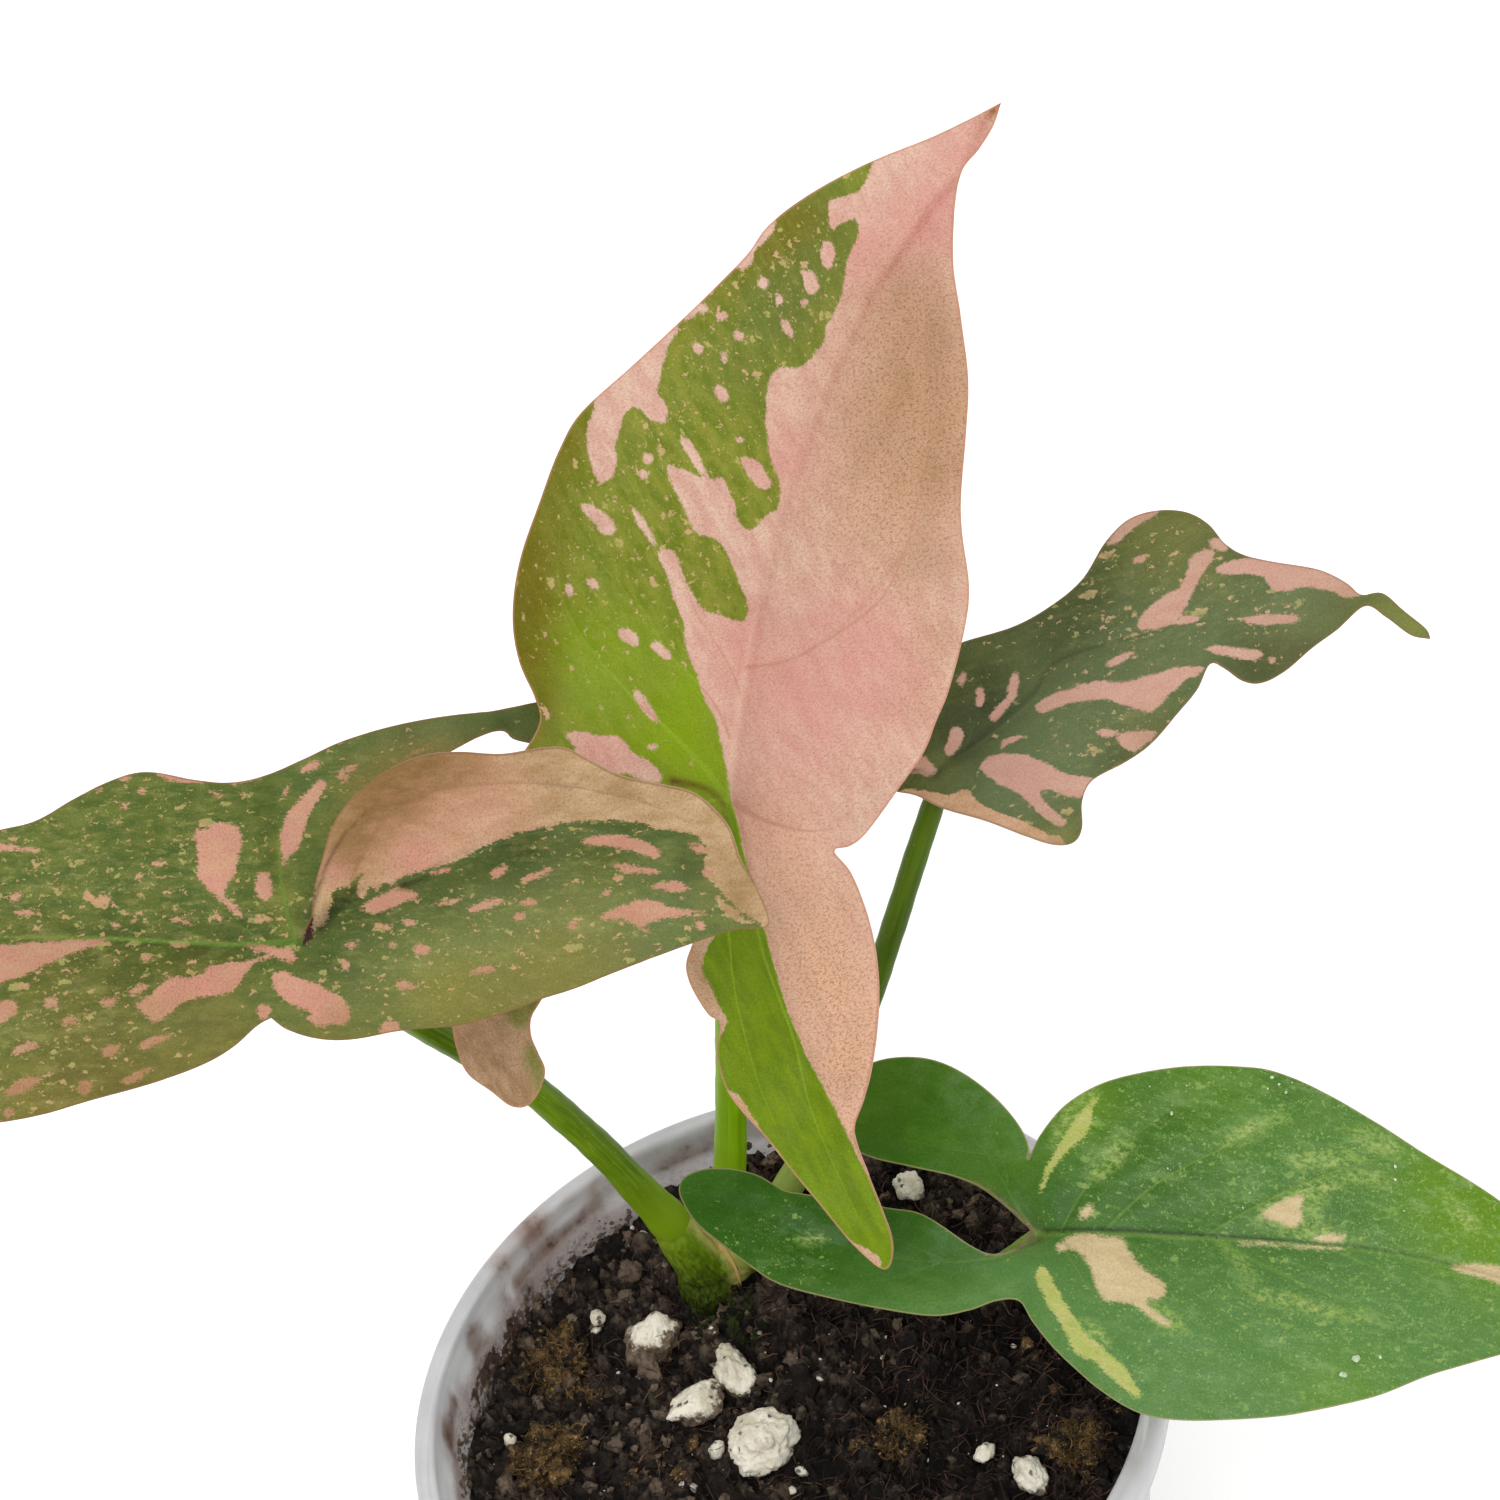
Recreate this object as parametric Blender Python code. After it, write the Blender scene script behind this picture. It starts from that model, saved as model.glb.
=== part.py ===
"""Potted arrowhead vine (syngonium) in a small translucent nursery cup.

A clear-white plastic cup with drainage holes holds peat soil with perlite
grains and coir lumps.  One short stem stands towards the back of the cup and
carries four arrow-shaped leaves on long petioles: one upright, one reaching
left, one reaching back right and one low on the right.

Units are metres, +Z is up, the origin is the centre of the cup's base.

Each leaf is laid out the way it is drawn: its outline, midrib and lobe veins
are given on a drawing sheet (sheet units, x to the right, y down), and the
sheet is projected from one viewpoint in front of and above the cup on to the
leaf's own tilted plane.  A height over that plane, in millimetres, gives the
valley fold along the veins, the cupping of the lobes and the wavy margins.
"""
import math

import bmesh
import bpy
import numpy as np
from mathutils import Vector, noise
from mathutils.geometry import delaunay_2d_cdt

MM = 0.001

# ---------------------------------------------------------------- dimensions
POT_HEIGHT = 70.0          # mm, base to the top of the rim
RIM_RADIUS = 40.0          # outer edge of the rolled rim
MOUTH_RADIUS = 37.6        # inner edge of the rim
BASE_RADIUS = 29.0
WALL = 0.9                 # cup wall thickness
BASE_THICKNESS = 1.3
RIM_SKIRT = 4.0            # how far the rolled rim hangs down outside
DRAIN_HOLES = 8
DRAIN_HOLE_RADIUS = 2.6
DRAIN_RING_RADIUS = 20.0

SOIL_LEVEL = 59.5          # mean height of the soil surface
SOIL_MOUND = 2.2           # the surface is a little higher round the stem
GAP = 0.35                 # clearance kept between neighbouring solids

STEM_SPOT = (-4.6, 21.5)   # where the stem leaves the soil (x, y)
LEAF_THICKNESS = 0.55
LEAF_EDGE = 20.0           # sheet units between outline points
LEAF_CELL = 36.0           # sheet units between points inside a blade
PETIOLE_RADIUS = 1.7

# ------------------------------------------------------------- drawing sheet
# The viewpoint, in mm, and the sheet's axes.  SHEET_SCALE is the distance of
# the sheet in sheet units; its centre is (750, 750).
EYE = np.array([0.0, -189.2, 301.1])
SHEET_RIGHT = np.array([0.95046, -0.23302, -0.20573])
SHEET_UP = np.array([0.30564, 0.57998, 0.75512])
SHEET_DEPTH = np.array([0.05664, 0.78059, -0.62247])
SHEET_SCALE = 2799.0
SHEET_CENTRE = 750.0


def sight(x, y):
    """Direction from the viewpoint through a point of the drawing sheet."""
    a = (np.asarray(x, float) - SHEET_CENTRE) / SHEET_SCALE
    b = (SHEET_CENTRE - np.asarray(y, float)) / SHEET_SCALE
    return (SHEET_DEPTH + a[..., None] * SHEET_RIGHT + b[..., None] * SHEET_UP)


def spot(x, y, world_y):
    """The point seen at sheet (x, y) that lies at the given world Y (mm)."""
    d = sight(np.array(x), np.array(y))
    return EYE + d * (world_y - EYE[1]) / d[1]


def unit(v):
    v = np.asarray(v, float)
    return v / np.linalg.norm(v)


# --------------------------------------------------------------------- curves
def resample(points, step):
    """Even points along a smooth (Catmull-Rom) curve through the given ones."""
    p = np.array(points, float)
    if len(p) > 2:
        ext = np.vstack([2 * p[0] - p[1], p, 2 * p[-1] - p[-2]])
        out = []
        for i in range(1, len(ext) - 2):
            p0, p1, p2, p3 = ext[i - 1], ext[i], ext[i + 1], ext[i + 2]
            for k in range(12):
                t = k / 12.0
                out.append(0.5 * (2 * p1 + (p2 - p0) * t
                                  + (2 * p0 - 5 * p1 + 4 * p2 - p3) * t * t
                                  + (3 * p1 - p0 - 3 * p2 + p3) * t ** 3))
        out.append(p[-1])
        p = np.array(out)
    s = np.r_[0, np.cumsum(np.linalg.norm(np.diff(p, axis=0), axis=1))]
    n = max(2, int(round(s[-1] / step)) + 1)
    u = np.linspace(0, s[-1], n)
    return np.stack([np.interp(u, s, p[:, k]) for k in range(p.shape[1])], 1)


def line_distance(q, line):
    """Distance of points q to a polyline, and how far along it (0 to 1)."""
    best = np.full(len(q), 1e9)
    along = np.zeros(len(q))
    seg = np.linalg.norm(np.diff(line, axis=0), axis=1)
    total = seg.sum()
    start = 0.0
    for a, b, length in zip(line[:-1], line[1:], seg):
        t = np.clip(((q - a) @ (b - a)) / max(length * length, 1e-9), 0, 1)
        d = np.linalg.norm(q - (a + t[:, None] * (b - a)), axis=1)
        closer = d < best
        best = np.where(closer, d, best)
        along = np.where(closer, (start + t * length) / total, along)
        start += length
    return best, along


def thin_plate(centres, values):
    """Smooth surface through scattered heights: returns a function."""
    c = np.array(centres, float) / 100.0
    v = np.array(values, float)

    def kernel(r2):
        return np.where(r2 > 1e-12, r2 * np.log(np.maximum(r2, 1e-12)), 0.0)

    n = len(c)
    d2 = ((c[:, None] - c[None]) ** 2).sum(-1)
    a = np.zeros((n + 3, n + 3))
    a[:n, :n] = kernel(d2) + 1e-4 * np.eye(n)
    a[:n, n] = 1
    a[:n, n + 1:] = c
    a[n, :n] = 1
    a[n + 1:, :n] = c.T
    w = np.linalg.solve(a, np.r_[v, 0, 0, 0])

    def height(q):
        q = np.asarray(q, float) / 100.0
        r2 = ((q[:, None] - c[None]) ** 2).sum(-1)
        return kernel(r2) @ w[:n] + w[n] + q @ w[n + 1:]

    return height


# --------------------------------------------------------------------- leaves
# anchor: where the blade joins its petiole, on the sheet, and its world Y.
# normal: the leaf plane's facing direction.
# sheets: one outline per sheet; a leaf whose near lobe passes in front of the
#   rest of the blade has a second sheet, and the two share the seam.
# folds, one list per sheet: (line, slope, rounding) valley folds, slope in mm
#   of rise per sheet unit away from the vein.
# heights, one list per sheet: (x, y, mm over the leaf plane).
LEAVES = {
    "leaf_upright": {
        "anchor": (727, 797, 20.0),
        "normal": (-0.30, -0.80, 0.50),
        "sheets": [[
            (1001, 103), (993, 126), (978, 150), (962, 171), (955, 204), (953, 262),
            (960, 312), (968, 378), (966, 432), (961, 495), (962, 532), (969, 588),
            (964, 632), (949, 690), (936, 722), (924, 752), (900, 787), (867, 832),
            (850, 846), (834, 851), (851, 873), (867, 913), (877, 958), (879, 1004),
            (874, 1055), (865, 1097), (855, 1125), (857, 1144), (868, 1173),
            (881, 1205), (892, 1237), (893, 1256), (888, 1268), (877, 1266),
            (849, 1240), (820, 1205), (791, 1170), (766, 1138), (740, 1109),
            (724, 1084), (717, 1052), (720, 1024), (708, 1014), (692, 988),
            (686, 966), (692, 945), (706, 915), (716, 880), (722, 845), (724, 818),
            (722, 806), (712, 806), (690, 824), (652, 858), (608, 905), (570, 952),
            (541, 1000), (531, 1018), (531, 1036), (538, 1053), (545, 1071),
            (539, 1092), (527, 1106), (511, 1106), (492, 1092), (468, 1074),
            (457, 1050), (451, 1015), (452, 960), (462, 890), (482, 825),
            (506, 775), (529, 744), (540, 720), (535, 698), (519, 660), (513, 615),
            (520, 561), (541, 499), (560, 449), (582, 412), (632, 366), (690, 312),
            (744, 258), (769, 225), (810, 194), (868, 163), (939, 134)]],
        "folds": [[
            ([(727, 797), (730, 781), (739, 707), (755, 618), (780, 510), (808, 432),
              (846, 345), (877, 287), (935, 200), (964, 169), (1001, 103)], 0.036, 9),
            ([(727, 797), (738, 820), (750, 883), (774, 963), (807, 1055), (849, 1138),
              (885, 1218), (888, 1266)], 0.030, 8),
            ([(727, 797), (650, 830), (560, 900), (505, 985), (500, 1040),
              (515, 1100)], 0.025, 8)]],
        "heights": [[
            (727, 797, 0), (755, 618, 0.3), (808, 432, -0.5), (877, 287, -2.0),
            (935, 200, -3.8), (1001, 103, -6.5),
            (953, 262, 0.2), (968, 378, 2.5), (962, 532, 3.6), (964, 632, 3.6),
            (924, 752, 2.6), (867, 832, 2.2), (834, 851, 2.0),
            (877, 958, 2.6), (874, 1055, 3.0), (855, 1125, 3.4), (892, 1240, 4.0),
            (888, 1266, 3.6), (774, 963, 0.4), (807, 1055, 0.6), (849, 1138, 2.0),
            (820, 1205, 3.6), (766, 1138, 3.4), (717, 1052, 3.2), (686, 966, 2.4),
            (716, 880, 1.2), (560, 900, 3.0), (505, 985, 5.6), (500, 1040, 7.0),
            (452, 960, 8.0), (482, 825, 7.6), (506, 775, 7.6), (541, 1000, 7.4), (608, 905, 4.2),
            (515, 1100, 8.6), (652, 858, 2.4), (533, 735, 7.0), (519, 660, 3.6), (513, 615, 3.0),
            (545, 600, 4.4), (541, 499, 2.6), (575, 490, 4.4), (582, 412, 3.6),
            (632, 366, 3.8), (690, 312, 3.0), (769, 225, 0.8), (868, 163, -2.6),
            (939, 134, -4.9), (640, 600, 3.6), (700, 450, 3.2), (860, 600, 3.4)]],
    },
    "leaf_left": {
        "anchor": (295, 942, 7.0),
        "normal": (-0.02, -0.52, 0.85),
        "seam": [(304, 932), (297, 950), (289, 972), (279, 996), (271, 1018)],
        "sheets": [[
            (271, 1018), (257, 1026), (232, 1048), (200, 1066), (150, 1084),
            (89, 1101), (36, 1116), (-20, 1124), (-80, 1121), (-140, 1105),
            (-195, 1073), (-240, 1030), (-274, 982), (-300, 938), (-262, 905),
            (-215, 882), (-160, 866), (-80, 848), (0, 830), (36, 821), (71, 801),
            (104, 784), (132, 774), (157, 773), (193, 780), (229, 783), (264, 776),
            (304, 759), (343, 741), (393, 726), (446, 716), (493, 711), (532, 703),
            (556, 699), (574, 706), (578, 722), (568, 738), (552, 745), (536, 744),
            (514, 739), (504, 731), (486, 734), (461, 746), (430, 764), (392, 792),
            (358, 832), (334, 876), (316, 912), (304, 932)],
            [(304, 932), (311, 915), (314, 887), (322, 860), (331, 829), (346, 805),
             (364, 788), (390, 769), (425, 755), (460, 752), (502, 754), (541, 748),
             (566, 748), (587, 759), (622, 776), (664, 785), (692, 792), (713, 808),
             (730, 829), (741, 860), (759, 892), (769, 925), (741, 929), (720, 934),
             (671, 951), (618, 971), (576, 988), (541, 999), (510, 1011), (460, 1025),
             (404, 1030), (355, 1039), (320, 1039), (288, 1030), (271, 1018)]],
        "folds": [[
            ([(295, 942), (250, 945), (200, 944), (107, 939), (36, 938), (-100, 936),
              (-300, 938)], 0.030, 8),
            ([(295, 940), (284, 894), (280, 859), (285, 816), (330, 770), (420, 735),
              (520, 722)], 0.018, 8)],
            [([(297, 942), (340, 918), (400, 885), (470, 858), (540, 832), (620, 828),
               (690, 850), (745, 900)], 0.034, 6)]],
        "heights": [[
            (295, 942, 0), (200, 944, 0.6), (107, 939, 1.0), (0, 938, 0.8),
            (-150, 936, -1.5), (-300, 938, -6.0), (157, 773, 1.4), (229, 783, 0.2),
            (104, 784, 2.2), (36, 821, 2.6), (-80, 848, 1.6), (-215, 882, -2.4),
            (304, 759, 0.4), (393, 726, -1.6), (446, 716, -4.2), (493, 711, -7.4),
            (532, 703, -10.4), (576, 712, -13.0), (552, 745, -12.2),
            (280, 859, -0.2), (285, 816, -0.2), (420, 738, -3.8), (520, 722, -10.0),
            (504, 731, -8.6), (461, 746, -5.0), (400, 785, -1.6), (350, 845, 0.2),
            (316, 912, 0.4), (240, 850, 2.0), (120, 860, 3.0), (0, 880, 2.4),
            (257, 1026, 0.6), (150, 1084, 0.0), (36, 1116, -1.2), (-80, 1121, -2.6),
            (-195, 1073, -4.0), (120, 1010, 2.0), (0, 1020, 1.6), (-120, 1030, 0.0),
            (271, 1018, 0.4), (290, 985, 0.6), (240, 990, 1.4)],
            [(314, 887, 2.2), (331, 829, 4.6), (390, 769, 6.8), (460, 752, 8.0),
             (541, 748, 8.4), (622, 776, 7.6), (692, 792, 6.6), (741, 860, 4.6),
             (769, 925, 1.8), (340, 918, 0.6), (400, 885, 1.2), (470, 858, 2.0),
             (540, 832, 2.6), (620, 828, 2.8), (690, 850, 2.8), (745, 900, 2.2),
             (420, 950, 3.4), (520, 920, 4.6), (620, 900, 4.8), (320, 1039, -0.4),
             (404, 1030, -0.4), (460, 1025, 0.0), (541, 999, 0.6), (618, 971, 1.6),
             (720, 934, 1.8), (350, 985, 1.8)]],
    },
    "leaf_back_right": {
        "anchor": (940, 775, 36.0),
        "normal": (0.06, -0.36, 0.93),
        "sheets": [[
            (1430, 639), (1411, 635), (1386, 617), (1365, 606), (1338, 629),
            (1312, 648), (1285, 671), (1262, 683), (1243, 681), (1224, 668),
            (1210, 664), (1197, 690), (1178, 713), (1151, 744), (1124, 763),
            (1093, 780), (1082, 801), (1082, 828), (1074, 842), (1055, 845),
            (1025, 836), (986, 821), (944, 809), (917, 796), (898, 792), (880, 788),
            (868, 779), (872, 769), (895, 767), (926, 773), (934, 766), (916, 758),
            (893, 742), (884, 716), (896, 684), (925, 660), (961, 643), (1013, 627),
            (1051, 606), (1082, 580), (1105, 543), (1128, 520), (1155, 511),
            (1185, 512), (1208, 524), (1224, 543), (1243, 555), (1273, 562),
            (1319, 570), (1346, 583), (1361, 595), (1382, 593), (1403, 610),
            (1426, 629)]],
        "folds": [[
            ([(940, 775), (986, 740), (1032, 702), (1060, 665), (1135, 641),
              (1204, 625), (1281, 614), (1365, 600), (1430, 637)], 0.030, 8),
            ([(940, 775), (985, 790), (1030, 808), (1070, 838)], 0.014, 8)]],
        "heights": [[
            (940, 775, 0), (986, 740, 0.4), (1060, 665, 0.6), (1135, 641, 1.2),
            (1204, 625, 1.4), (1281, 614, 0.6), (1365, 600, -1.6), (1430, 637, -6.0),
            (961, 643, 1.0), (1051, 606, 0.0), (1105, 543, 2.6), (1155, 511, 5.0),
            (1208, 524, 4.2), (1243, 555, 1.4), (1319, 570, 0.8), (1361, 595, -1.2),
            (1338, 629, -2.4), (1285, 671, -3.0), (1243, 681, -1.0), (1210, 664, 0.8),
            (1178, 713, -1.4), (1124, 763, -2.0), (1082, 801, -0.6),
            (1074, 842, -1.6), (1025, 836, -2.0), (944, 809, -1.4), (868, 779, -1.4),
            (884, 716, 0.4), (1120, 590, 2.6), (1100, 720, 0.6)]],
    },
    "leaf_low_right": {
        "anchor": (1037, 1234, -6.0),
        "normal": (-0.10, -0.42, 0.90),
        "sheets": [[
            (1640, 1322), (1604, 1330), (1552, 1342), (1500, 1355), (1461, 1366),
            (1425, 1377), (1380, 1395), (1336, 1406), (1282, 1416), (1224, 1420),
            (1175, 1420), (1139, 1413), (1104, 1393), (1072, 1366), (1050, 1344),
            (1032, 1321), (1019, 1301), (996, 1301), (970, 1310), (934, 1316),
            (882, 1309), (829, 1298), (779, 1284), (750, 1266), (721, 1244),
            (696, 1223), (682, 1201), (679, 1187), (686, 1176), (704, 1169),
            (732, 1169), (757, 1175), (775, 1185), (786, 1191), (804, 1194),
            (850, 1200), (889, 1208), (916, 1212), (938, 1223), (970, 1245),
            (992, 1254), (1014, 1248), (1030, 1233), (1023, 1223), (1001, 1203),
            (979, 1187), (952, 1176), (912, 1167), (867, 1156), (840, 1138),
            (830, 1108), (846, 1078), (874, 1062), (903, 1057), (934, 1060),
            (965, 1074), (996, 1098), (1019, 1125), (1029, 1147), (1028, 1160),
            (1041, 1134), (1068, 1103), (1112, 1080), (1180, 1067), (1246, 1067),
            (1282, 1074), (1327, 1094), (1380, 1125), (1425, 1154), (1470, 1181),
            (1500, 1201), (1552, 1238), (1602, 1282)]],
        "folds": [[
            ([(1037, 1234), (1112, 1234), (1202, 1239), (1291, 1245), (1380, 1254),
              (1447, 1268), (1550, 1296), (1640, 1322)], 0.024, 8),
            ([(1037, 1234), (1010, 1190), (975, 1140), (925, 1110), (860, 1100)],
             0.016, 8),
            ([(1037, 1240), (985, 1276), (920, 1270), (830, 1250), (740, 1215),
              (695, 1195)], 0.018, 8)]],
        "heights": [[
            (1037, 1234, 0), (1202, 1239, 0.8), (1380, 1254, 0.2), (1500, 1283, -1.6),
            (1640, 1322, -5.0), (1112, 1080, 2.0), (1246, 1067, 2.6),
            (1380, 1125, 1.2), (1500, 1201, -1.6), (1602, 1282, -4.2),
            (1175, 1420, 1.4), (1282, 1416, 1.8), (1425, 1377, 0.6),
            (1552, 1342, -2.6), (1050, 1344, 0.8), (1019, 1301, 0.4),
            (934, 1316, 0.2), (829, 1298, 0.0), (721, 1244, -0.8), (679, 1187, -1.6),
            (732, 1169, -1.0), (804, 1194, 0.0), (916, 1212, 0.6), (992, 1254, 0.6),
            (830, 1250, -0.6), (920, 1270, -0.3), (1028, 1155, 0.8), (965, 1074, 1.2),
            (903, 1057, 0.6), (846, 1078, -0.8), (840, 1138, -1.0), (925, 1110, 0.0),
            (952, 1176, 0.8), (1200, 1150, 2.6), (1200, 1330, 2.2)]],
    },
}

PETIOLES = {
    # leaf, length of the sheathing base that is one with the stem (mm), and
    # (sheet x, sheet y, world Y mm, radius mm) from the stem to the blade
    "petiole_upright": ("leaf_upright", 9.0, [
        (716, 1262, 21.6, 2.8), (722, 1240, 22.0, 2.5), (727, 1210, 22.6, 2.1),
        (730, 1160, 23.4, 1.8), (731, 1090, 24.2, 1.7), (730, 1000, 24.6, 1.6),
        (729, 900, 24.2, 1.5), (729, 850, 23.4, 1.4)]),
    "petiole_left": ("leaf_left", 8.0, [
        (705, 1264, 20.6, 3.0), (690, 1245, 20.4, 2.8), (664, 1215, 20.6, 2.2),
        (637, 1187, 20.9, 1.9), (607, 1155, 21.2, 1.75), (570, 1121, 21.4, 1.7),
        (520, 1080, 21.0, 1.65), (450, 1040, 19.2, 1.55), (380, 1000, 15.6, 1.45),
        (330, 970, 11.6, 1.3)]),
    "petiole_back_right": ("leaf_back_right", 9.0, [
        (735, 1256, 23.0, 2.6), (755, 1232, 24.6, 2.2), (778, 1202, 26.0, 1.9),
        (800, 1165, 27.0, 1.65), (840, 1080, 29.0, 1.5), (874, 985, 31.0, 1.4),
        (897, 916, 32.6, 1.35), (916, 856, 34.2, 1.3), (931, 811, 35.6, 1.25)]),
    "petiole_low_right": ("leaf_low_right", 8.0, [
        (728, 1262, 20.2, 2.6), (750, 1250, 18.4, 2.2), (792, 1252, 14.8, 1.8),
        (854, 1266, 9.2, 1.6), (930, 1279, 2.6, 1.45), (990, 1271, -2.0, 1.3)]),
}


def on_leaf(leaf, q, height):
    """Sheet points q lifted on to the leaf plane raised by height (mm)."""
    ax, ay, world_y = leaf["anchor"]
    n = unit(leaf["normal"])
    origin = spot(ax, ay, world_y)
    d = sight(q[:, 0], q[:, 1])
    t = (n @ (origin - EYE) + height) / (d @ n)
    return EYE + d * t[:, None]


def leaf_height(leaf, sheet=0):
    """Height function of a sheet: smooth cupping plus its valley folds."""
    folds = [(resample(line, 12.0), slope, rounding)
             for line, slope, rounding in leaf["folds"][sheet]]

    def crease(q):
        total = np.zeros(len(q))
        for line, slope, rounding in folds:
            d, along = line_distance(q, line)
            fade = np.clip((1.04 - along) / 0.35, 0, 1)
            reach = 55.0
            d = reach * np.tanh(d / reach)
            total += slope * fade * (np.sqrt(d * d + rounding ** 2) - rounding)
        return total

    rows = np.array(leaf["heights"][sheet], float)
    ctrl, want = rows[:, :2], rows[:, 2]
    if sheet:
        # The second sheet leaves the first with the same height and slope.
        seam = resample(leaf["seam"], 12.0)
        side = np.gradient(seam, axis=0)
        side = np.stack([side[:, 1], -side[:, 0]], 1)
        side /= np.linalg.norm(side, axis=1)[:, None]
        side[side[:, 0] < 0] *= -1
        joint = np.vstack([seam, seam + 14.0 * side])
        ctrl = np.vstack([ctrl, joint])
        want = np.r_[want, leaf_height(leaf, 0)(joint)]
    smooth = thin_plate(ctrl, want - crease(ctrl))
    return lambda q: smooth(q) + crease(q)


def inside(poly, q):
    """Which points q lie inside the closed polygon."""
    x, y = q[:, 0], q[:, 1]
    hit = np.zeros(len(q), bool)
    for (x0, y0), (x1, y1) in zip(poly, np.roll(poly, -1, axis=0)):
        cross = ((y0 > y) != (y1 > y))
        with np.errstate(divide="ignore", invalid="ignore"):
            xi = x0 + (y - y0) * (x1 - x0) / (y1 - y0)
        hit ^= cross & (x < xi)
    return hit


def flat_net(ring, lines, cell):
    """Triangles that fill an outline, with the vein lines as edges."""
    pts = [tuple(p) for p in ring]
    edges = [(i, (i + 1) % len(ring)) for i in range(len(ring))]
    closed = np.vstack([ring, ring[:1]])
    for line in lines:
        body = resample(line, cell * 0.9)
        body = body[inside(ring, body)]
        if len(body) < 2:
            continue
        body = body[line_distance(body, closed)[0] > cell * 0.35]
        base = len(pts)
        pts += [tuple(p) for p in body]
        edges += [(base + i, base + i + 1) for i in range(len(body) - 1)
                  if np.linalg.norm(body[i + 1] - body[i]) < cell * 1.4]
    fixed = np.array(pts)
    lo, hi = ring.min(0), ring.max(0)
    grid = []
    for j, gy in enumerate(np.arange(lo[1] + cell * 0.5, hi[1], cell * 0.87)):
        for gx in np.arange(lo[0] + (0.25 + 0.5 * (j % 2)) * cell, hi[0], cell):
            grid.append((gx, gy))
    grid = np.array(grid)
    grid = grid[inside(ring, grid)]
    d = np.sqrt(((grid[:, None] - fixed[None]) ** 2).sum(-1)).min(1)
    grid = grid[d > cell * 0.6]
    pts += [tuple(p) for p in grid]
    vs, _, fs, _, _, _ = delaunay_2d_cdt(
        [Vector(p) for p in pts], edges, [list(range(len(ring)))], 1, 1e-4)
    return np.array([tuple(v) for v in vs]), [tuple(f) for f in fs]


def blade(leaf, edge_step, cell):
    """Mid-surface of a leaf: points in mm and triangles."""
    verts, faces, key = [], [], {}
    seam = resample(leaf["seam"], edge_step) if "seam" in leaf else None
    for k, outline in enumerate(leaf["sheets"]):
        if seam is None:
            ring = resample(list(outline) + [outline[0]], edge_step)[:-1]
        else:
            edge = resample(outline, edge_step)
            ring = np.vstack([edge, (seam if k == 0 else seam[::-1])[1:-1]])
        v, f = flat_net(ring, [line for line, _, _ in leaf["folds"][k]], cell)
        lifted = on_leaf(leaf, v, leaf_height(leaf, k)(v))
        index = {}
        for i in sorted({i for face in f for i in face}):
            name = (round(v[i][0], 1), round(v[i][1], 1))
            if seam is not None:
                near = np.linalg.norm(seam - v[i], axis=1)
                if near.min() < 0.05:
                    name = ("seam", int(near.argmin()))
                    if name in key:
                        index[i] = key[name]
                        continue
                    key[name] = len(verts)
            index[i] = len(verts)
            verts.append(tuple(lifted[i]))
        for face in f:
            a, b, c = (v[i] for i in face)
            turn = (b[0] - a[0]) * (c[1] - a[1]) - (b[1] - a[1]) * (c[0] - a[0])
            face = face if turn < 0 else face[::-1]
            faces.append(tuple(index[i] for i in face))
    return np.array(verts), faces


# --------------------------------------------------------------- mesh helpers
def material(name, colour, roughness, metallic=0.0, alpha=1.0):
    mat = bpy.data.materials.new(name)
    mat.use_nodes = True
    shader = mat.node_tree.nodes["Principled BSDF"]
    shader.inputs["Base Color"].default_value = (*colour, 1.0)
    shader.inputs["Roughness"].default_value = roughness
    shader.inputs["Metallic"].default_value = metallic
    shader.inputs["Alpha"].default_value = alpha
    return mat


def new_object(name, verts, faces, mat=None, smooth=True):
    """Object from vertices in mm."""
    mesh = bpy.data.meshes.new(name)
    mesh.from_pydata([tuple(float(c) * MM for c in v) for v in verts], [], faces)
    mesh.validate()
    mesh.update()
    bm = bmesh.new()
    bm.from_mesh(mesh)
    bmesh.ops.remove_doubles(bm, verts=bm.verts, dist=1e-7)
    bmesh.ops.recalc_face_normals(bm, faces=bm.faces)
    if bm.calc_volume(signed=True) < 0:
        bmesh.ops.reverse_faces(bm, faces=bm.faces)
    bm.to_mesh(mesh)
    bm.free()
    if smooth:
        mesh.shade_smooth()
    obj = bpy.data.objects.new(name, mesh)
    bpy.context.collection.objects.link(obj)
    if mat:
        mesh.materials.append(mat)
    return obj


def thicken(points, faces, thickness):
    """Closed solid: the surface offset half a thickness each way."""
    p = np.asarray(points, float)
    n = np.zeros_like(p)
    for a, b, c in faces:
        m = np.cross(p[b] - p[a], p[c] - p[a])
        n[a] += m
        n[b] += m
        n[c] += m
    n /= np.maximum(np.linalg.norm(n, axis=1)[:, None], 1e-12)
    count = len(p)
    verts = np.vstack([p + n * thickness / 2, p - n * thickness / 2])
    out = [tuple(f) for f in faces]
    out += [(c + count, b + count, a + count) for a, b, c in faces]
    seen = {}
    for a, b, c in faces:
        for e in ((a, b), (b, c), (c, a)):
            seen[e] = seen.get(e, 0) + 1
    for a, b in seen:
        if (b, a) not in seen:
            out.append((b, a, a + count))
            out.append((b, a + count, b + count))
    return verts, out


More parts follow.
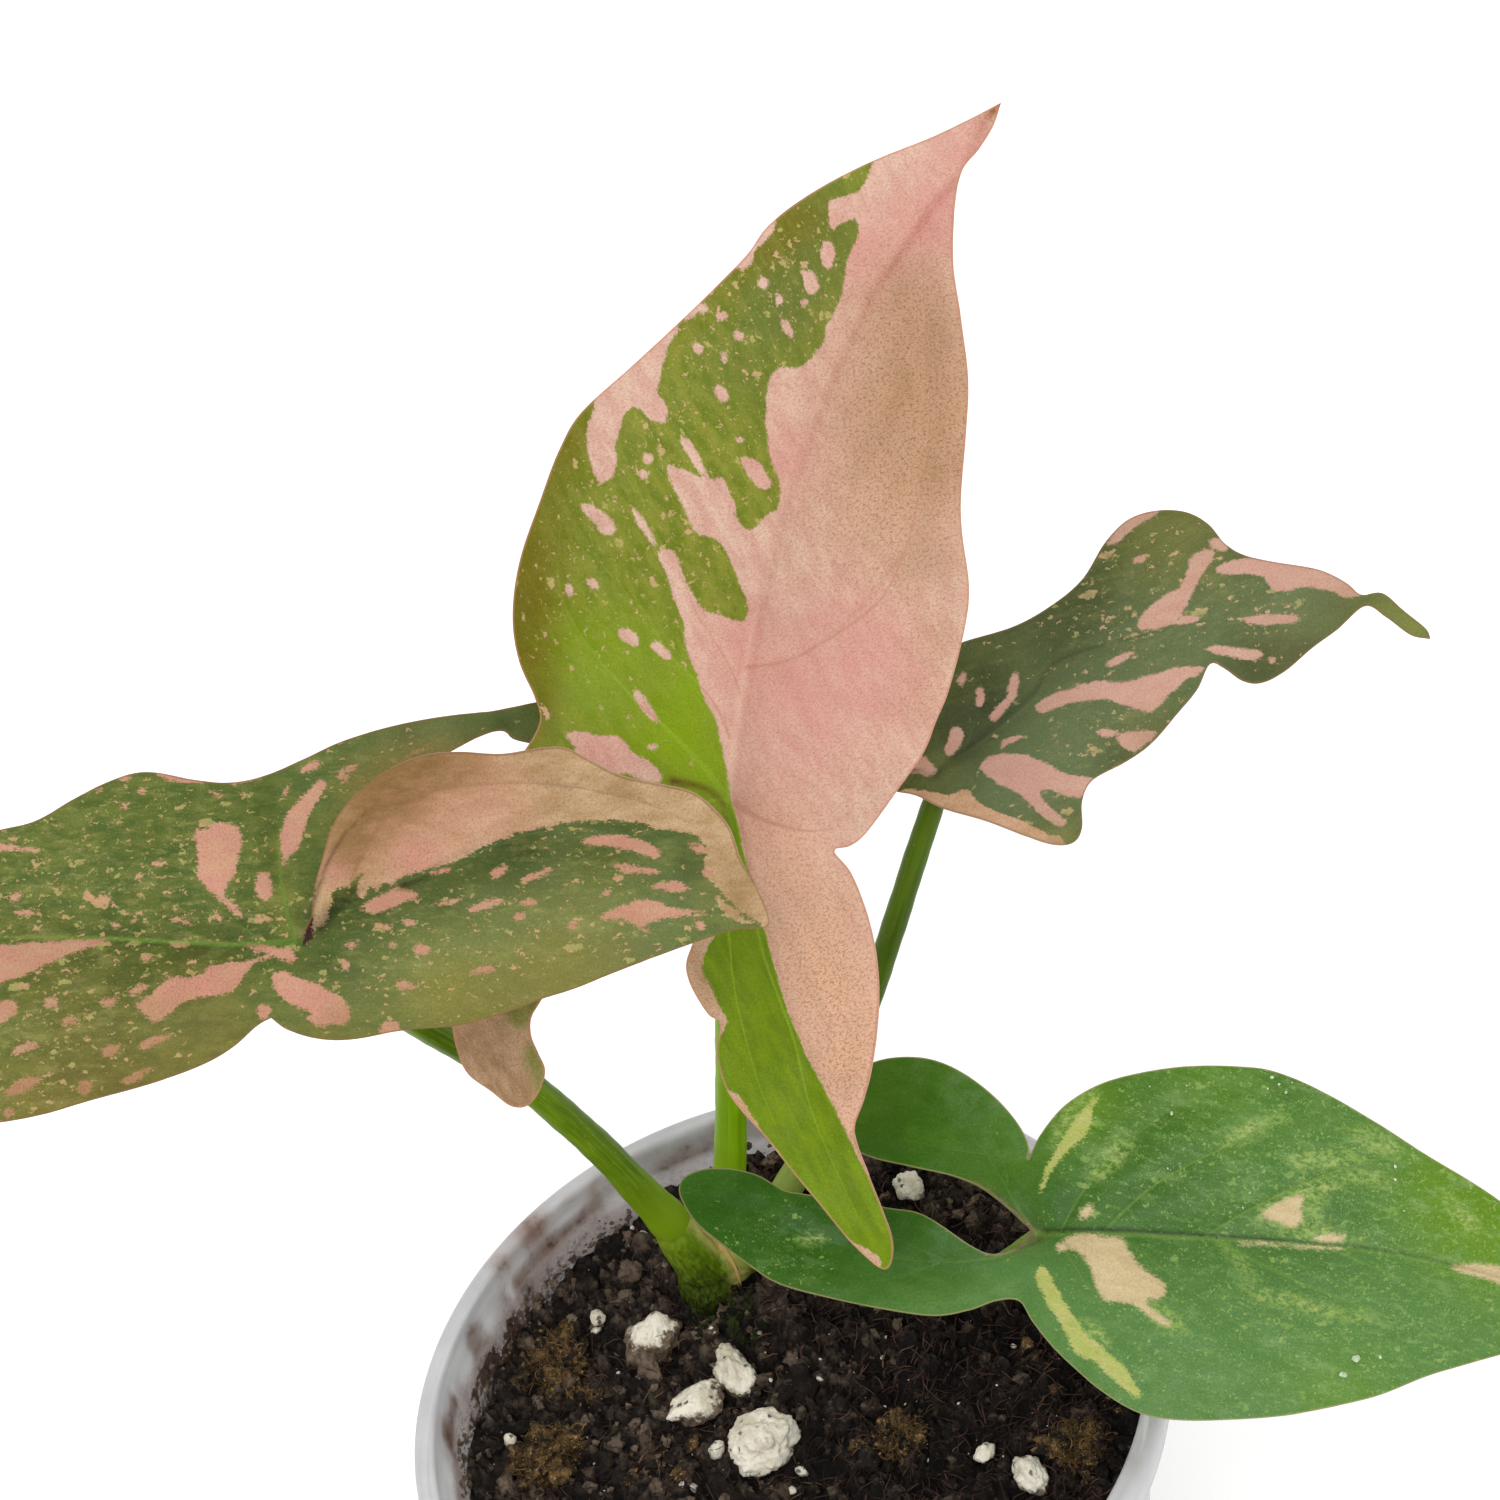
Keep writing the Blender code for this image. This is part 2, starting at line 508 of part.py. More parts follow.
def tube(points, radii, sides=10, flatten=1.0):
    """Closed tube with rounded ends along a smooth line (mm)."""
    p = np.asarray(points, float)
    r = np.asarray(radii, float)
    tangent = np.gradient(p, axis=0)
    tangent /= np.linalg.norm(tangent, axis=1)[:, None]
    side = np.cross(tangent[0], [0.0, 1.0, 0.0])
    side /= np.linalg.norm(side)
    verts, rings = [], []
    for i, (c, t) in enumerate(zip(p, tangent)):
        side = side - (side @ t) * t
        side /= np.linalg.norm(side)
        up = np.cross(t, side)
        ring = []
        for k in range(sides):
            a = 2 * math.pi * k / sides
            ring.append(len(verts))
            verts.append(c + r[i] * (math.cos(a) * side
                                     + flatten * math.sin(a) * up))
        rings.append(ring)
    faces = []
    for a, b in zip(rings[:-1], rings[1:]):
        for k in range(sides):
            faces.append((a[k], a[(k + 1) % sides], b[(k + 1) % sides], b[k]))
    for ring, c, t, rad in ((rings[0], p[0], -tangent[0], r[0]),
                            (rings[-1], p[-1], tangent[-1], r[-1])):
        tip = len(verts)
        verts.append(c + t * rad * 0.45)
        for k in range(sides):
            faces.append((ring[k], ring[(k + 1) % sides], tip))
    return verts, faces


def turned(name, profile, segments, mat):
    """Solid of revolution about Z from a closed (radius, z) profile in mm."""
    verts, rings = [], []
    for r, z in profile:
        if r < 1e-6:
            rings.append([len(verts)] * segments)
            verts.append((0.0, 0.0, z))
            continue
        rings.append(list(range(len(verts), len(verts) + segments)))
        for k in range(segments):
            a = 2 * math.pi * k / segments
            verts.append((r * math.cos(a), r * math.sin(a), z))
    faces = []
    closed = profile[0][0] > 1e-6
    pairs = list(zip(rings[:-1], rings[1:])) + ([(rings[-1], rings[0])] if closed else [])
    for a, b in pairs:
        for k in range(segments):
            j = (k + 1) % segments
            face = [a[k], a[j], b[j], b[k]]
            face = [v for i, v in enumerate(face) if v not in face[:i]]
            if len(face) > 2:
                faces.append(tuple(face))
    return new_object(name, verts, faces, mat)


def cut(target, cutter, name):
    """Leave an exact Boolean difference on the target."""
    cutter.hide_render = True
    cutter.display_type = "WIRE"
    mod = target.modifiers.new(name, "BOOLEAN")
    mod.operation = "DIFFERENCE"
    mod.object = cutter
    mod.solver = "EXACT"


def lump(name, centre, size, seed, mat, rough=0.18, detail=2, turn=0.0):
    """Irregular grain: an icosphere with broad dents, semi-axes size (mm)."""
    bm = bmesh.new()
    bmesh.ops.create_icosphere(bm, subdivisions=detail, radius=1.0)
    ct, st = math.cos(turn), math.sin(turn)
    verts = []
    for v in bm.verts:
        w = noise.noise(v.co * 1.3 + Vector((seed * 7.1, seed * 3.3, 0.5)))
        k = 1.0 + rough * w
        x, y, z = v.co.x * k * size[0], v.co.y * k * size[1], v.co.z * k * size[2]
        verts.append((centre[0] + ct * x - st * y, centre[1] + st * x + ct * y,
                      centre[2] + z))
    faces = [tuple(v.index for v in f.verts) for f in bm.faces]
    bm.free()
    return new_object(name, verts, faces, mat)


# ---------------------------------------------------------------------- build
for obj in list(bpy.data.objects):
    bpy.data.objects.remove(obj, do_unlink=True)

plastic = material("translucent_cup", (0.86, 0.87, 0.87), 0.35, alpha=0.55)
peat = material("peat_soil", (0.045, 0.028, 0.02), 0.95)
grain = material("perlite", (0.83, 0.82, 0.78), 0.9)
fibre = material("coir", (0.19, 0.11, 0.035), 0.95)
green_stem = material("petiole_green", (0.17, 0.30, 0.03), 0.4)
pale_root = material("root", (0.62, 0.52, 0.36), 0.7)
leaf_materials = {
    "leaf_upright": material("leaf_pink_green", (0.42, 0.30, 0.15), 0.45),
    "leaf_left": material("leaf_green_pink", (0.12, 0.17, 0.06), 0.45),
    "leaf_back_right": material("leaf_dark_pink", (0.09, 0.13, 0.06), 0.45),
    "leaf_low_right": material("leaf_fresh_green", (0.07, 0.20, 0.05), 0.4),
}


def wall_radius(z):
    """Outer radius of the cup wall at height z."""
    return BASE_RADIUS + (MOUTH_RADIUS + WALL - BASE_RADIUS) * z / POT_HEIGHT


# Cup: turned wall with a rolled rim and a flat base with drainage holes.
top = POT_HEIGHT
profile = [
    (0.0, 0.0), (BASE_RADIUS - 0.8, 0.0), (BASE_RADIUS, 0.8),
    (wall_radius(30), 30.0), (wall_radius(top - RIM_SKIRT - 2), top - RIM_SKIRT - 2),
    (wall_radius(top - 2.2), top - 2.2), (RIM_RADIUS - 1.0, top - 2.0),
    (RIM_RADIUS - 0.9, top - RIM_SKIRT), (RIM_RADIUS - 0.1, top - RIM_SKIRT),
    (RIM_RADIUS, top - 1.4), (RIM_RADIUS - 0.35, top - 0.45),
    (RIM_RADIUS - 1.0, top), (MOUTH_RADIUS + 0.5, top),
    (MOUTH_RADIUS, top - 0.5), (wall_radius(top - 2.2) - WALL, top - 2.2),
    (wall_radius(30) - WALL, 30.0),
    (BASE_RADIUS - WALL, BASE_THICKNESS + 0.8),
    (BASE_RADIUS - WALL - 0.8, BASE_THICKNESS), (0.0, BASE_THICKNESS)]
pot = turned("pot", profile, 56, plastic)
for k in range(DRAIN_HOLES):
    a = 2 * math.pi * (k + 0.5) / DRAIN_HOLES
    hole = bpy.data.meshes.new("drain_cut")
    bm = bmesh.new()
    bmesh.ops.create_cone(bm, cap_ends=True, segments=12,
                          radius1=DRAIN_HOLE_RADIUS * MM,
                          radius2=DRAIN_HOLE_RADIUS * MM, depth=8 * MM)
    bm.to_mesh(hole)
    bm.free()
    cutter = bpy.data.objects.new(f"drain_cut_{k + 1}", hole)
    cutter.location = (DRAIN_RING_RADIUS * MM * math.cos(a),
                       DRAIN_RING_RADIUS * MM * math.sin(a), BASE_THICKNESS * MM / 2)
    bpy.context.collection.objects.link(cutter)
    cut(pot, cutter, f"drain_{k + 1}")


def heap(x, y):
    """The soil is heaped up to 5 mm against the right and back of the cup."""
    t = min(1.0, max(0.0, (0.8 * x + 0.6 * y) / 36.0 + 0.1))
    return 5.0 * t * t * (3 - 2 * t)


def soil_height(x, y):
    """Height of the soil surface: mounded round the stem, lumpy elsewhere."""
    d = math.hypot(x - STEM_SPOT[0], y - STEM_SPOT[1])
    lumps = noise.noise(Vector((x * 0.11, y * 0.11, 2.7))) * 1.5
    edge = max(0.0, (math.hypot(x, y) - 31.0) / 6.0)
    return (SOIL_LEVEL + SOIL_MOUND * math.exp(-(d / 13.0) ** 2) + lumps
            + heap(x, y) - 0.8 * edge)


# Soil: fills the cup, its top is a lumpy surface of rings.
SEG, RINGS = 40, 9
verts, rings = [], []
centre_top = 0
verts.append((0.0, 0.0, soil_height(0, 0)))
for i in range(1, RINGS + 1):
    ring = []
    for k in range(SEG):
        a = 2 * math.pi * k / SEG
        z_edge = SOIL_LEVEL
        limit = wall_radius(z_edge - 2.5) - WALL - GAP
        r = limit * i / RINGS
        x, y = r * math.cos(a), r * math.sin(a)
        ring.append(len(verts))
        verts.append((x, y, soil_height(x, y)))
    rings.append(ring)
side_levels = [30.0, BASE_THICKNESS + 1.4]
for z in side_levels:
    ring = []
    for k in range(SEG):
        a = 2 * math.pi * k / SEG
        r = wall_radius(z) - WALL - GAP
        ring.append(len(verts))
        verts.append((r * math.cos(a), r * math.sin(a), z))
    rings.append(ring)
ring = []
for k in range(SEG):
    a = 2 * math.pi * k / SEG
    r = BASE_RADIUS - WALL - 0.8 - GAP
    ring.append(len(verts))
    verts.append((r * math.cos(a), r * math.sin(a), BASE_THICKNESS + GAP))
rings.append(ring)
bottom = len(verts)
verts.append((0.0, 0.0, BASE_THICKNESS + GAP))
faces = [(0, rings[0][k], rings[0][(k + 1) % SEG]) for k in range(SEG)]
for a, b in zip(rings[:-1], rings[1:]):
    for k in range(SEG):
        faces.append((a[k], b[k], b[(k + 1) % SEG], a[(k + 1) % SEG]))
faces += [(bottom, rings[-1][(k + 1) % SEG], rings[-1][k]) for k in range(SEG)]
soil = new_object("soil", verts, faces, peat)

# Stem: short, swollen where the sheathing petiole bases wrap it.
sx, sy = STEM_SPOT
STEM_LINE = [(sx + 0.6, sy - 0.4, 50.0), (sx + 0.3, sy - 0.2, 56.0),
             (sx, sy, 60.5), (sx - 0.1, sy + 0.2, 63.5), (sx, sy + 0.4, 66.5)]
STEM_RADII = [2.0, 2.6, 3.2, 3.6, 2.6]


def petiole_line(name):
    """Centre line and radius of a petiole (mm), ending under its blade."""
    leaf_name, sheath, course = PETIOLES[name]
    leaf = LEAVES[leaf_name]
    at = np.array([leaf["anchor"][:2]], float)
    end = on_leaf(leaf, at, leaf_height(leaf)(at))[0]
    end = end - unit(leaf["normal"]) * (LEAF_THICKNESS / 2 + GAP + 0.8)
    pts = [np.r_[spot(x, y, wy), r] for x, y, wy, r in course]
    line = resample(np.array(pts + [np.r_[end, 1.1]]), 1.0)
    along = np.r_[0, np.cumsum(np.linalg.norm(np.diff(line[:, :3], axis=0), axis=1))]
    return line, along, sheath


def pick(line, along, start, stop, step):
    """Part of a line between two arc lengths, evenly spaced."""
    n = max(2, int(round((stop - start) / step)) + 1)
    u = np.linspace(start, stop, n)
    return np.stack([np.interp(u, along, line[:, k]) for k in range(4)], 1)


def stem_solid(name, grow, mat):
    """Stem core joined with the sheathing bases of the petioles."""
    line = resample(STEM_LINE, 1.6)
    s = np.linspace(0, 1, len(line))
    rad = np.interp(s, np.linspace(0, 1, len(STEM_RADII)), STEM_RADII) + grow
    v, f = tube(line, rad, 14)
    core = new_object(name, v, f, mat)
    for petiole in PETIOLES:
        line, along, sheath = petiole_line(petiole)
        part = pick(line, along, 0.0, sheath, 2.0)
        v, f = tube(part[:, :3], part[:, 3] + grow, 10)
        limb = new_object(f"{name}_{petiole}", v, f, None)
        limb.hide_render = True
        limb.display_type = "WIRE"
        mod = core.modifiers.new(petiole, "BOOLEAN")
        mod.operation = "UNION"
        mod.object = limb
        mod.solver = "EXACT"
    return core


stem = stem_solid("stem", 0.0, green_stem)
stem_room = stem_solid("stem_room", GAP, None)
cut(soil, stem_room, "stem_room")

# Roots: a crown below the stem with tapering roots, buried in the soil.
ROOT_ENDS = [(14.0, 10.0, 12.0), (-18.0, 8.0, 14.0), (-6.0, -14.0, 10.0),
             (8.0, -4.0, 22.0), (-14.0, 20.0, 20.0)]


def root_union(name, grow, mat):
    crown = (sx + 0.8, sy - 0.8, 45.6)
    base = lump(name, crown, (3.0 + grow, 3.0 + grow, 3.2 + grow), 3, mat, 0.0, 2)
    for i, end in enumerate(ROOT_ENDS):
        c, e = np.array(crown), np.array(end)
        mid = (c + e) / 2 + np.array([3.0 * math.sin(i * 2.1),
                                      3.0 * math.cos(i * 1.7), 3.0])
        line = resample([c, mid, e], 4.0)
        v, f = tube(line, np.linspace(1.5, 0.7, len(line)) + grow, 8)
        limb = new_object(f"{name}_limb_{i + 1}", v, f, None)
        limb.hide_render = True
        limb.display_type = "WIRE"
        mod = base.modifiers.new(f"join_{i + 1}", "BOOLEAN")
        mod.operation = "UNION"
        mod.object = limb
        mod.solver = "EXACT"
    return base


roots = root_union("roots", 0.0, pale_root)
root_room = root_union("root_room", GAP, None)
cut(soil, root_room, "root_room")
# The crown's room opens upwards into the stem's room.
neck_v, neck_f = tube([(sx + 0.8, sy - 0.8, 46.5), (sx + 0.6, sy - 0.4, 52.0)],
                      [1.2, 1.2], 8)
neck = new_object("crown_neck", neck_v, neck_f, None)
cut(soil, neck, "crown_neck")

# Petioles: round green stalks that rise from the stem's sheaths.
for name in PETIOLES:
    line, along, sheath = petiole_line(name)
    part = pick(line, along, sheath - 1.0, along[-1], 5.0)
    v, f = tube(part[:, :3], part[:, 3], 10)
    stalk = new_object(name, v, f, green_stem)
    cut(stalk, stem_room, "stem_room")

# Leaves: thin closed blades.
for name, leaf in LEAVES.items():
    surface, faces = blade(leaf, LEAF_EDGE, LEAF_CELL)
    v, f = thicken(surface, faces, LEAF_THICKNESS)
    new_object(name, v, f, leaf_materials[name])

# Perlite grains and coir lumps lie in the soil surface where the sheet
# shows them: (sheet x, sheet y, width, depth, height in mm, turn).
GRAINS = [(655, 1341, 6.3, 5.2, 4.6, 0.3), (736, 1375, 3.8, 6.2, 4.0, 0.2),
          (700, 1405, 6.0, 4.0, 3.6, 0.5), (762, 1448, 7.4, 6.6, 5.4, 0.1),
          (911, 1189, 3.0, 3.6, 3.2, 0.4), (1032, 1478, 3.4, 4.4, 3.6, 0.2),
          (618, 1218, 2.8, 2.6, 2.2, 0.0), (985, 1454, 2.4, 1.8, 1.8, 0.6)]
LUMPS = [(532, 1362, 6.0, 7.6, 4.6, 0.2), (548, 1462, 7.0, 6.0, 4.8, 0.5),
         (1075, 1448, 5.4, 5.0, 3.6, 0.1), (900, 1440, 5.6, 4.6, 3.4, 0.8)]


def on_soil(x, y):
    """Where the sight line through sheet (x, y) meets the soil surface."""
    d = sight(np.array(x), np.array(y))
    z = SOIL_LEVEL
    for _ in range(6):
        p = EYE + d * (z - EYE[2]) / d[2]
        z = soil_height(p[0], p[1])
    return p


for kind, rows, mat in (("perlite", GRAINS, grain), ("coir", LUMPS, fibre)):
    for i, (x, y, w, dep, hgt, turn) in enumerate(rows):
        p = on_soil(x, y) + np.array([0.0, 0.0, 0.12 * hgt])
        semi = (w / 2, dep / 2, hgt / 2)
        reach = wall_radius(SOIL_LEVEL - 4) - WALL - 3 * GAP - 1.1 * max(w, dep) / 2
        out = math.hypot(p[0], p[1])
        if out > reach:
            p = np.array([p[0] * reach / out, p[1] * reach / out, p[2]])
        seed = i + (20 if kind == "coir" else 0)
        lump(f"{kind}_{i + 1}", p, semi, seed, mat, 0.16, 2, turn)
        room = lump(f"{kind}_room_{i + 1}", p, [s + GAP for s in semi], seed,
                    None, 0.16, 2, turn)
        cut(soil, room, f"{kind}_{i + 1}")
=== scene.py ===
"""Looks of the potted arrowhead vine (syngonium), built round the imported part.

Every leaf is laid out on one drawing sheet, in sheet units, x to the right and
y down.  The sheet is projected from one viewpoint on to each leaf's own tilted
plane, and a height over that plane gives folds, cupping and wavy margins, as in
the solid part.  Blotches, veins and tones are drawn on the same sheet, and they
reach the materials as distances stored at the mesh points.
"""
import math

import bmesh
import bpy
import numpy as np
from mathutils import Matrix, Vector, noise
from mathutils.geometry import delaunay_2d_cdt
from mathutils.bvhtree import BVHTree
from mathutils.kdtree import KDTree


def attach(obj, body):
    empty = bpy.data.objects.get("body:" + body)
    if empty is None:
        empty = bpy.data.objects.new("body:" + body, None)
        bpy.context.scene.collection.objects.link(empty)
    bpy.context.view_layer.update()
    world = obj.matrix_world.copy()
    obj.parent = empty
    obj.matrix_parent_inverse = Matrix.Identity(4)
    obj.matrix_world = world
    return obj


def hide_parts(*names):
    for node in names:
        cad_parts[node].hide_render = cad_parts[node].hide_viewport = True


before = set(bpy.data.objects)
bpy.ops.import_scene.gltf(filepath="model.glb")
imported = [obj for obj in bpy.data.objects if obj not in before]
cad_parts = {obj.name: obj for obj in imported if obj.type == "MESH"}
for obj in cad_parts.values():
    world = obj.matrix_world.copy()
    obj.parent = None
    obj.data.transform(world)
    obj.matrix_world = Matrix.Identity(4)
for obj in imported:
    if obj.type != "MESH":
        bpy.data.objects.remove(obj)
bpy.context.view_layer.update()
MM = 0.001
RNG = np.random.default_rng(7)

# ------------------------------------------------------------------ dimensions
POT_HEIGHT = 70.0
RIM_RADIUS = 40.0
MOUTH_RADIUS = 37.6
BASE_RADIUS = 29.0
WALL = 0.9
BASE_THICKNESS = 1.3
RIM_SKIRT = 4.0
DRAIN_HOLES = 8
DRAIN_HOLE_RADIUS = 2.6
DRAIN_RING_RADIUS = 20.0
SOIL_LEVEL = 59.5
SOIL_MOUND = 2.2
STEM_SPOT = (-4.6, 21.5)
LEAF_THICKNESS = 0.55
GAP = 0.35

# --------------------------------------------------------------- drawing sheet
EYE = np.array([0.0, -189.2, 301.1])
SHEET_RIGHT = np.array([0.95046, -0.23302, -0.20573])
SHEET_UP = np.array([0.30564, 0.57998, 0.75512])
SHEET_DEPTH = np.array([0.05664, 0.78059, -0.62247])
SHEET_SCALE = 2799.0
SHEET_CENTRE = 750.0


def sight(x, y):
    a = (np.asarray(x, float) - SHEET_CENTRE) / SHEET_SCALE
    b = (SHEET_CENTRE - np.asarray(y, float)) / SHEET_SCALE
    return SHEET_DEPTH + a[..., None] * SHEET_RIGHT + b[..., None] * SHEET_UP


def spot(x, y, world_y):
    d = sight(np.array(x), np.array(y))
    return EYE + d * (world_y - EYE[1]) / d[1]


def unit(v):
    v = np.asarray(v, float)
    return v / np.linalg.norm(v)


def smoothstep(lo, hi, x):
    t = np.clip((np.asarray(x, float) - lo) / (hi - lo), 0, 1)
    return t * t * (3 - 2 * t)


# ---------------------------------------------------------------------- curves
def resample(points, step):
    """Even points along a smooth (Catmull-Rom) curve through the given ones."""
    p = np.array(points, float)
    if len(p) > 2:
        ext = np.vstack([2 * p[0] - p[1], p, 2 * p[-1] - p[-2]])
        out = []
        for i in range(1, len(ext) - 2):
            p0, p1, p2, p3 = ext[i - 1], ext[i], ext[i + 1], ext[i + 2]
            for k in range(12):
                t = k / 12.0
                out.append(0.5 * (2 * p1 + (p2 - p0) * t
                                  + (2 * p0 - 5 * p1 + 4 * p2 - p3) * t * t
                                  + (3 * p1 - p0 - 3 * p2 + p3) * t ** 3))
        out.append(p[-1])
        p = np.array(out)
    s = np.r_[0, np.cumsum(np.linalg.norm(np.diff(p, axis=0), axis=1))]
    n = max(2, int(round(s[-1] / step)) + 1)
    u = np.linspace(0, s[-1], n)
    return np.stack([np.interp(u, s, p[:, k]) for k in range(p.shape[1])], 1)


def line_distance(q, line):
    """Distance of points q to a polyline, and how far along it (0 to 1)."""
    best = np.full(len(q), 1e9)
    along = np.zeros(len(q))
    seg = np.linalg.norm(np.diff(line, axis=0), axis=1)
    total = max(seg.sum(), 1e-9)
    start = 0.0
    for a, b, length in zip(line[:-1], line[1:], seg):
        t = np.clip(((q - a) @ (b - a)) / max(length * length, 1e-9), 0, 1)
        d = ((q - (a + t[:, None] * (b - a))) ** 2).sum(1)
        closer = d < best
        best = np.where(closer, d, best)
        along = np.where(closer, (start + t * length) / total, along)
        start += length
    return np.sqrt(best), along


def inside(poly, q):
    x, y = q[:, 0], q[:, 1]
    hit = np.zeros(len(q), bool)
    for (x0, y0), (x1, y1) in zip(poly, np.roll(poly, -1, axis=0)):
        if y0 == y1:
            continue
        cross = ((y0 > y) != (y1 > y))
        xi = x0 + (y - y0) * (x1 - x0) / (y1 - y0)
        hit ^= cross & (x < xi)
    return hit


def blotch_distance(q, shapes, far=40.0):
    """Signed distance to the union of drawn shapes: positive inside."""
    best = np.full(len(q), -far)
    for shape in shapes:
        ring = resample(list(shape) + [shape[0]], 5.0)[:-1]
        lo, hi = ring.min(0) - far, ring.max(0) + far
        near = np.where((q > lo).all(1) & (q < hi).all(1))[0]
        if not len(near):
            continue
        d, _ = line_distance(q[near], np.vstack([ring, ring[:1]]))
        d = np.where(inside(ring, q[near]), d, -d)
        best[near] = np.maximum(best[near], d)
    return best


def thin_plate(centres, values):
    """Smooth surface through scattered heights: returns a function."""
    c = np.array(centres, float) / 100.0
    v = np.array(values, float)

    def kernel(r2):
        return np.where(r2 > 1e-12, r2 * np.log(np.maximum(r2, 1e-12)), 0.0)

    n = len(c)
    d2 = ((c[:, None] - c[None]) ** 2).sum(-1)
    a = np.zeros((n + 3, n + 3))
    a[:n, :n] = kernel(d2) + 1e-4 * np.eye(n)
    a[:n, n] = 1
    a[:n, n + 1:] = c
    a[n, :n] = 1
    a[n + 1:, :n] = c.T
    w = np.linalg.solve(a, np.r_[v, 0, 0, 0])

    def height(q):
        q = np.asarray(q, float) / 100.0
        r2 = ((q[:, None] - c[None]) ** 2).sum(-1)
        return kernel(r2) @ w[:n] + w[n] + q @ w[n + 1:]

    return height


def wobble(q, scale, seed, octaves=2):
    """Smooth noise of sheet points, about -1 to 1."""
    out = np.zeros(len(q))
    for i, (x, y) in enumerate(q):
        p = Vector((x / scale, y / scale, seed))
        out[i] = noise.noise(p)
        if octaves > 1:
            out[i] += 0.5 * noise.noise(p * 2.1 + Vector((3.1, 1.7, 0)))
    return out


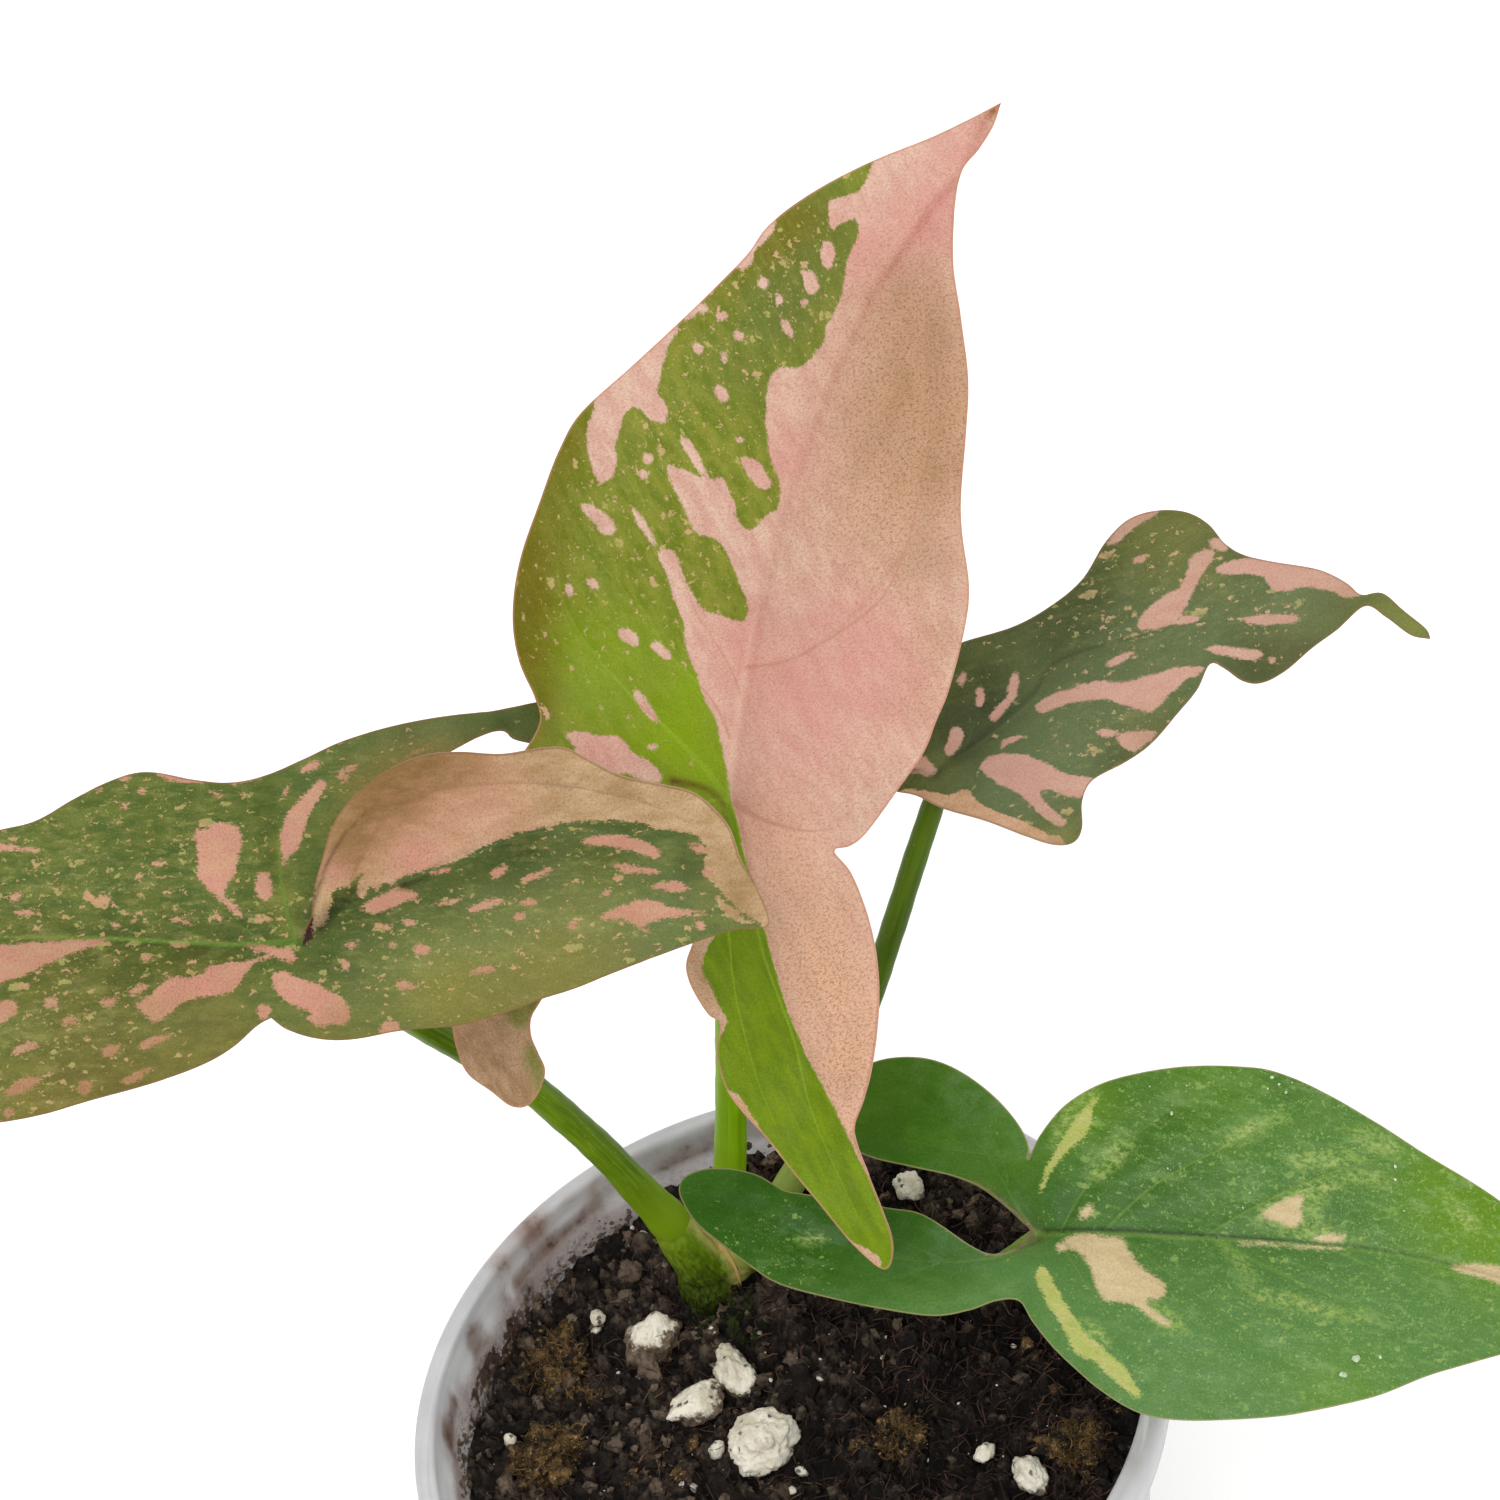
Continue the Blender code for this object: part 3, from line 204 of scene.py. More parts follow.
# --------------------------------------------------------------------- leaves
# anchor: where the blade joins its petiole, on the sheet, and its world Y.
# normal: the leaf plane's facing direction.  folds: (line, slope, rounding)
# valley folds.  heights: (x, y, mm over the leaf plane).  As in the solid part.
LEAVES = {
    "leaf_upright": {
        "anchor": (727, 797, 20.0),
        "normal": (-0.30, -0.80, 0.50),
        "sheets": [[
            (1001, 103), (993, 126), (978, 150), (962, 171), (955, 204), (953, 262),
            (960, 312), (968, 378), (966, 432), (961, 495), (962, 532), (969, 588),
            (964, 632), (949, 690), (936, 722), (924, 752), (900, 787), (867, 832),
            (850, 846), (834, 851), (851, 873), (867, 913), (877, 958), (879, 1004),
            (874, 1055), (865, 1097), (855, 1125), (857, 1144), (868, 1173),
            (881, 1205), (892, 1237), (893, 1256), (888, 1268), (877, 1266),
            (849, 1240), (820, 1205), (791, 1170), (766, 1138), (740, 1109),
            (724, 1084), (717, 1052), (720, 1024), (708, 1014), (692, 988),
            (686, 966), (692, 945), (704, 915), (711, 880), (712, 852), (709, 834),
            (702, 829), (692, 835), (676, 848), (648, 868), (608, 905), (570, 952),
            (541, 1000), (531, 1018), (531, 1036), (538, 1053), (545, 1071),
            (539, 1092), (527, 1106), (511, 1106), (492, 1092), (468, 1074),
            (457, 1050), (451, 1015), (452, 960), (462, 890), (482, 825),
            (506, 775), (529, 744), (540, 720), (535, 698), (519, 660), (513, 615),
            (520, 561), (541, 499), (560, 449), (582, 412), (632, 366), (690, 312),
            (744, 258), (769, 225), (810, 194), (868, 163), (939, 134)]],
        "folds": [[
            ([(727, 797), (730, 781), (739, 707), (755, 618), (780, 510), (808, 432),
              (846, 345), (877, 287), (935, 200), (964, 169), (1001, 103)], 0.036, 9),
            ([(727, 797), (738, 820), (750, 883), (774, 963), (807, 1055), (849, 1138),
              (885, 1218), (888, 1266)], 0.030, 8),
            ([(727, 797), (650, 830), (560, 900), (505, 985), (500, 1040),
              (515, 1100)], 0.025, 8)]],
        "heights": [[
            (727, 797, 0), (755, 618, 0.3), (808, 432, -0.5), (877, 287, -2.0),
            (935, 200, -3.8), (1001, 103, -6.5),
            (953, 262, 0.2), (968, 378, 2.5), (962, 532, 3.6), (964, 632, 3.6),
            (924, 752, 2.6), (867, 832, 2.2), (834, 851, 2.0),
            (877, 958, 2.6), (874, 1055, 3.0), (855, 1125, 3.4), (892, 1240, 4.0),
            (888, 1266, 3.6), (774, 963, 0.4), (807, 1055, 0.6), (849, 1138, 2.0),
            (820, 1205, 3.6), (766, 1138, 3.4), (717, 1052, 3.2), (686, 966, 2.4),
            (716, 880, 1.2), (560, 900, 3.0), (505, 985, 5.6), (500, 1040, 7.0),
            (452, 960, 8.0), (482, 825, 7.6), (506, 775, 7.6), (541, 1000, 7.4), (608, 905, 4.2),
            (515, 1100, 8.6), (652, 858, 2.4), (533, 735, 7.0), (519, 660, 3.6), (513, 615, 3.0),
            (545, 600, 4.4), (541, 499, 2.6), (575, 490, 4.4), (582, 412, 3.6),
            (632, 366, 3.8), (690, 312, 3.0), (769, 225, 0.8), (868, 163, -2.6),
            (939, 134, -4.9), (640, 600, 3.6), (700, 450, 3.2), (860, 600, 3.4)]],
    },
    "leaf_left": {
        "anchor": (295, 942, 7.0),
        "normal": (-0.02, -0.52, 0.85),
        "seam": [(304, 932), (297, 950), (289, 972), (279, 996), (271, 1018)],
        "sheets": [[
            (271, 1018), (257, 1026), (232, 1048), (200, 1066), (150, 1084),
            (89, 1101), (36, 1116), (-20, 1124), (-80, 1121), (-140, 1105),
            (-195, 1073), (-240, 1030), (-274, 982), (-300, 938), (-262, 905),
            (-215, 882), (-160, 866), (-80, 848), (0, 830), (36, 821), (71, 801),
            (104, 784), (132, 774), (157, 773), (193, 780), (229, 783), (264, 776),
            (304, 759), (343, 741), (393, 726), (446, 716), (493, 711), (532, 703),
            (556, 699), (574, 706), (578, 722), (568, 738), (552, 745), (536, 744),
            (514, 739), (504, 731), (486, 734), (461, 746), (430, 764), (392, 792),
            (358, 832), (334, 876), (316, 912), (304, 932)],
            [(304, 932), (311, 915), (314, 887), (322, 860), (331, 829), (346, 805),
             (364, 788), (390, 769), (425, 755), (460, 752), (502, 754), (541, 748),
             (566, 748), (587, 759), (622, 776), (664, 785), (692, 792), (713, 808),
             (730, 829), (741, 860), (759, 892), (769, 925), (741, 929), (720, 934),
             (671, 951), (618, 971), (576, 988), (541, 999), (510, 1011), (460, 1025),
             (404, 1030), (355, 1039), (320, 1039), (288, 1030), (271, 1018)]],
        "folds": [[
            ([(295, 942), (250, 945), (200, 944), (107, 939), (36, 938), (-100, 936),
              (-300, 938)], 0.030, 8),
            ([(295, 940), (284, 894), (280, 859), (285, 816), (330, 770), (420, 735),
              (520, 722)], 0.018, 8)],
            [([(297, 942), (340, 918), (400, 885), (470, 858), (540, 832), (620, 828),
               (690, 850), (745, 900)], 0.034, 6)]],
        "heights": [[
            (295, 942, 0), (200, 944, 0.6), (107, 939, 1.0), (0, 938, 0.8),
            (-150, 936, -1.5), (-300, 938, -6.0), (157, 773, 1.4), (229, 783, 0.2),
            (104, 784, 2.2), (36, 821, 2.6), (-80, 848, 1.6), (-215, 882, -2.4),
            (304, 759, 0.4), (393, 726, -1.6), (446, 716, -4.2), (493, 711, -7.4),
            (532, 703, -10.4), (576, 712, -13.0), (552, 745, -12.2),
            (280, 859, -0.2), (285, 816, -0.2), (420, 738, -3.8), (520, 722, -10.0),
            (504, 731, -8.6), (461, 746, -5.0), (400, 785, -1.6), (350, 845, 0.2),
            (316, 912, 0.4), (240, 850, 2.0), (120, 860, 3.0), (0, 880, 2.4),
            (257, 1026, 0.6), (150, 1084, 0.0), (36, 1116, -1.2), (-80, 1121, -2.6),
            (-195, 1073, -4.0), (120, 1010, 2.0), (0, 1020, 1.6), (-120, 1030, 0.0),
            (271, 1018, 0.4), (290, 985, 0.6), (240, 990, 1.4)],
            [(314, 887, 2.2), (331, 829, 4.6), (390, 769, 6.8), (460, 752, 8.0),
             (541, 748, 8.4), (622, 776, 7.6), (692, 792, 6.6), (741, 860, 4.6),
             (769, 925, 1.8), (340, 918, 0.6), (400, 885, 1.2), (470, 858, 2.0),
             (540, 832, 2.6), (620, 828, 2.8), (690, 850, 2.8), (745, 900, 2.2),
             (420, 950, 3.4), (520, 920, 4.6), (620, 900, 4.8), (320, 1039, -0.4),
             (404, 1030, -0.4), (460, 1025, 0.0), (541, 999, 0.6), (618, 971, 1.6),
             (720, 934, 1.8), (350, 985, 1.8)]],
    },
    "leaf_back_right": {
        "anchor": (940, 775, 36.0),
        "normal": (0.06, -0.36, 0.93),
        "sheets": [[
            (1430, 639), (1411, 635), (1386, 617), (1365, 606), (1338, 629),
            (1312, 648), (1285, 671), (1262, 683), (1243, 681), (1224, 668),
            (1210, 664), (1197, 690), (1178, 713), (1151, 744), (1124, 763),
            (1093, 780), (1082, 801), (1082, 828), (1074, 842), (1055, 845),
            (1025, 836), (986, 821), (944, 809), (917, 796), (898, 792), (880, 788),
            (868, 779), (870, 771), (878, 766), (883, 760), (885, 754), (888, 748),
            (893, 742), (884, 716), (896, 684), (925, 660), (961, 643), (1013, 627),
            (1051, 606), (1082, 580), (1105, 543), (1128, 520), (1155, 511),
            (1185, 512), (1208, 524), (1224, 543), (1243, 555), (1273, 562),
            (1319, 570), (1346, 583), (1361, 595), (1382, 593), (1403, 610),
            (1426, 629)]],
        "folds": [[
            ([(940, 775), (986, 740), (1032, 702), (1060, 665), (1135, 641),
              (1204, 625), (1281, 614), (1365, 600), (1430, 637)], 0.030, 8),
            ([(940, 775), (985, 790), (1030, 808), (1070, 838)], 0.014, 8)]],
        "heights": [[
            (940, 775, 0), (986, 740, 0.4), (1060, 665, 0.6), (1135, 641, 1.2),
            (1204, 625, 1.4), (1281, 614, 0.6), (1365, 600, -1.6), (1430, 637, -6.0),
            (961, 643, 1.0), (1051, 606, 0.0), (1105, 543, 2.6), (1155, 511, 5.0),
            (1208, 524, 4.2), (1243, 555, 1.4), (1319, 570, 0.8), (1361, 595, -1.2),
            (1338, 629, -2.4), (1285, 671, -3.0), (1243, 681, -1.0), (1210, 664, 0.8),
            (1178, 713, -1.4), (1124, 763, -2.0), (1082, 801, -0.6),
            (1074, 842, -1.6), (1025, 836, -2.0), (944, 809, -1.4), (868, 779, -1.4),
            (884, 716, 0.4), (1120, 590, 2.6), (1100, 720, 0.6)]],
    },
    "leaf_low_right": {
        "anchor": (1037, 1234, -6.0),
        "normal": (-0.10, -0.42, 0.90),
        "sheets": [[
            (1640, 1322), (1604, 1330), (1552, 1342), (1500, 1355), (1461, 1366),
            (1425, 1377), (1380, 1395), (1336, 1406), (1282, 1416), (1224, 1420),
            (1175, 1420), (1139, 1413), (1104, 1393), (1072, 1366), (1050, 1344),
            (1032, 1321), (1019, 1301), (996, 1301), (970, 1310), (934, 1316),
            (882, 1309), (829, 1298), (779, 1284), (750, 1266), (721, 1244),
            (696, 1223), (682, 1201), (679, 1187), (686, 1176), (704, 1169),
            (732, 1169), (757, 1175), (775, 1185), (786, 1191), (804, 1194),
            (850, 1200), (889, 1208), (916, 1212), (938, 1223), (970, 1245),
            (992, 1254), (1014, 1248), (1030, 1233), (1023, 1223), (1001, 1203),
            (979, 1187), (952, 1176), (912, 1167), (867, 1156), (840, 1138),
            (830, 1108), (846, 1078), (874, 1062), (903, 1057), (934, 1060),
            (965, 1074), (996, 1098), (1019, 1125), (1029, 1147), (1028, 1160),
            (1041, 1134), (1068, 1103), (1112, 1080), (1180, 1067), (1246, 1067),
            (1282, 1074), (1327, 1094), (1380, 1125), (1425, 1154), (1470, 1181),
            (1500, 1201), (1552, 1238), (1602, 1282)]],
        "folds": [[
            ([(1037, 1234), (1112, 1234), (1202, 1239), (1291, 1245), (1380, 1254),
              (1447, 1268), (1550, 1296), (1640, 1322)], 0.024, 8),
            ([(1037, 1234), (1010, 1190), (975, 1140), (925, 1110), (860, 1100)],
             0.016, 8),
            ([(1037, 1240), (985, 1276), (920, 1270), (830, 1250), (740, 1215),
              (695, 1195)], 0.018, 8)]],
        "heights": [[
            (1037, 1234, 0), (1202, 1239, 0.8), (1380, 1254, 0.2), (1500, 1283, -1.6),
            (1640, 1322, -5.0), (1112, 1080, 2.0), (1246, 1067, 2.6),
            (1380, 1125, 1.2), (1500, 1201, -1.6), (1602, 1282, -4.2),
            (1175, 1420, 1.4), (1282, 1416, 1.8), (1425, 1377, 0.6),
            (1552, 1342, -2.6), (1050, 1344, 0.8), (1019, 1301, 0.4),
            (934, 1316, 0.2), (829, 1298, 0.0), (721, 1244, -0.8), (679, 1187, -1.6),
            (732, 1169, -1.0), (804, 1194, 0.0), (916, 1212, 0.6), (992, 1254, 0.6),
            (830, 1250, -0.6), (920, 1270, -0.3), (1028, 1155, 0.8), (965, 1074, 1.2),
            (903, 1057, 0.6), (846, 1078, -0.8), (840, 1138, -1.0), (925, 1110, 0.0),
            (952, 1176, 0.8), (1200, 1150, 2.6), (1200, 1330, 2.2)]],
    },
}

PETIOLES = {
    # leaf, length of the sheathing base that is one with the stem (mm), and
    # (sheet x, sheet y, world Y mm, radius mm) from the stem to the blade
    "petiole_upright": ("leaf_upright", 9.0, [
        (716, 1262, 21.6, 2.8), (722, 1240, 22.0, 2.5), (727, 1210, 22.6, 2.1),
        (730, 1160, 23.4, 1.8), (731, 1090, 24.2, 1.7), (730, 1000, 24.6, 1.6),
        (729, 900, 24.2, 1.5), (729, 850, 23.4, 1.4)]),
    "petiole_left": ("leaf_left", 8.0, [
        (705, 1264, 20.6, 3.0), (690, 1245, 20.4, 2.8), (664, 1215, 20.6, 2.2),
        (637, 1187, 20.9, 1.9), (607, 1155, 21.2, 1.75), (570, 1121, 21.4, 1.7),
        (520, 1080, 21.0, 1.65), (450, 1040, 19.2, 1.55), (380, 1000, 15.6, 1.45),
        (330, 970, 11.6, 1.3)]),
    "petiole_back_right": ("leaf_back_right", 9.0, [
        (735, 1256, 23.0, 2.6), (755, 1232, 24.6, 2.2), (778, 1202, 26.0, 1.9),
        (800, 1165, 27.0, 1.65), (840, 1080, 29.0, 1.5), (874, 985, 31.0, 1.4),
        (897, 916, 32.6, 1.35), (916, 856, 34.2, 1.3), (931, 811, 35.6, 1.25)]),
    "petiole_low_right": ("leaf_low_right", 8.0, [
        (728, 1262, 20.2, 2.6), (750, 1250, 18.4, 2.2), (792, 1252, 14.8, 1.8),
        (854, 1266, 9.2, 1.6), (930, 1279, 2.6, 1.45), (990, 1271, -2.0, 1.3)]),
}

# -------------------------------------------------------------------- markings
# veins, one list per sheet: (line, half width in sheet units, strength); the
#   first ones are the midrib and the lobe veins.
# marks: drawn shapes on the sheet, by layer.
# tones: soft dabs (x, y, radius, strength), by tone.
MARKINGS = {
    "leaf_upright": {
        "main": [[
            ([(727, 797), (730, 781), (739, 707), (755, 618), (780, 510), (808, 432),
              (846, 345), (877, 287), (935, 200), (964, 169), (1001, 103)], 5.0, 1.0),
            ([(727, 797), (738, 820), (750, 883), (766, 931), (774, 963), (788, 1010),
              (807, 1055), (830, 1097), (849, 1138), (871, 1183), (885, 1218),
              (889, 1262)], 3.4, 0.8),
            ([(727, 797), (690, 806), (650, 830), (560, 900), (505, 985), (500, 1040),
              (515, 1100)], 3.2, 0.7)]],
        "side": [[
            ([(722, 790), (700, 762), (660, 722), (640, 705), (610, 672)], 3.0, 0.9),
            ([(610, 672), (585, 640), (568, 610), (560, 580), (560, 545), (567, 505),
              (580, 475), (602, 440), (640, 400)], 2.0, 0.40),
            ([(729, 737), (715, 705), (690, 675), (668, 653), (650, 620), (625, 590),
              (600, 560), (588, 525)], 2.0, 0.6),
            ([(741, 693), (724, 657), (700, 620), (690, 597), (678, 570), (655, 530),
              (640, 492), (628, 455)], 2.0, 0.55),
            ([(757, 608), (735, 572), (712, 540), (690, 505), (668, 470), (650, 430),
              (640, 392)], 1.8, 0.4),
            ([(775, 530), (757, 500), (740, 470), (715, 430), (700, 400), (690, 360),
              (688, 328)], 1.8, 0.4),
            ([(800, 455), (785, 420), (765, 380), (750, 340), (745, 300),
              (750, 270)], 1.7, 0.35),
            ([(833, 372), (820, 340), (808, 300), (800, 260), (803, 225)], 1.6, 0.3),
            ([(868, 302), (860, 270), (855, 235), (860, 200), (872, 178)], 1.5, 0.3),
            ([(736, 803), (755, 815), (771, 822), (806, 830), (833, 828)], 3.0, 1.0),
            ([(732, 775), (765, 757), (820, 738), (870, 712), (905, 675),
              (930, 630), (942, 575)], 1.6, 0.25),
            ([(745, 668), (790, 660), (840, 632), (880, 600), (902, 560), (915, 515),
              (925, 470), (930, 430), (931, 395), (925, 350)], 2.2, 0.75),
            ([(762, 598), (795, 588), (835, 558), (870, 518), (895, 478)], 1.5, 0.3),
            ([(783, 503), (815, 488), (850, 458), (880, 418), (902, 375)], 1.5, 0.3),
            ([(813, 423), (845, 403), (880, 368), (905, 328), (918, 288)], 1.5, 0.3),
            ([(852, 336), (880, 316), (905, 283), (925, 248)], 1.4, 0.25),
            ([(887, 272), (910, 248), (932, 215)], 1.3, 0.25),
            ([(727, 870), (729, 934), (737, 1004), (756, 1077), (774, 1122)], 2.0, 0.8),
            ([(748, 880), (763, 953), (791, 1033), (817, 1125), (858, 1216)], 2.0, 0.8),
            ([(766, 860), (795, 905), (822, 955), (838, 1000), (846, 1048),
              (846, 1095)], 1.4, 0.35),
            ([(757, 900), (785, 940), (805, 985), (826, 1035), (838, 1080)], 1.4, 0.3),
            ([(640, 838), (600, 895), (560, 950), (530, 1005), (522, 1050)], 1.5, 0.4),
            ([(540, 925), (500, 960), (478, 1010), (478, 1060)], 1.5, 0.4),
            ([(507, 985), (488, 1030), (492, 1070), (505, 1095)], 1.4, 0.4)]],
        "marks": {
            "blush": [
                [(880, 140), (872, 163), (868, 175), (863, 184), (856, 192), (846, 195),
                 (838, 198), (830, 200), (827, 208), (828, 218), (829, 228), (832, 232),
                 (838, 226), (847, 222), (854, 220), (858, 226), (857, 238), (851, 248),
                 (846, 258), (844, 270), (842, 285), (838, 300), (832, 315), (826, 325),
                 (823, 340), (816, 350), (809, 358), (800, 367), (790, 367), (778, 367),
                 (772, 373), (768, 382), (765, 400), (764, 420), (766, 440), (770, 460),
                 (777, 478), (779, 495), (777, 508), (770, 511), (762, 518), (755, 526),
                 (745, 528), (737, 518), (730, 505), (722, 490), (712, 479), (702, 476),
                 (690, 472), (678, 467), (668, 464), (666, 472), (672, 487), (680, 502),
                 (686, 515), (692, 528), (700, 536), (712, 537), (721, 545), (728, 556),
                 (735, 573), (742, 592), (747, 606), (744, 620), (736, 620), (724, 616),
                 (712, 612), (704, 610), (696, 597), (688, 583), (681, 568), (677, 553),
                 (668, 548), (656, 549), (660, 562), (668, 578), (671, 595), (678, 610),
                 (683, 625), (684, 642), (690, 660), (697, 678), (703, 698), (712, 714),
                 (718, 735), (723, 755), (727, 775), (731, 797), (738, 822), (744, 850),
                 (752, 883), (766, 931), (774, 963), (788, 1010), (807, 1055),
                 (830, 1097), (849, 1138), (871, 1183), (886, 1218), (896, 1240),
                 (925, 1260), (935, 1000), (1000, 850), (1040, 600), (1040, 90),
                 (1000, 80), (930, 110)],
                [(690, 300), (680, 318), (678, 332), (668, 347), (665, 360), (661, 378),
                 (659, 392), (666, 402), (668, 420), (660, 423), (650, 420), (642, 411),
                 (632, 408), (625, 418), (620, 432), (617, 446), (618, 460), (614, 474),
                 (606, 483), (598, 482), (593, 470), (589, 455), (587, 440), (588, 426),
                 (594, 411), (596, 396), (628, 352), (672, 306)],
                [(772, 212), (777, 224), (767, 240), (757, 250), (752, 264), (744, 269),
                 (731, 270), (720, 276), (724, 262), (748, 236)],
                [(692, 300), (706, 303), (699, 312), (689, 320), (682, 318)],
                [(583, 503), (592, 503), (602, 509), (611, 518), (617, 530), (611, 536),
                 (603, 533), (592, 521), (584, 512)],
                [(738, 457), (750, 457), (760, 462), (767, 474), (772, 486), (760, 489),
                 (752, 480), (743, 468)],
                [(712, 387), (722, 385), (729, 392), (728, 402), (720, 402), (716, 395)],
                [(800, 271), (812, 270), (818, 280), (820, 290), (811, 295), (803, 289),
                 (802, 279)],
                [(822, 240), (832, 243), (835, 255), (830, 268), (822, 266), (820, 254)],
                [(680, 435), (690, 440), (699, 454), (708, 476), (700, 474), (690, 459),
                 (680, 443)],
                [(715, 475), (723, 478), (731, 494), (737, 512), (729, 508), (720, 494)],
                [(618, 628), (632, 629), (639, 639), (637, 648), (626, 643), (618, 636)],
                [(634, 689), (641, 690), (648, 700), (655, 712), (661, 723), (652, 721),
                 (643, 711), (635, 700)],
                [(652, 639), (662, 643), (673, 655), (668, 661), (658, 655), (650, 646)],
                [(586, 577), (596, 579), (599, 589), (590, 589)],
                [(563, 732), (580, 731), (600, 735), (615, 735), (626, 742), (633, 752),
                 (645, 757), (655, 764), (663, 779), (655, 782), (640, 779), (620, 773),
                 (605, 790), (590, 790), (570, 760), (576, 748), (568, 741)],
                [(646, 745), (656, 742), (658, 749), (649, 751)],
                [(643, 453), (654, 454), (652, 464), (645, 462)],
                [(716, 311), (728, 312), (726, 321), (717, 321)],
                [(734, 330), (745, 333), (741, 342), (734, 339)],
                [(780, 313), (788, 322), (794, 337), (786, 335), (781, 324)],
                [(692, 342), (702, 344), (702, 354), (695, 353)],
                [(631, 505), (640, 514), (650, 529), (659, 547), (650, 543), (640, 528),
                 (632, 514)],
                [(760, 275), (770, 280), (766, 290), (758, 285)],
                [(775, 292), (784, 296), (781, 305), (774, 302)],
                [(800, 300), (808, 298), (806, 308), (800, 307)],
                [(700, 305), (709, 308), (704, 316)],
                [(720, 350), (728, 353), (726, 365), (721, 362)],
                [(735, 437), (743, 436), (744, 443), (736, 443)],
                [(566, 583), (574, 585), (573, 597), (566, 593)],
                [(640, 468), (650, 472), (646, 480), (640, 477)],
                [(722, 744), (730, 742), (733, 752), (727, 760)]],
            # lime: the green inner half of the lower lobe; its bright yellow-green is partly
            # painted light shining through the blade.
            "lime": [
                [(729, 800), (740, 835), (750, 883), (766, 931), (774, 963), (788, 1010),
                 (807, 1055), (830, 1097), (849, 1138), (871, 1183), (886, 1218),
                 (894, 1252), (885, 1275), (840, 1240), (790, 1185), (745, 1125),
                 (715, 1080), (710, 1040), (722, 1025), (716, 1000), (712, 985),
                 (703, 968), (706, 950), (712, 930), (718, 890), (722, 840)],
                ],
            "moss": [
                [(497, 1000), (515, 994), (545, 990), (548, 1008), (536, 1018),
                 (524, 1030), (512, 1026), (506, 1014)],
                [(528, 1046), (536, 1040), (550, 1042), (556, 1060), (556, 1080),
                 (548, 1092), (536, 1094), (533, 1082), (528, 1070), (524, 1058)]],
            "tan": [
                [(440, 980), (470, 990), (500, 985), (530, 975), (560, 960), (560, 1000),
                 (556, 1040), (560, 1090), (540, 1112), (524, 1124), (500, 1120),
                 (470, 1100), (440, 1050)],
                [(720, 925), (712, 940), (704, 955), (702, 970), (709, 985), (716, 1000),
                 (726, 1018), (724, 1030), (717, 1040), (700, 1040), (670, 1000),
                 (670, 940), (700, 915)],
                [(722, 1090), (732, 1091), (743, 1103), (753, 1118), (765, 1136),
                 (779, 1154), (794, 1174), (815, 1200), (839, 1229), (855, 1243),
                 (870, 1249), (880, 1258), (880, 1268), (868, 1268), (845, 1246),
                 (816, 1212), (786, 1174), (760, 1140), (738, 1114)],
                [(985, 104), (1006, 96), (1004, 112), (994, 116)]],
        },
        "tones": {
            # name: (x, y, radius, strength)
            # dark: the olive band along the left margin is painted shade where the blade bends
            # away.
            "dark": [(520, 520, 34, 0.9), (528, 560, 34, 1.0), (525, 610, 34, 1.0),
                     (528, 660, 30, 0.9), (540, 700, 26, 0.7), (545, 475, 26, 0.7),
                     (725, 268, 26, 0.4), (815, 220, 26, 0.4), (690, 290, 26, 0.3)],
            # glow: partly a painted sheen on the lower left, partly the leaf's own lighter
            # green.
            "glow": [(620, 660, 60, 0.6), (680, 740, 45, 0.9), (585, 700, 40, 0.4),
                     (690, 690, 30, 0.8), (560, 640, 40, 0.5), (640, 740, 30, 0.4),
                     (705, 770, 26, 1.0), (735, 840, 30, 0.9), (835, 1190, 50, 0.35)],
            "warm": [(945, 400, 60, 0.75), (950, 480, 50, 0.55), (900, 350, 60, 0.45),
                     (925, 300, 45, 0.4), (880, 500, 60, 0.4), (930, 560, 40, 0.3),
                     (870, 790, 50, 0.2), (830, 980, 50, 0.5), (850, 900, 40, 0.3),
                     (470, 1060, 60, 0.5), (690, 985, 40, 0.5), (850, 1060, 40, 0.4)],
            "rose": [(800, 700, 80, 0.8), (860, 640, 50, 0.8), (760, 820, 40, 0.7),
                     (780, 460, 40, 0.6), (860, 250, 40, 0.7), (960, 150, 40, 0.6),
                     (945, 215, 40, 0.7), (600, 750, 40, 0.6), (740, 640, 40, 0.6),
                     (915, 230, 30, 0.8), (900, 690, 40, 0.5)],
            "speck": [(700, 380, 160, 0.7), (640, 520, 110, 0.6), (780, 270, 90, 0.8),
                      (590, 620, 80, 0.4), (720, 580, 40, 0.4)],
        },
        "grain": 0.80,
    },
    "leaf_left": {
        "main": [[
            ([(295, 942), (250, 945), (200, 944), (107, 939), (36, 938), (-100, 936),
              (-300, 938)], 4.2, 1.0),
            ([(295, 942), (284, 900), (279, 860), (278, 820), (277, 782)], 4.2, 0.9),
            ([(288, 905), (296, 860), (312, 815), (340, 778), (385, 752), (440, 734),
              (520, 718), (570, 716)], 2.6, 0.4)],
            [([(297, 942), (340, 918), (400, 885), (470, 858), (540, 832), (620, 828),
               (690, 850), (745, 900)], 2.6, 0.5)]],
        "side": [[
            ([(285, 930), (255, 890), (240, 850), (235, 812), (240, 786)], 1.6, 0.5),
            ([(262, 941), (215, 905), (180, 870), (160, 830), (155, 797)], 1.6, 0.5),
            ([(215, 942), (165, 920), (120, 897), (90, 862), (75, 828)], 1.6, 0.5),
            ([(150, 939), (100, 915), (50, 890), (10, 862), (-20, 845)], 1.5, 0.4),
            ([(80, 938), (30, 915), (-20, 890), (-70, 866)], 1.5, 0.4),
            ([(0, 938), (-50, 915), (-110, 888), (-150, 875)], 1.5, 0.4),
            ([(-90, 936), (-140, 915), (-190, 895)], 1.4, 0.4),
            ([(272, 952), (240, 975), (215, 1005), (205, 1040), (200, 1060)], 1.6, 0.4),
            ([(235, 947), (190, 975), (150, 1010), (125, 1050), (110, 1085)], 1.6, 0.4),
            ([(170, 944), (120, 970), (70, 1005), (30, 1045), (5, 1085)], 1.5, 0.4),
            ([(100, 941), (50, 965), (-10, 1000), (-60, 1045), (-90, 1085)], 1.5, 0.4),
            ([(20, 939), (-40, 965), (-100, 1000), (-150, 1050)], 1.5, 0.4),
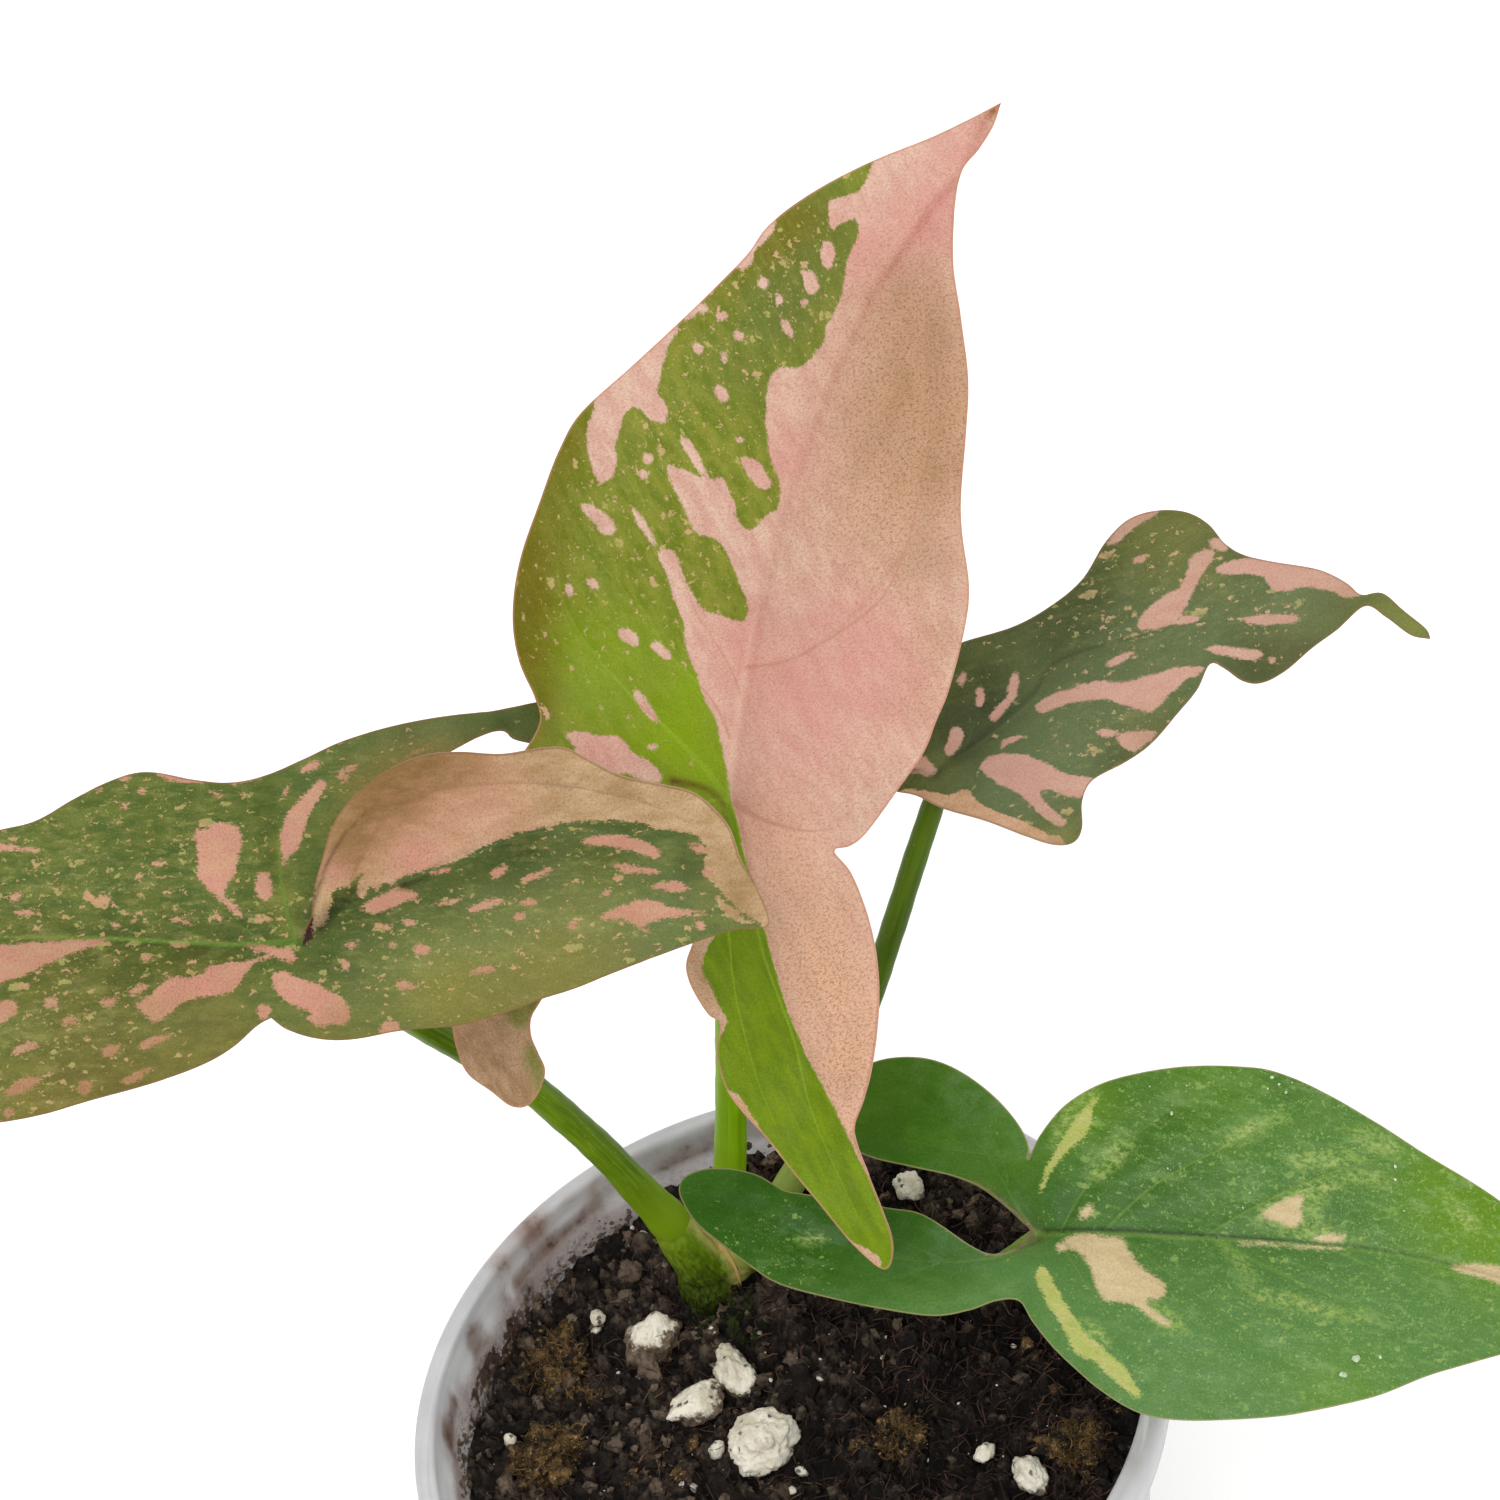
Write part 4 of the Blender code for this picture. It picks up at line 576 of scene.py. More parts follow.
            ([(-80, 937), (-130, 960), (-180, 1000), (-210, 1030)], 1.4, 0.4),
            ([(330, 788), (360, 790), (380, 786)], 1.3, 0.3),
            ([(385, 754), (420, 752), (450, 747)], 1.3, 0.3),
            ([(312, 815), (330, 812), (345, 806)], 1.3, 0.3)],
            [([(322, 930), (380, 937), (430, 960), (470, 990), (500, 1010)], 1.5, 0.35),
             ([(400, 890), (450, 906), (510, 930), (560, 955), (600, 972)], 1.5, 0.35),
             ([(480, 860), (530, 876), (590, 905), (640, 930), (680, 945)], 1.5, 0.35),
             ([(560, 834), (610, 851), (670, 880), (715, 915)], 1.5, 0.35),
             ([(302, 948), (330, 967), (360, 995), (385, 1025)], 1.5, 0.3),
             ([(352, 880), (363, 855), (385, 820), (420, 795), (470, 785), (540, 782),
               (600, 790), (650, 803), (692, 822)], 2.4, 0.9),
             ([(402, 880), (430, 850), (470, 822), (500, 800), (520, 784)], 1.4, 0.4),
             ([(480, 852), (520, 828), (560, 808), (595, 793)], 1.4, 0.4),
             ([(365, 850), (372, 815), (400, 780), (430, 762)], 1.3, 0.4)]],
        "marks": {
            "blush": [
                [(-60, 948), (-30, 944), (0, 945), (40, 942), (80, 939), (105, 938),
                 (110, 942), (92, 950), (66, 958), (50, 966), (30, 975), (10, 982),
                 (-20, 990), (-60, 984), (-95, 968)],
                [(194, 830), (205, 828), (214, 824), (228, 823), (238, 828), (243, 838),
                 (242, 850), (238, 862), (236, 875), (229, 885), (226, 893), (233, 901),
                 (241, 910), (246, 918), (240, 919), (228, 909), (216, 898), (205, 888),
                 (198, 878), (197, 865), (196, 850)],
                [(322, 776), (328, 788), (320, 800), (312, 812), (307, 828), (303, 845),
                 (297, 853), (290, 858), (288, 869), (283, 870), (281, 855), (280, 840),
                 (282, 825), (288, 812), (296, 803), (304, 795), (313, 786)],
                [(256, 873), (265, 872), (271, 880), (273, 892), (269, 902), (260, 901),
                 (253, 893), (254, 880)],
                [(300, 766), (316, 760), (324, 764), (312, 772), (300, 775)],
                [(330, 772), (342, 770), (352, 763), (355, 766), (346, 778), (334, 784),
                 (338, 776)],
                [(350, 766), (359, 764), (352, 776), (345, 786), (341, 784)],
                [(425, 747), (438, 742), (447, 734), (442, 744), (430, 750), (420, 755)],
                [(400, 760), (412, 752), (424, 748), (416, 756), (404, 764)],
                [(133, 1003), (142, 1000), (150, 995), (158, 986), (170, 978), (190, 978),
                 (200, 975), (212, 965), (230, 963), (245, 962), (262, 956), (277, 953),
                 (270, 960), (255, 965), (248, 975), (241, 985), (232, 994), (215, 997),
                 (195, 1000), (180, 1008), (172, 1015), (160, 1023), (152, 1025),
                 (148, 1018), (138, 1012)],
                [(244, 944), (262, 944), (278, 948), (290, 950), (297, 959), (290, 965),
                 (280, 962), (268, 955), (252, 952)],
                [(272, 972), (285, 972), (300, 978), (318, 983), (332, 990), (345, 998),
                 (351, 1010), (348, 1023), (335, 1026), (322, 1027), (307, 1020),
                 (312, 1012), (296, 1008), (281, 1000), (273, 988)],
                [(258, 1004), (266, 1003), (274, 1008), (270, 1015), (262, 1022),
                 (256, 1014)],
                [(152, 762), (175, 765), (200, 772), (216, 782), (200, 784), (180, 784),
                 (162, 778), (153, 772)],
                [(228, 775), (258, 768), (262, 779), (242, 785), (230, 786)],
                [(120, 776), (133, 774), (128, 782), (120, 784)],
                [(-20, 838), (0, 841), (20, 845), (40, 850), (38, 853), (10, 852),
                 (-20, 852)],
                [(95, 1000), (108, 998), (122, 995), (118, 1003), (110, 1010),
                 (100, 1006)],
                [(128, 994), (136, 986), (148, 984), (149, 991), (138, 997), (130, 999)],
                [(3, 1092), (15, 1082), (28, 1076), (43, 1075), (40, 1084), (28, 1092),
                 (12, 1097)],
                [(118, 1083), (130, 1073), (150, 1066), (158, 1068), (146, 1077),
                 (130, 1085)],
                [(138, 1044), (150, 1037), (165, 1033), (177, 1034), (170, 1040),
                 (156, 1046), (143, 1049)],
                [(100, 1050), (108, 1044), (120, 1043), (124, 1048), (112, 1056),
                 (103, 1058)],
                [(12, 1050), (25, 1042), (38, 1040), (40, 1046), (28, 1052), (15, 1056)],
                [(-12, 1010), (5, 1000), (18, 1002), (20, 1012), (8, 1022), (-8, 1030)],
                [(44, 1000), (52, 996), (62, 1000), (56, 1008), (46, 1008)],
                [(60, 1020), (72, 1016), (82, 1020), (74, 1026), (62, 1026)],
                [(76, 1082), (88, 1078), (94, 1086), (86, 1096), (78, 1092)],
                [(0, 1110), (12, 1104), (16, 1112), (8, 1120)],
                [(10, 895), (22, 890), (24, 898), (12, 902)],
                [(12, 912), (30, 908), (40, 912), (26, 918)],
                [(150, 862), (160, 860), (164, 866), (154, 869)],
                [(168, 913), (180, 916), (196, 923), (188, 925), (172, 920)],
                [(215, 912), (224, 915), (224, 922), (216, 920)],
                [(112, 922), (120, 920), (122, 928), (114, 930)],
                [(140, 955), (150, 954), (154, 960), (146, 964)],
                [(206, 790), (218, 793), (224, 798), (214, 800)],
                [(136, 792), (146, 787), (147, 795), (138, 798)],
                [(118, 806), (130, 802), (124, 812)],
                [(92, 790), (104, 789), (98, 796)],
                [(284, 788), (290, 784), (288, 796), (282, 800)],
                [(362, 905), (372, 899), (385, 893), (397, 889), (410, 889), (419, 895),
                 (418, 901), (404, 906), (390, 912), (374, 914), (362, 912)]],
            "blush_2": [
                [(362, 905), (372, 899), (385, 893), (397, 889), (410, 889), (419, 895),
                 (418, 901), (404, 906), (390, 912), (374, 914), (362, 912)],
                [(578, 842), (590, 837), (605, 834), (625, 835), (642, 840), (655, 846),
                 (661, 853), (658, 861), (645, 858), (625, 851), (605, 849), (590, 848)],
                [(610, 867), (625, 865), (642, 868), (662, 872), (650, 877), (630, 876),
                 (618, 873)],
                [(645, 887), (660, 883), (678, 881), (690, 886), (696, 890), (680, 894),
                 (660, 892)],
                [(598, 917), (608, 910), (625, 904), (640, 900), (655, 900), (668, 906),
                 (690, 909), (708, 912), (700, 917), (680, 918), (655, 921), (640, 925),
                 (620, 921), (605, 920)],
                [(635, 905), (642, 925), (650, 931), (642, 932), (632, 922)],
                [(430, 872), (442, 869), (455, 868), (448, 875), (432, 878)],
                [(492, 872), (505, 866), (510, 870), (498, 880), (490, 878)],
                [(520, 880), (532, 874), (548, 868), (556, 870), (540, 880), (524, 886)],
                [(468, 908), (480, 903), (495, 900), (507, 899), (500, 908), (484, 912),
                 (470, 914)],
                [(430, 906), (450, 901), (468, 897), (460, 903), (440, 909)],
                [(468, 970), (480, 964), (494, 964), (498, 969), (486, 973), (472, 975)],
                [(412, 948), (422, 944), (434, 948), (430, 956), (416, 956)],
                [(395, 980), (405, 978), (418, 984), (412, 991), (398, 988)],
                [(345, 945), (356, 940), (362, 944), (352, 952)],
                [(342, 960), (350, 962), (352, 972), (343, 970)],
                [(388, 944), (396, 940), (399, 948), (390, 952)],
                [(400, 922), (412, 919), (418, 925), (405, 928)],
                [(520, 900), (532, 898), (538, 905), (524, 909)],
                [(600, 893), (610, 890), (614, 896), (602, 899)],
                [(700, 873), (712, 868), (716, 873), (706, 879)],
                [(694, 922), (704, 920), (706, 930), (696, 932)],
                [(566, 926), (576, 922), (584, 928), (570, 931)],
                [(515, 912), (525, 914), (522, 922), (514, 920)],
                [(272, 972), (285, 972), (300, 978), (318, 983), (332, 990), (345, 998),
                 (351, 1010), (348, 1023), (335, 1026), (322, 1027), (307, 1020),
                 (312, 1012), (296, 1008), (281, 1000), (273, 988)],
                [(282, 950), (290, 950), (297, 959), (290, 965), (280, 962)],
                [(378, 1026), (390, 1018), (400, 1022), (398, 1032), (380, 1036)],
                [(690, 845), (704, 842), (710, 852), (696, 853)]],
            "tan_2": [
                [(303, 945), (308, 925), (312, 905), (316, 880), (320, 855), (326, 830),
                 (336, 800), (370, 765), (420, 735), (500, 730), (600, 735), (700, 770),
                 (765, 850), (785, 925), (768, 930), (758, 922), (745, 915), (733, 903),
                 (722, 892), (708, 878), (706, 862), (708, 850), (700, 838), (690, 832),
                 (672, 829), (655, 828), (645, 822), (620, 820), (590, 820), (565, 822),
                 (540, 827), (510, 836), (480, 849), (460, 859), (440, 866), (420, 871),
                 (400, 878), (391, 887), (384, 881), (377, 893), (371, 886), (364, 898),
                 (359, 896), (358, 886), (365, 872), (352, 880), (344, 887), (333, 890),
                 (331, 905), (325, 925), (318, 925), (313, 938)],
                [(716, 896), (728, 905), (742, 916), (756, 924), (735, 920), (720, 908)]],
            "inky_2": [
                [(299, 948), (303, 928), (309, 910), (312, 918), (313, 930), (316, 938),
                 (306, 944)]],
        },
        "tones": {
            # dark: the first two dabs are painted shade under the lower edge of the fold.
            "dark": [(330, 905, 24, 0.8), (350, 895, 20, 0.9), (300, 915, 16, 0.5),
                     (285, 960, 20, 0.2), (480, 862, 30, 0.5), (520, 845, 26, 0.5),
                     (630, 828, 40, 0.3), (690, 870, 20, 0.4), (505, 725, 18, 0.7),
                     (470, 738, 20, 0.3)],
            "glow": [(0, 1100, 60, 0.15),
                     (285, 900, 16, 0.8), (280, 850, 10, 0.5), (290, 925, 14, 0.9),
                     (560, 970, 60, 0.5), (450, 985, 50, 0.6), (600, 880, 40, 0.25),
                     (560, 720, 20, 0.4), (450, 880, 18, 0.2)],
            # warm: the first four dabs, olive-brown at the curled rim of the fold, are painted
            # shade; the rest are the leaf's own colour.
            "warm": [(400, 775, 34, 1.0), (370, 795, 26, 1.0), (440, 762, 30, 0.9),
                     (350, 830, 20, 0.7), (480, 765, 30, 0.5), (540, 760, 40, 0.25),
                     (740, 880, 40, 0.5), (470, 1020, 50, 0.5), (540, 1000, 40, 0.5),
                     (620, 965, 40, 0.3), (180, 1075, 50, 0.5), (60, 1110, 50, 0.5)],
            "rose": [(480, 810, 60, 0.5), (400, 830, 50, 0.4), (335, 870, 20, 0.6),
                     (420, 860, 26, 0.7), (310, 1000, 30, 0.5), (200, 985, 40, 0.6)],
            "speck": [(150, 860, 130, 0.9), (50, 880, 110, 0.9), (30, 1040, 90, 0.7),
                      (240, 900, 60, 0.6), (380, 770, 60, 0.7), (450, 930, 110, 0.7),
                      (600, 890, 110, 0.7), (-100, 950, 200, 0.8), (360, 970, 60, 0.5)],
        },
        "grain": 0.55,
    },
    "leaf_back_right": {
        "main": [[
            ([(940, 775), (960, 757), (986, 740), (1032, 702), (1060, 665), (1135, 641),
              (1204, 625), (1281, 614), (1365, 600), (1430, 637)], 3.8, 0.7),
            ([(940, 775), (985, 790), (1030, 808), (1070, 838)], 2.4, 0.4)]],
        "side": [[
            ([(962, 756), (975, 722), (990, 690), (1010, 660), (1030, 630)], 1.6, 0.35),
            ([(998, 730), (1020, 690), (1045, 650), (1065, 612)], 1.6, 0.3),
            ([(1038, 695), (1065, 650), (1090, 610), (1105, 565)], 1.6, 0.3),
            ([(1090, 655), (1115, 620), (1140, 580), (1150, 535)], 1.5, 0.3),
            ([(1150, 637), (1175, 605), (1195, 570), (1205, 540)], 1.5, 0.3),
            ([(1215, 623), (1240, 600), (1265, 575)], 1.4, 0.3),
            ([(972, 752), (1010, 738), (1060, 726), (1100, 722), (1145, 722)], 1.7, 0.4),
            ([(1036, 698), (1090, 692), (1140, 694), (1178, 692)], 1.6, 0.4),
            ([(1062, 667), (1110, 668), (1160, 668), (1195, 666)], 1.6, 0.4),
            ([(1140, 641), (1190, 648), (1240, 658), (1270, 670)], 1.5, 0.35),
            ([(1210, 625), (1260, 632), (1305, 640)], 1.4, 0.3),
            ([(960, 768), (1000, 765), (1045, 768), (1090, 772)], 1.4, 0.35),
            ([(950, 781), (985, 800), (1010, 818)], 1.3, 0.3)]],
        "marks": {
            "blush": [
                [(1137, 629), (1140, 618), (1150, 606), (1165, 596), (1178, 588),
                 (1185, 575), (1188, 562), (1195, 553), (1210, 550), (1213, 556),
                 (1207, 568), (1200, 578), (1194, 590), (1188, 603), (1183, 612),
                 (1178, 617), (1190, 615), (1201, 618), (1195, 622), (1170, 626),
                 (1150, 630)],
                [(1214, 573), (1220, 564), (1240, 560), (1262, 558), (1290, 560),
                 (1325, 566), (1350, 582), (1362, 594), (1345, 597), (1330, 591),
                 (1305, 588), (1290, 590), (1275, 593), (1268, 586), (1264, 578),
                 (1245, 575), (1228, 576)],
                [(1207, 541), (1222, 538), (1228, 549), (1215, 551)],
                [(1237, 620), (1255, 616), (1280, 615), (1299, 616), (1293, 623),
                 (1270, 625), (1250, 625)],
                [(1202, 650), (1215, 646), (1235, 648), (1255, 650), (1263, 655),
                 (1252, 661), (1235, 658), (1218, 655)],
                [(1035, 709), (1045, 700), (1060, 693), (1080, 688), (1100, 682),
                 (1125, 683), (1150, 676), (1170, 670), (1190, 667), (1204, 667),
                 (1200, 674), (1186, 679), (1178, 688), (1168, 695), (1160, 705),
                 (1150, 712), (1135, 709), (1115, 703), (1100, 700), (1075, 703),
                 (1055, 709), (1042, 715)],
                [(978, 768), (985, 760), (1000, 755), (1020, 755), (1035, 760),
                 (1050, 765), (1060, 772), (1085, 778), (1100, 782), (1090, 793),
                 (1078, 797), (1065, 796), (1050, 790), (1040, 792), (1046, 802),
                 (1056, 813), (1067, 823), (1060, 827), (1045, 819), (1030, 803),
                 (1015, 791), (1000, 785), (989, 778)],
                [(1114, 738), (1125, 733), (1145, 731), (1158, 733), (1146, 743),
                 (1135, 751), (1122, 748)],
                [(1094, 733), (1105, 729), (1116, 733), (1105, 738)],
                [(988, 719), (995, 708), (1005, 700), (1008, 686), (1012, 674),
                 (1018, 675), (1018, 688), (1013, 702), (1004, 712), (995, 722)],
                [(944, 752), (948, 738), (952, 728), (960, 728), (962, 740), (956, 752),
                 (948, 757)],
                [(916, 768), (920, 758), (930, 762), (937, 772), (930, 776), (918, 774)],
                [(1104, 666), (1118, 657), (1136, 653), (1128, 660), (1112, 668)],
                [(976, 690), (984, 690), (983, 706), (976, 707)],
                [(1105, 545), (1122, 520), (1150, 505), (1160, 512), (1145, 522),
                 (1130, 531), (1118, 543)],
                [(1000, 745), (1012, 738), (1022, 737), (1014, 744), (1002, 749)],
                [(1132, 560), (1145, 555), (1145, 562), (1134, 564)],
                [(1268, 655), (1275, 657), (1273, 664), (1267, 662)],
                [(1062, 690), (1075, 685), (1085, 685), (1070, 691)],
                [(1050, 735), (1058, 733), (1056, 739)],
                [(1098, 775), (1120, 765), (1135, 758), (1130, 770), (1105, 786),
                 (1094, 790)],
                [(957, 680), (964, 672), (967, 680), (961, 688)]],
            "tan": [
                [(905, 788), (925, 791), (950, 795), (967, 789), (976, 800), (986, 808),
                 (1005, 815), (1030, 825), (1048, 834), (1062, 838), (1060, 856),
                 (1000, 840), (930, 815), (890, 800)]],
        },
        "tones": {
            "dark": [(985, 700, 40, 0.8), (960, 740, 30, 0.8), (1060, 640, 40, 0.5),
                     (1080, 600, 40, 0.4), (1250, 665, 30, 0.6), (1120, 760, 24, 0.4),
                     (1290, 650, 30, 0.4)],
            "glow": [(1180, 540, 50, 0.25), (1060, 840, 24, 0.4), (945, 765, 14, 0.6),
                     (1390, 610, 30, 0.6), (1415, 628, 24, 0.8), (1140, 540, 40, 0.2)],
            "warm": [(1290, 640, 40, 0.3), (1180, 530, 50, 0.3), (1150, 740, 30, 0.4),
                     (1060, 840, 20, 0.5), (1340, 600, 30, 0.2)],
            "rose": [(1100, 690, 60, 0.6), (1030, 770, 40, 0.8), (1250, 575, 50, 0.5)],
            "speck": [(1120, 600, 90, 0.8), (1200, 580, 70, 0.5), (1110, 740, 60, 0.9),
                      (1040, 800, 40, 0.6), (1260, 630, 60, 0.5), (960, 680, 50, 0.4)],
        },
        "grain": 0.5,
    },
    "leaf_low_right": {
        "main": [[
            ([(1037, 1234), (1112, 1234), (1202, 1239), (1291, 1245), (1380, 1254),
              (1447, 1268), (1550, 1296), (1640, 1322)], 4.4, 1.0),
            ([(1037, 1234), (1018, 1208), (990, 1160), (965, 1130), (925, 1105),
              (865, 1098)], 3.2, 0.6),
            ([(1037, 1240), (1000, 1256), (950, 1262), (880, 1256), (820, 1238),
              (740, 1210), (695, 1195)], 3.0, 0.6)]],
        "side": [[
            ([(1060, 1232), (1085, 1190), (1120, 1150), (1170, 1112), (1235, 1085)],
             2.0, 0.6),
            ([(1103, 1233), (1120, 1215), (1160, 1182), (1225, 1147), (1290, 1120),
              (1340, 1108)], 2.2, 0.8),
            ([(1202, 1238), (1240, 1215), (1290, 1190), (1335, 1172), (1376, 1160),
              (1430, 1166)], 2.2, 0.9),
            ([(1315, 1247), (1360, 1228), (1410, 1210), (1460, 1206), (1500, 1212)],
             1.8, 0.5),
            ([(1400, 1257), (1450, 1246), (1500, 1240), (1550, 1248)], 1.6, 0.5),
            ([(1060, 1242), (1090, 1290), (1130, 1340), (1170, 1385), (1195, 1412)],
             1.9, 0.5),
            ([(1120, 1238), (1170, 1275), (1230, 1320), (1290, 1365), (1330, 1395)],
             1.9, 0.5),
            ([(1215, 1242), (1255, 1262), (1310, 1288), (1393, 1319), (1450, 1345)],
             2.2, 0.9),
            ([(1330, 1250), (1390, 1275), (1450, 1298), (1510, 1325)], 1.8, 0.6),
            ([(1430, 1266), (1480, 1290), (1530, 1312), (1570, 1330)], 1.6, 0.5),
            ([(1010, 1200), (1005, 1165), (985, 1125), (955, 1090)], 1.5, 0.4),
            ([(985, 1155), (950, 1150), (905, 1140), (870, 1135)], 1.5, 0.4),
            ([(950, 1262), (900, 1240), (850, 1218), (800, 1205)], 1.5, 0.4),
            ([(940, 1264), (890, 1280), (840, 1282), (790, 1272)], 1.5, 0.4),
            ([(820, 1240), (780, 1238), (740, 1230)], 1.4, 0.3)]],
        "marks": {
            "cream": [
                [(1063, 1243), (1072, 1236), (1085, 1235), (1105, 1237), (1121, 1239),
                 (1127, 1247), (1133, 1259), (1141, 1268), (1151, 1275), (1161, 1282),
                 (1166, 1291), (1158, 1300), (1147, 1299), (1151, 1308), (1162, 1317),
                 (1171, 1326), (1160, 1325), (1148, 1316), (1135, 1306), (1120, 1302),
                 (1105, 1300), (1098, 1292), (1094, 1278), (1089, 1265), (1081, 1255),
                 (1071, 1248)],
                [(1056, 1248), (1065, 1242), (1070, 1249), (1061, 1253)],
                [(1082, 1210), (1090, 1204), (1095, 1208), (1088, 1217), (1079, 1220)],
                [(1260, 1216), (1272, 1206), (1290, 1198), (1304, 1196), (1300, 1208),
                 (1302, 1220), (1294, 1228), (1278, 1222)],
                [(1312, 1238), (1330, 1234), (1346, 1236), (1340, 1241), (1322, 1243)],
                [(1238, 1243), (1262, 1243), (1300, 1246), (1336, 1248), (1342, 1250),
                 (1300, 1249), (1260, 1246), (1240, 1245)],
                [(1450, 1266), (1475, 1264), (1500, 1268), (1520, 1280), (1505, 1286),
                 (1480, 1278), (1455, 1271)]],
            "straw": [
                [(1035, 1272), (1043, 1267), (1051, 1275), (1059, 1290), (1067, 1305),
                 (1078, 1320), (1089, 1335), (1099, 1345), (1111, 1355), (1121, 1363),
                 (1131, 1375), (1139, 1390), (1142, 1399), (1134, 1397), (1121, 1386),
                 (1107, 1374), (1094, 1362), (1082, 1357), (1074, 1350), (1067, 1335),
                 (1058, 1320), (1048, 1305), (1040, 1290)],
                [(1040, 1196), (1042, 1182), (1048, 1165), (1056, 1150), (1065, 1135),
                 (1075, 1120), (1085, 1108), (1100, 1093), (1094, 1110), (1092, 1125),
                 (1085, 1138), (1073, 1148), (1061, 1160), (1052, 1172), (1046, 1186)],
                ],
            "mist": [
                [(1086, 1176), (1094, 1162), (1106, 1150), (1116, 1138), (1132, 1134),
                 (1134, 1146), (1124, 1160), (1112, 1172), (1098, 1180)],
                [(1064, 1110), (1076, 1098), (1094, 1088), (1098, 1096), (1086, 1112),
                 (1070, 1130), (1056, 1146), (1050, 1140)],
                [(1252, 1222), (1262, 1206), (1280, 1196), (1300, 1186), (1320, 1178),
                 (1345, 1171), (1372, 1174), (1394, 1184), (1372, 1186), (1345, 1184),
                 (1330, 1192), (1322, 1206), (1322, 1222), (1340, 1233), (1362, 1240),
                 (1340, 1244), (1310, 1242), (1290, 1234), (1270, 1228)],
                [(1219, 1144), (1235, 1130), (1255, 1121), (1275, 1112), (1290, 1108),
                 (1284, 1120), (1264, 1131), (1248, 1140), (1232, 1146)],
                [(1219, 1246), (1230, 1250), (1243, 1262), (1258, 1282), (1246, 1274),
                 (1232, 1260)],
                [(1242, 1288), (1262, 1290), (1300, 1298), (1340, 1310), (1372, 1318),
                 (1350, 1322), (1300, 1312), (1262, 1302)],
                [(1380, 1140), (1396, 1146), (1384, 1150)],
                [(1286, 1158), (1320, 1150), (1350, 1150), (1372, 1160), (1340, 1166),
                 (1300, 1170)],
                [(1340, 1130), (1366, 1128), (1392, 1140), (1400, 1156), (1372, 1150)],
                [(1440, 1190), (1462, 1206), (1480, 1230), (1462, 1228), (1446, 1210)],
                [(1150, 1302), (1172, 1310), (1184, 1330), (1168, 1334), (1152, 1322)],
                [(1078, 1320), (1096, 1324), (1110, 1344), (1098, 1344), (1084, 1334)],
                [(795, 1240), (812, 1232), (826, 1240), (810, 1246)]],
        },
        "tones": {
            "dark": [(1150, 1200, 80, 0.7), (1060, 1210, 40, 0.8), (1000, 1200, 40, 0.6),
                     (930, 1130, 60, 0.3), (1330, 1205, 60, 0.35), (900, 1225, 50, 0.8),
                     (960, 1240, 40, 0.8), (770, 1205, 60, 0.5), (700, 1200, 40, 0.5),
                     (1270, 1245, 60, 0.3), (1290, 1090, 26, 0.4), (1150, 1120, 60, 0.3)],
            "glow": [(1480, 1205, 60, 0.9), (1440, 1185, 50, 0.5), (1520, 1240, 60, 0.7),
                     (930, 1130, 60, 0.35), (880, 1100, 60, 0.3), (1000, 1185, 40, 0.3),
                     (1090, 1110, 36, 0.7), (1340, 1395, 50, 0.4), (700, 1180, 30, 0.3),
                     (1200, 1080, 60, 0.25)],
            "warm": [(1038, 1234, 8, 1.0), (1026, 1226, 8, 1.0), (1013, 1216, 8, 1.0),
                     (1000, 1205, 8, 0.9), (988, 1195, 8, 0.8), (975, 1186, 7, 0.6),
                     (1031, 1241, 8, 1.0), (1018, 1246, 8, 1.0), (1004, 1250, 7, 0.8),
                     (990, 1252, 6, 0.6)],
            "rose": [(1110, 1260, 30, 0.4)],
            "speck": [(1250, 1130, 110, 0.8), (1370, 1180, 90, 1.0), (1200, 1330, 120, 0.6),
                      (1400, 1300, 110, 0.9), (1480, 1220, 80, 1.0), (1130, 1150, 60, 0.6),
                      (1560, 1290, 80, 0.8), (780, 1260, 50, 0.4), (1310, 1370, 70, 0.6)],
        },
        "grain": 0.3,
    },
}


# Painted shade beside folds and under the midribs, and dark lines of the leaf itself along
# joints and edges, one list per sheet.
MARKINGS["leaf_upright"]["shade"] = [[
    ([(984, 122), (962, 173), (935, 206), (880, 286), (850, 346), (814, 434),
      (787, 512), (763, 620), (749, 707), (738, 784)], 7.0, 0.40),
    ([(672, 780), (690, 783), (704, 787), (716, 795), (723, 806), (724, 830)], 4.2,
     0.8),
    ([(739, 812), (752, 876), (768, 926), (790, 1005), (809, 1052), (832, 1094),
      (873, 1181)], 3.6, 0.35),
    ([(902, 556), (857, 611), (801, 657), (778, 692)], 3.4, 0.30),
    ([(790, 680), (830, 683), (876, 668)], 3.0, 0.16),
    ([(1003, 101), (992, 112), (984, 128)], 4.0, 0.9)]]
MARKINGS["leaf_left"]["shade"] = [[
    ([(300, 940), (250, 949), (200, 948), (107, 943), (36, 942), (-100, 940)],
     3.0, 0.35),
    ([(292, 936), (288, 900), (283, 860)], 3.6, 0.3)],
    [([(306, 934), (315, 897), (328, 862), (346, 832), (372, 806)], 4.0, 0.75),
     ([(372, 892), (410, 878), (450, 858), (490, 841), (530, 830), (565, 825)], 4.0,
      0.40),
     ([(322, 928), (334, 910), (350, 896), (364, 888)], 8.0, 0.7),
     ([(404, 886), (420, 882), (438, 874)], 6.0, 0.7),
     ([(310, 930), (335, 905), (360, 884)], 8.0, 0.6)]]
MARKINGS["leaf_back_right"]["shade"] = [[
    ([(934, 776), (984, 735), (1030, 697), (1060, 661), (1135, 637), (1204, 621)],
     5.0, 0.55),
    ([(900, 769), (926, 772), (940, 772)], 2.6, 0.9),
    ([(945, 772), (990, 742), (1036, 712), (1075, 690)], 2.4, 0.3)]]
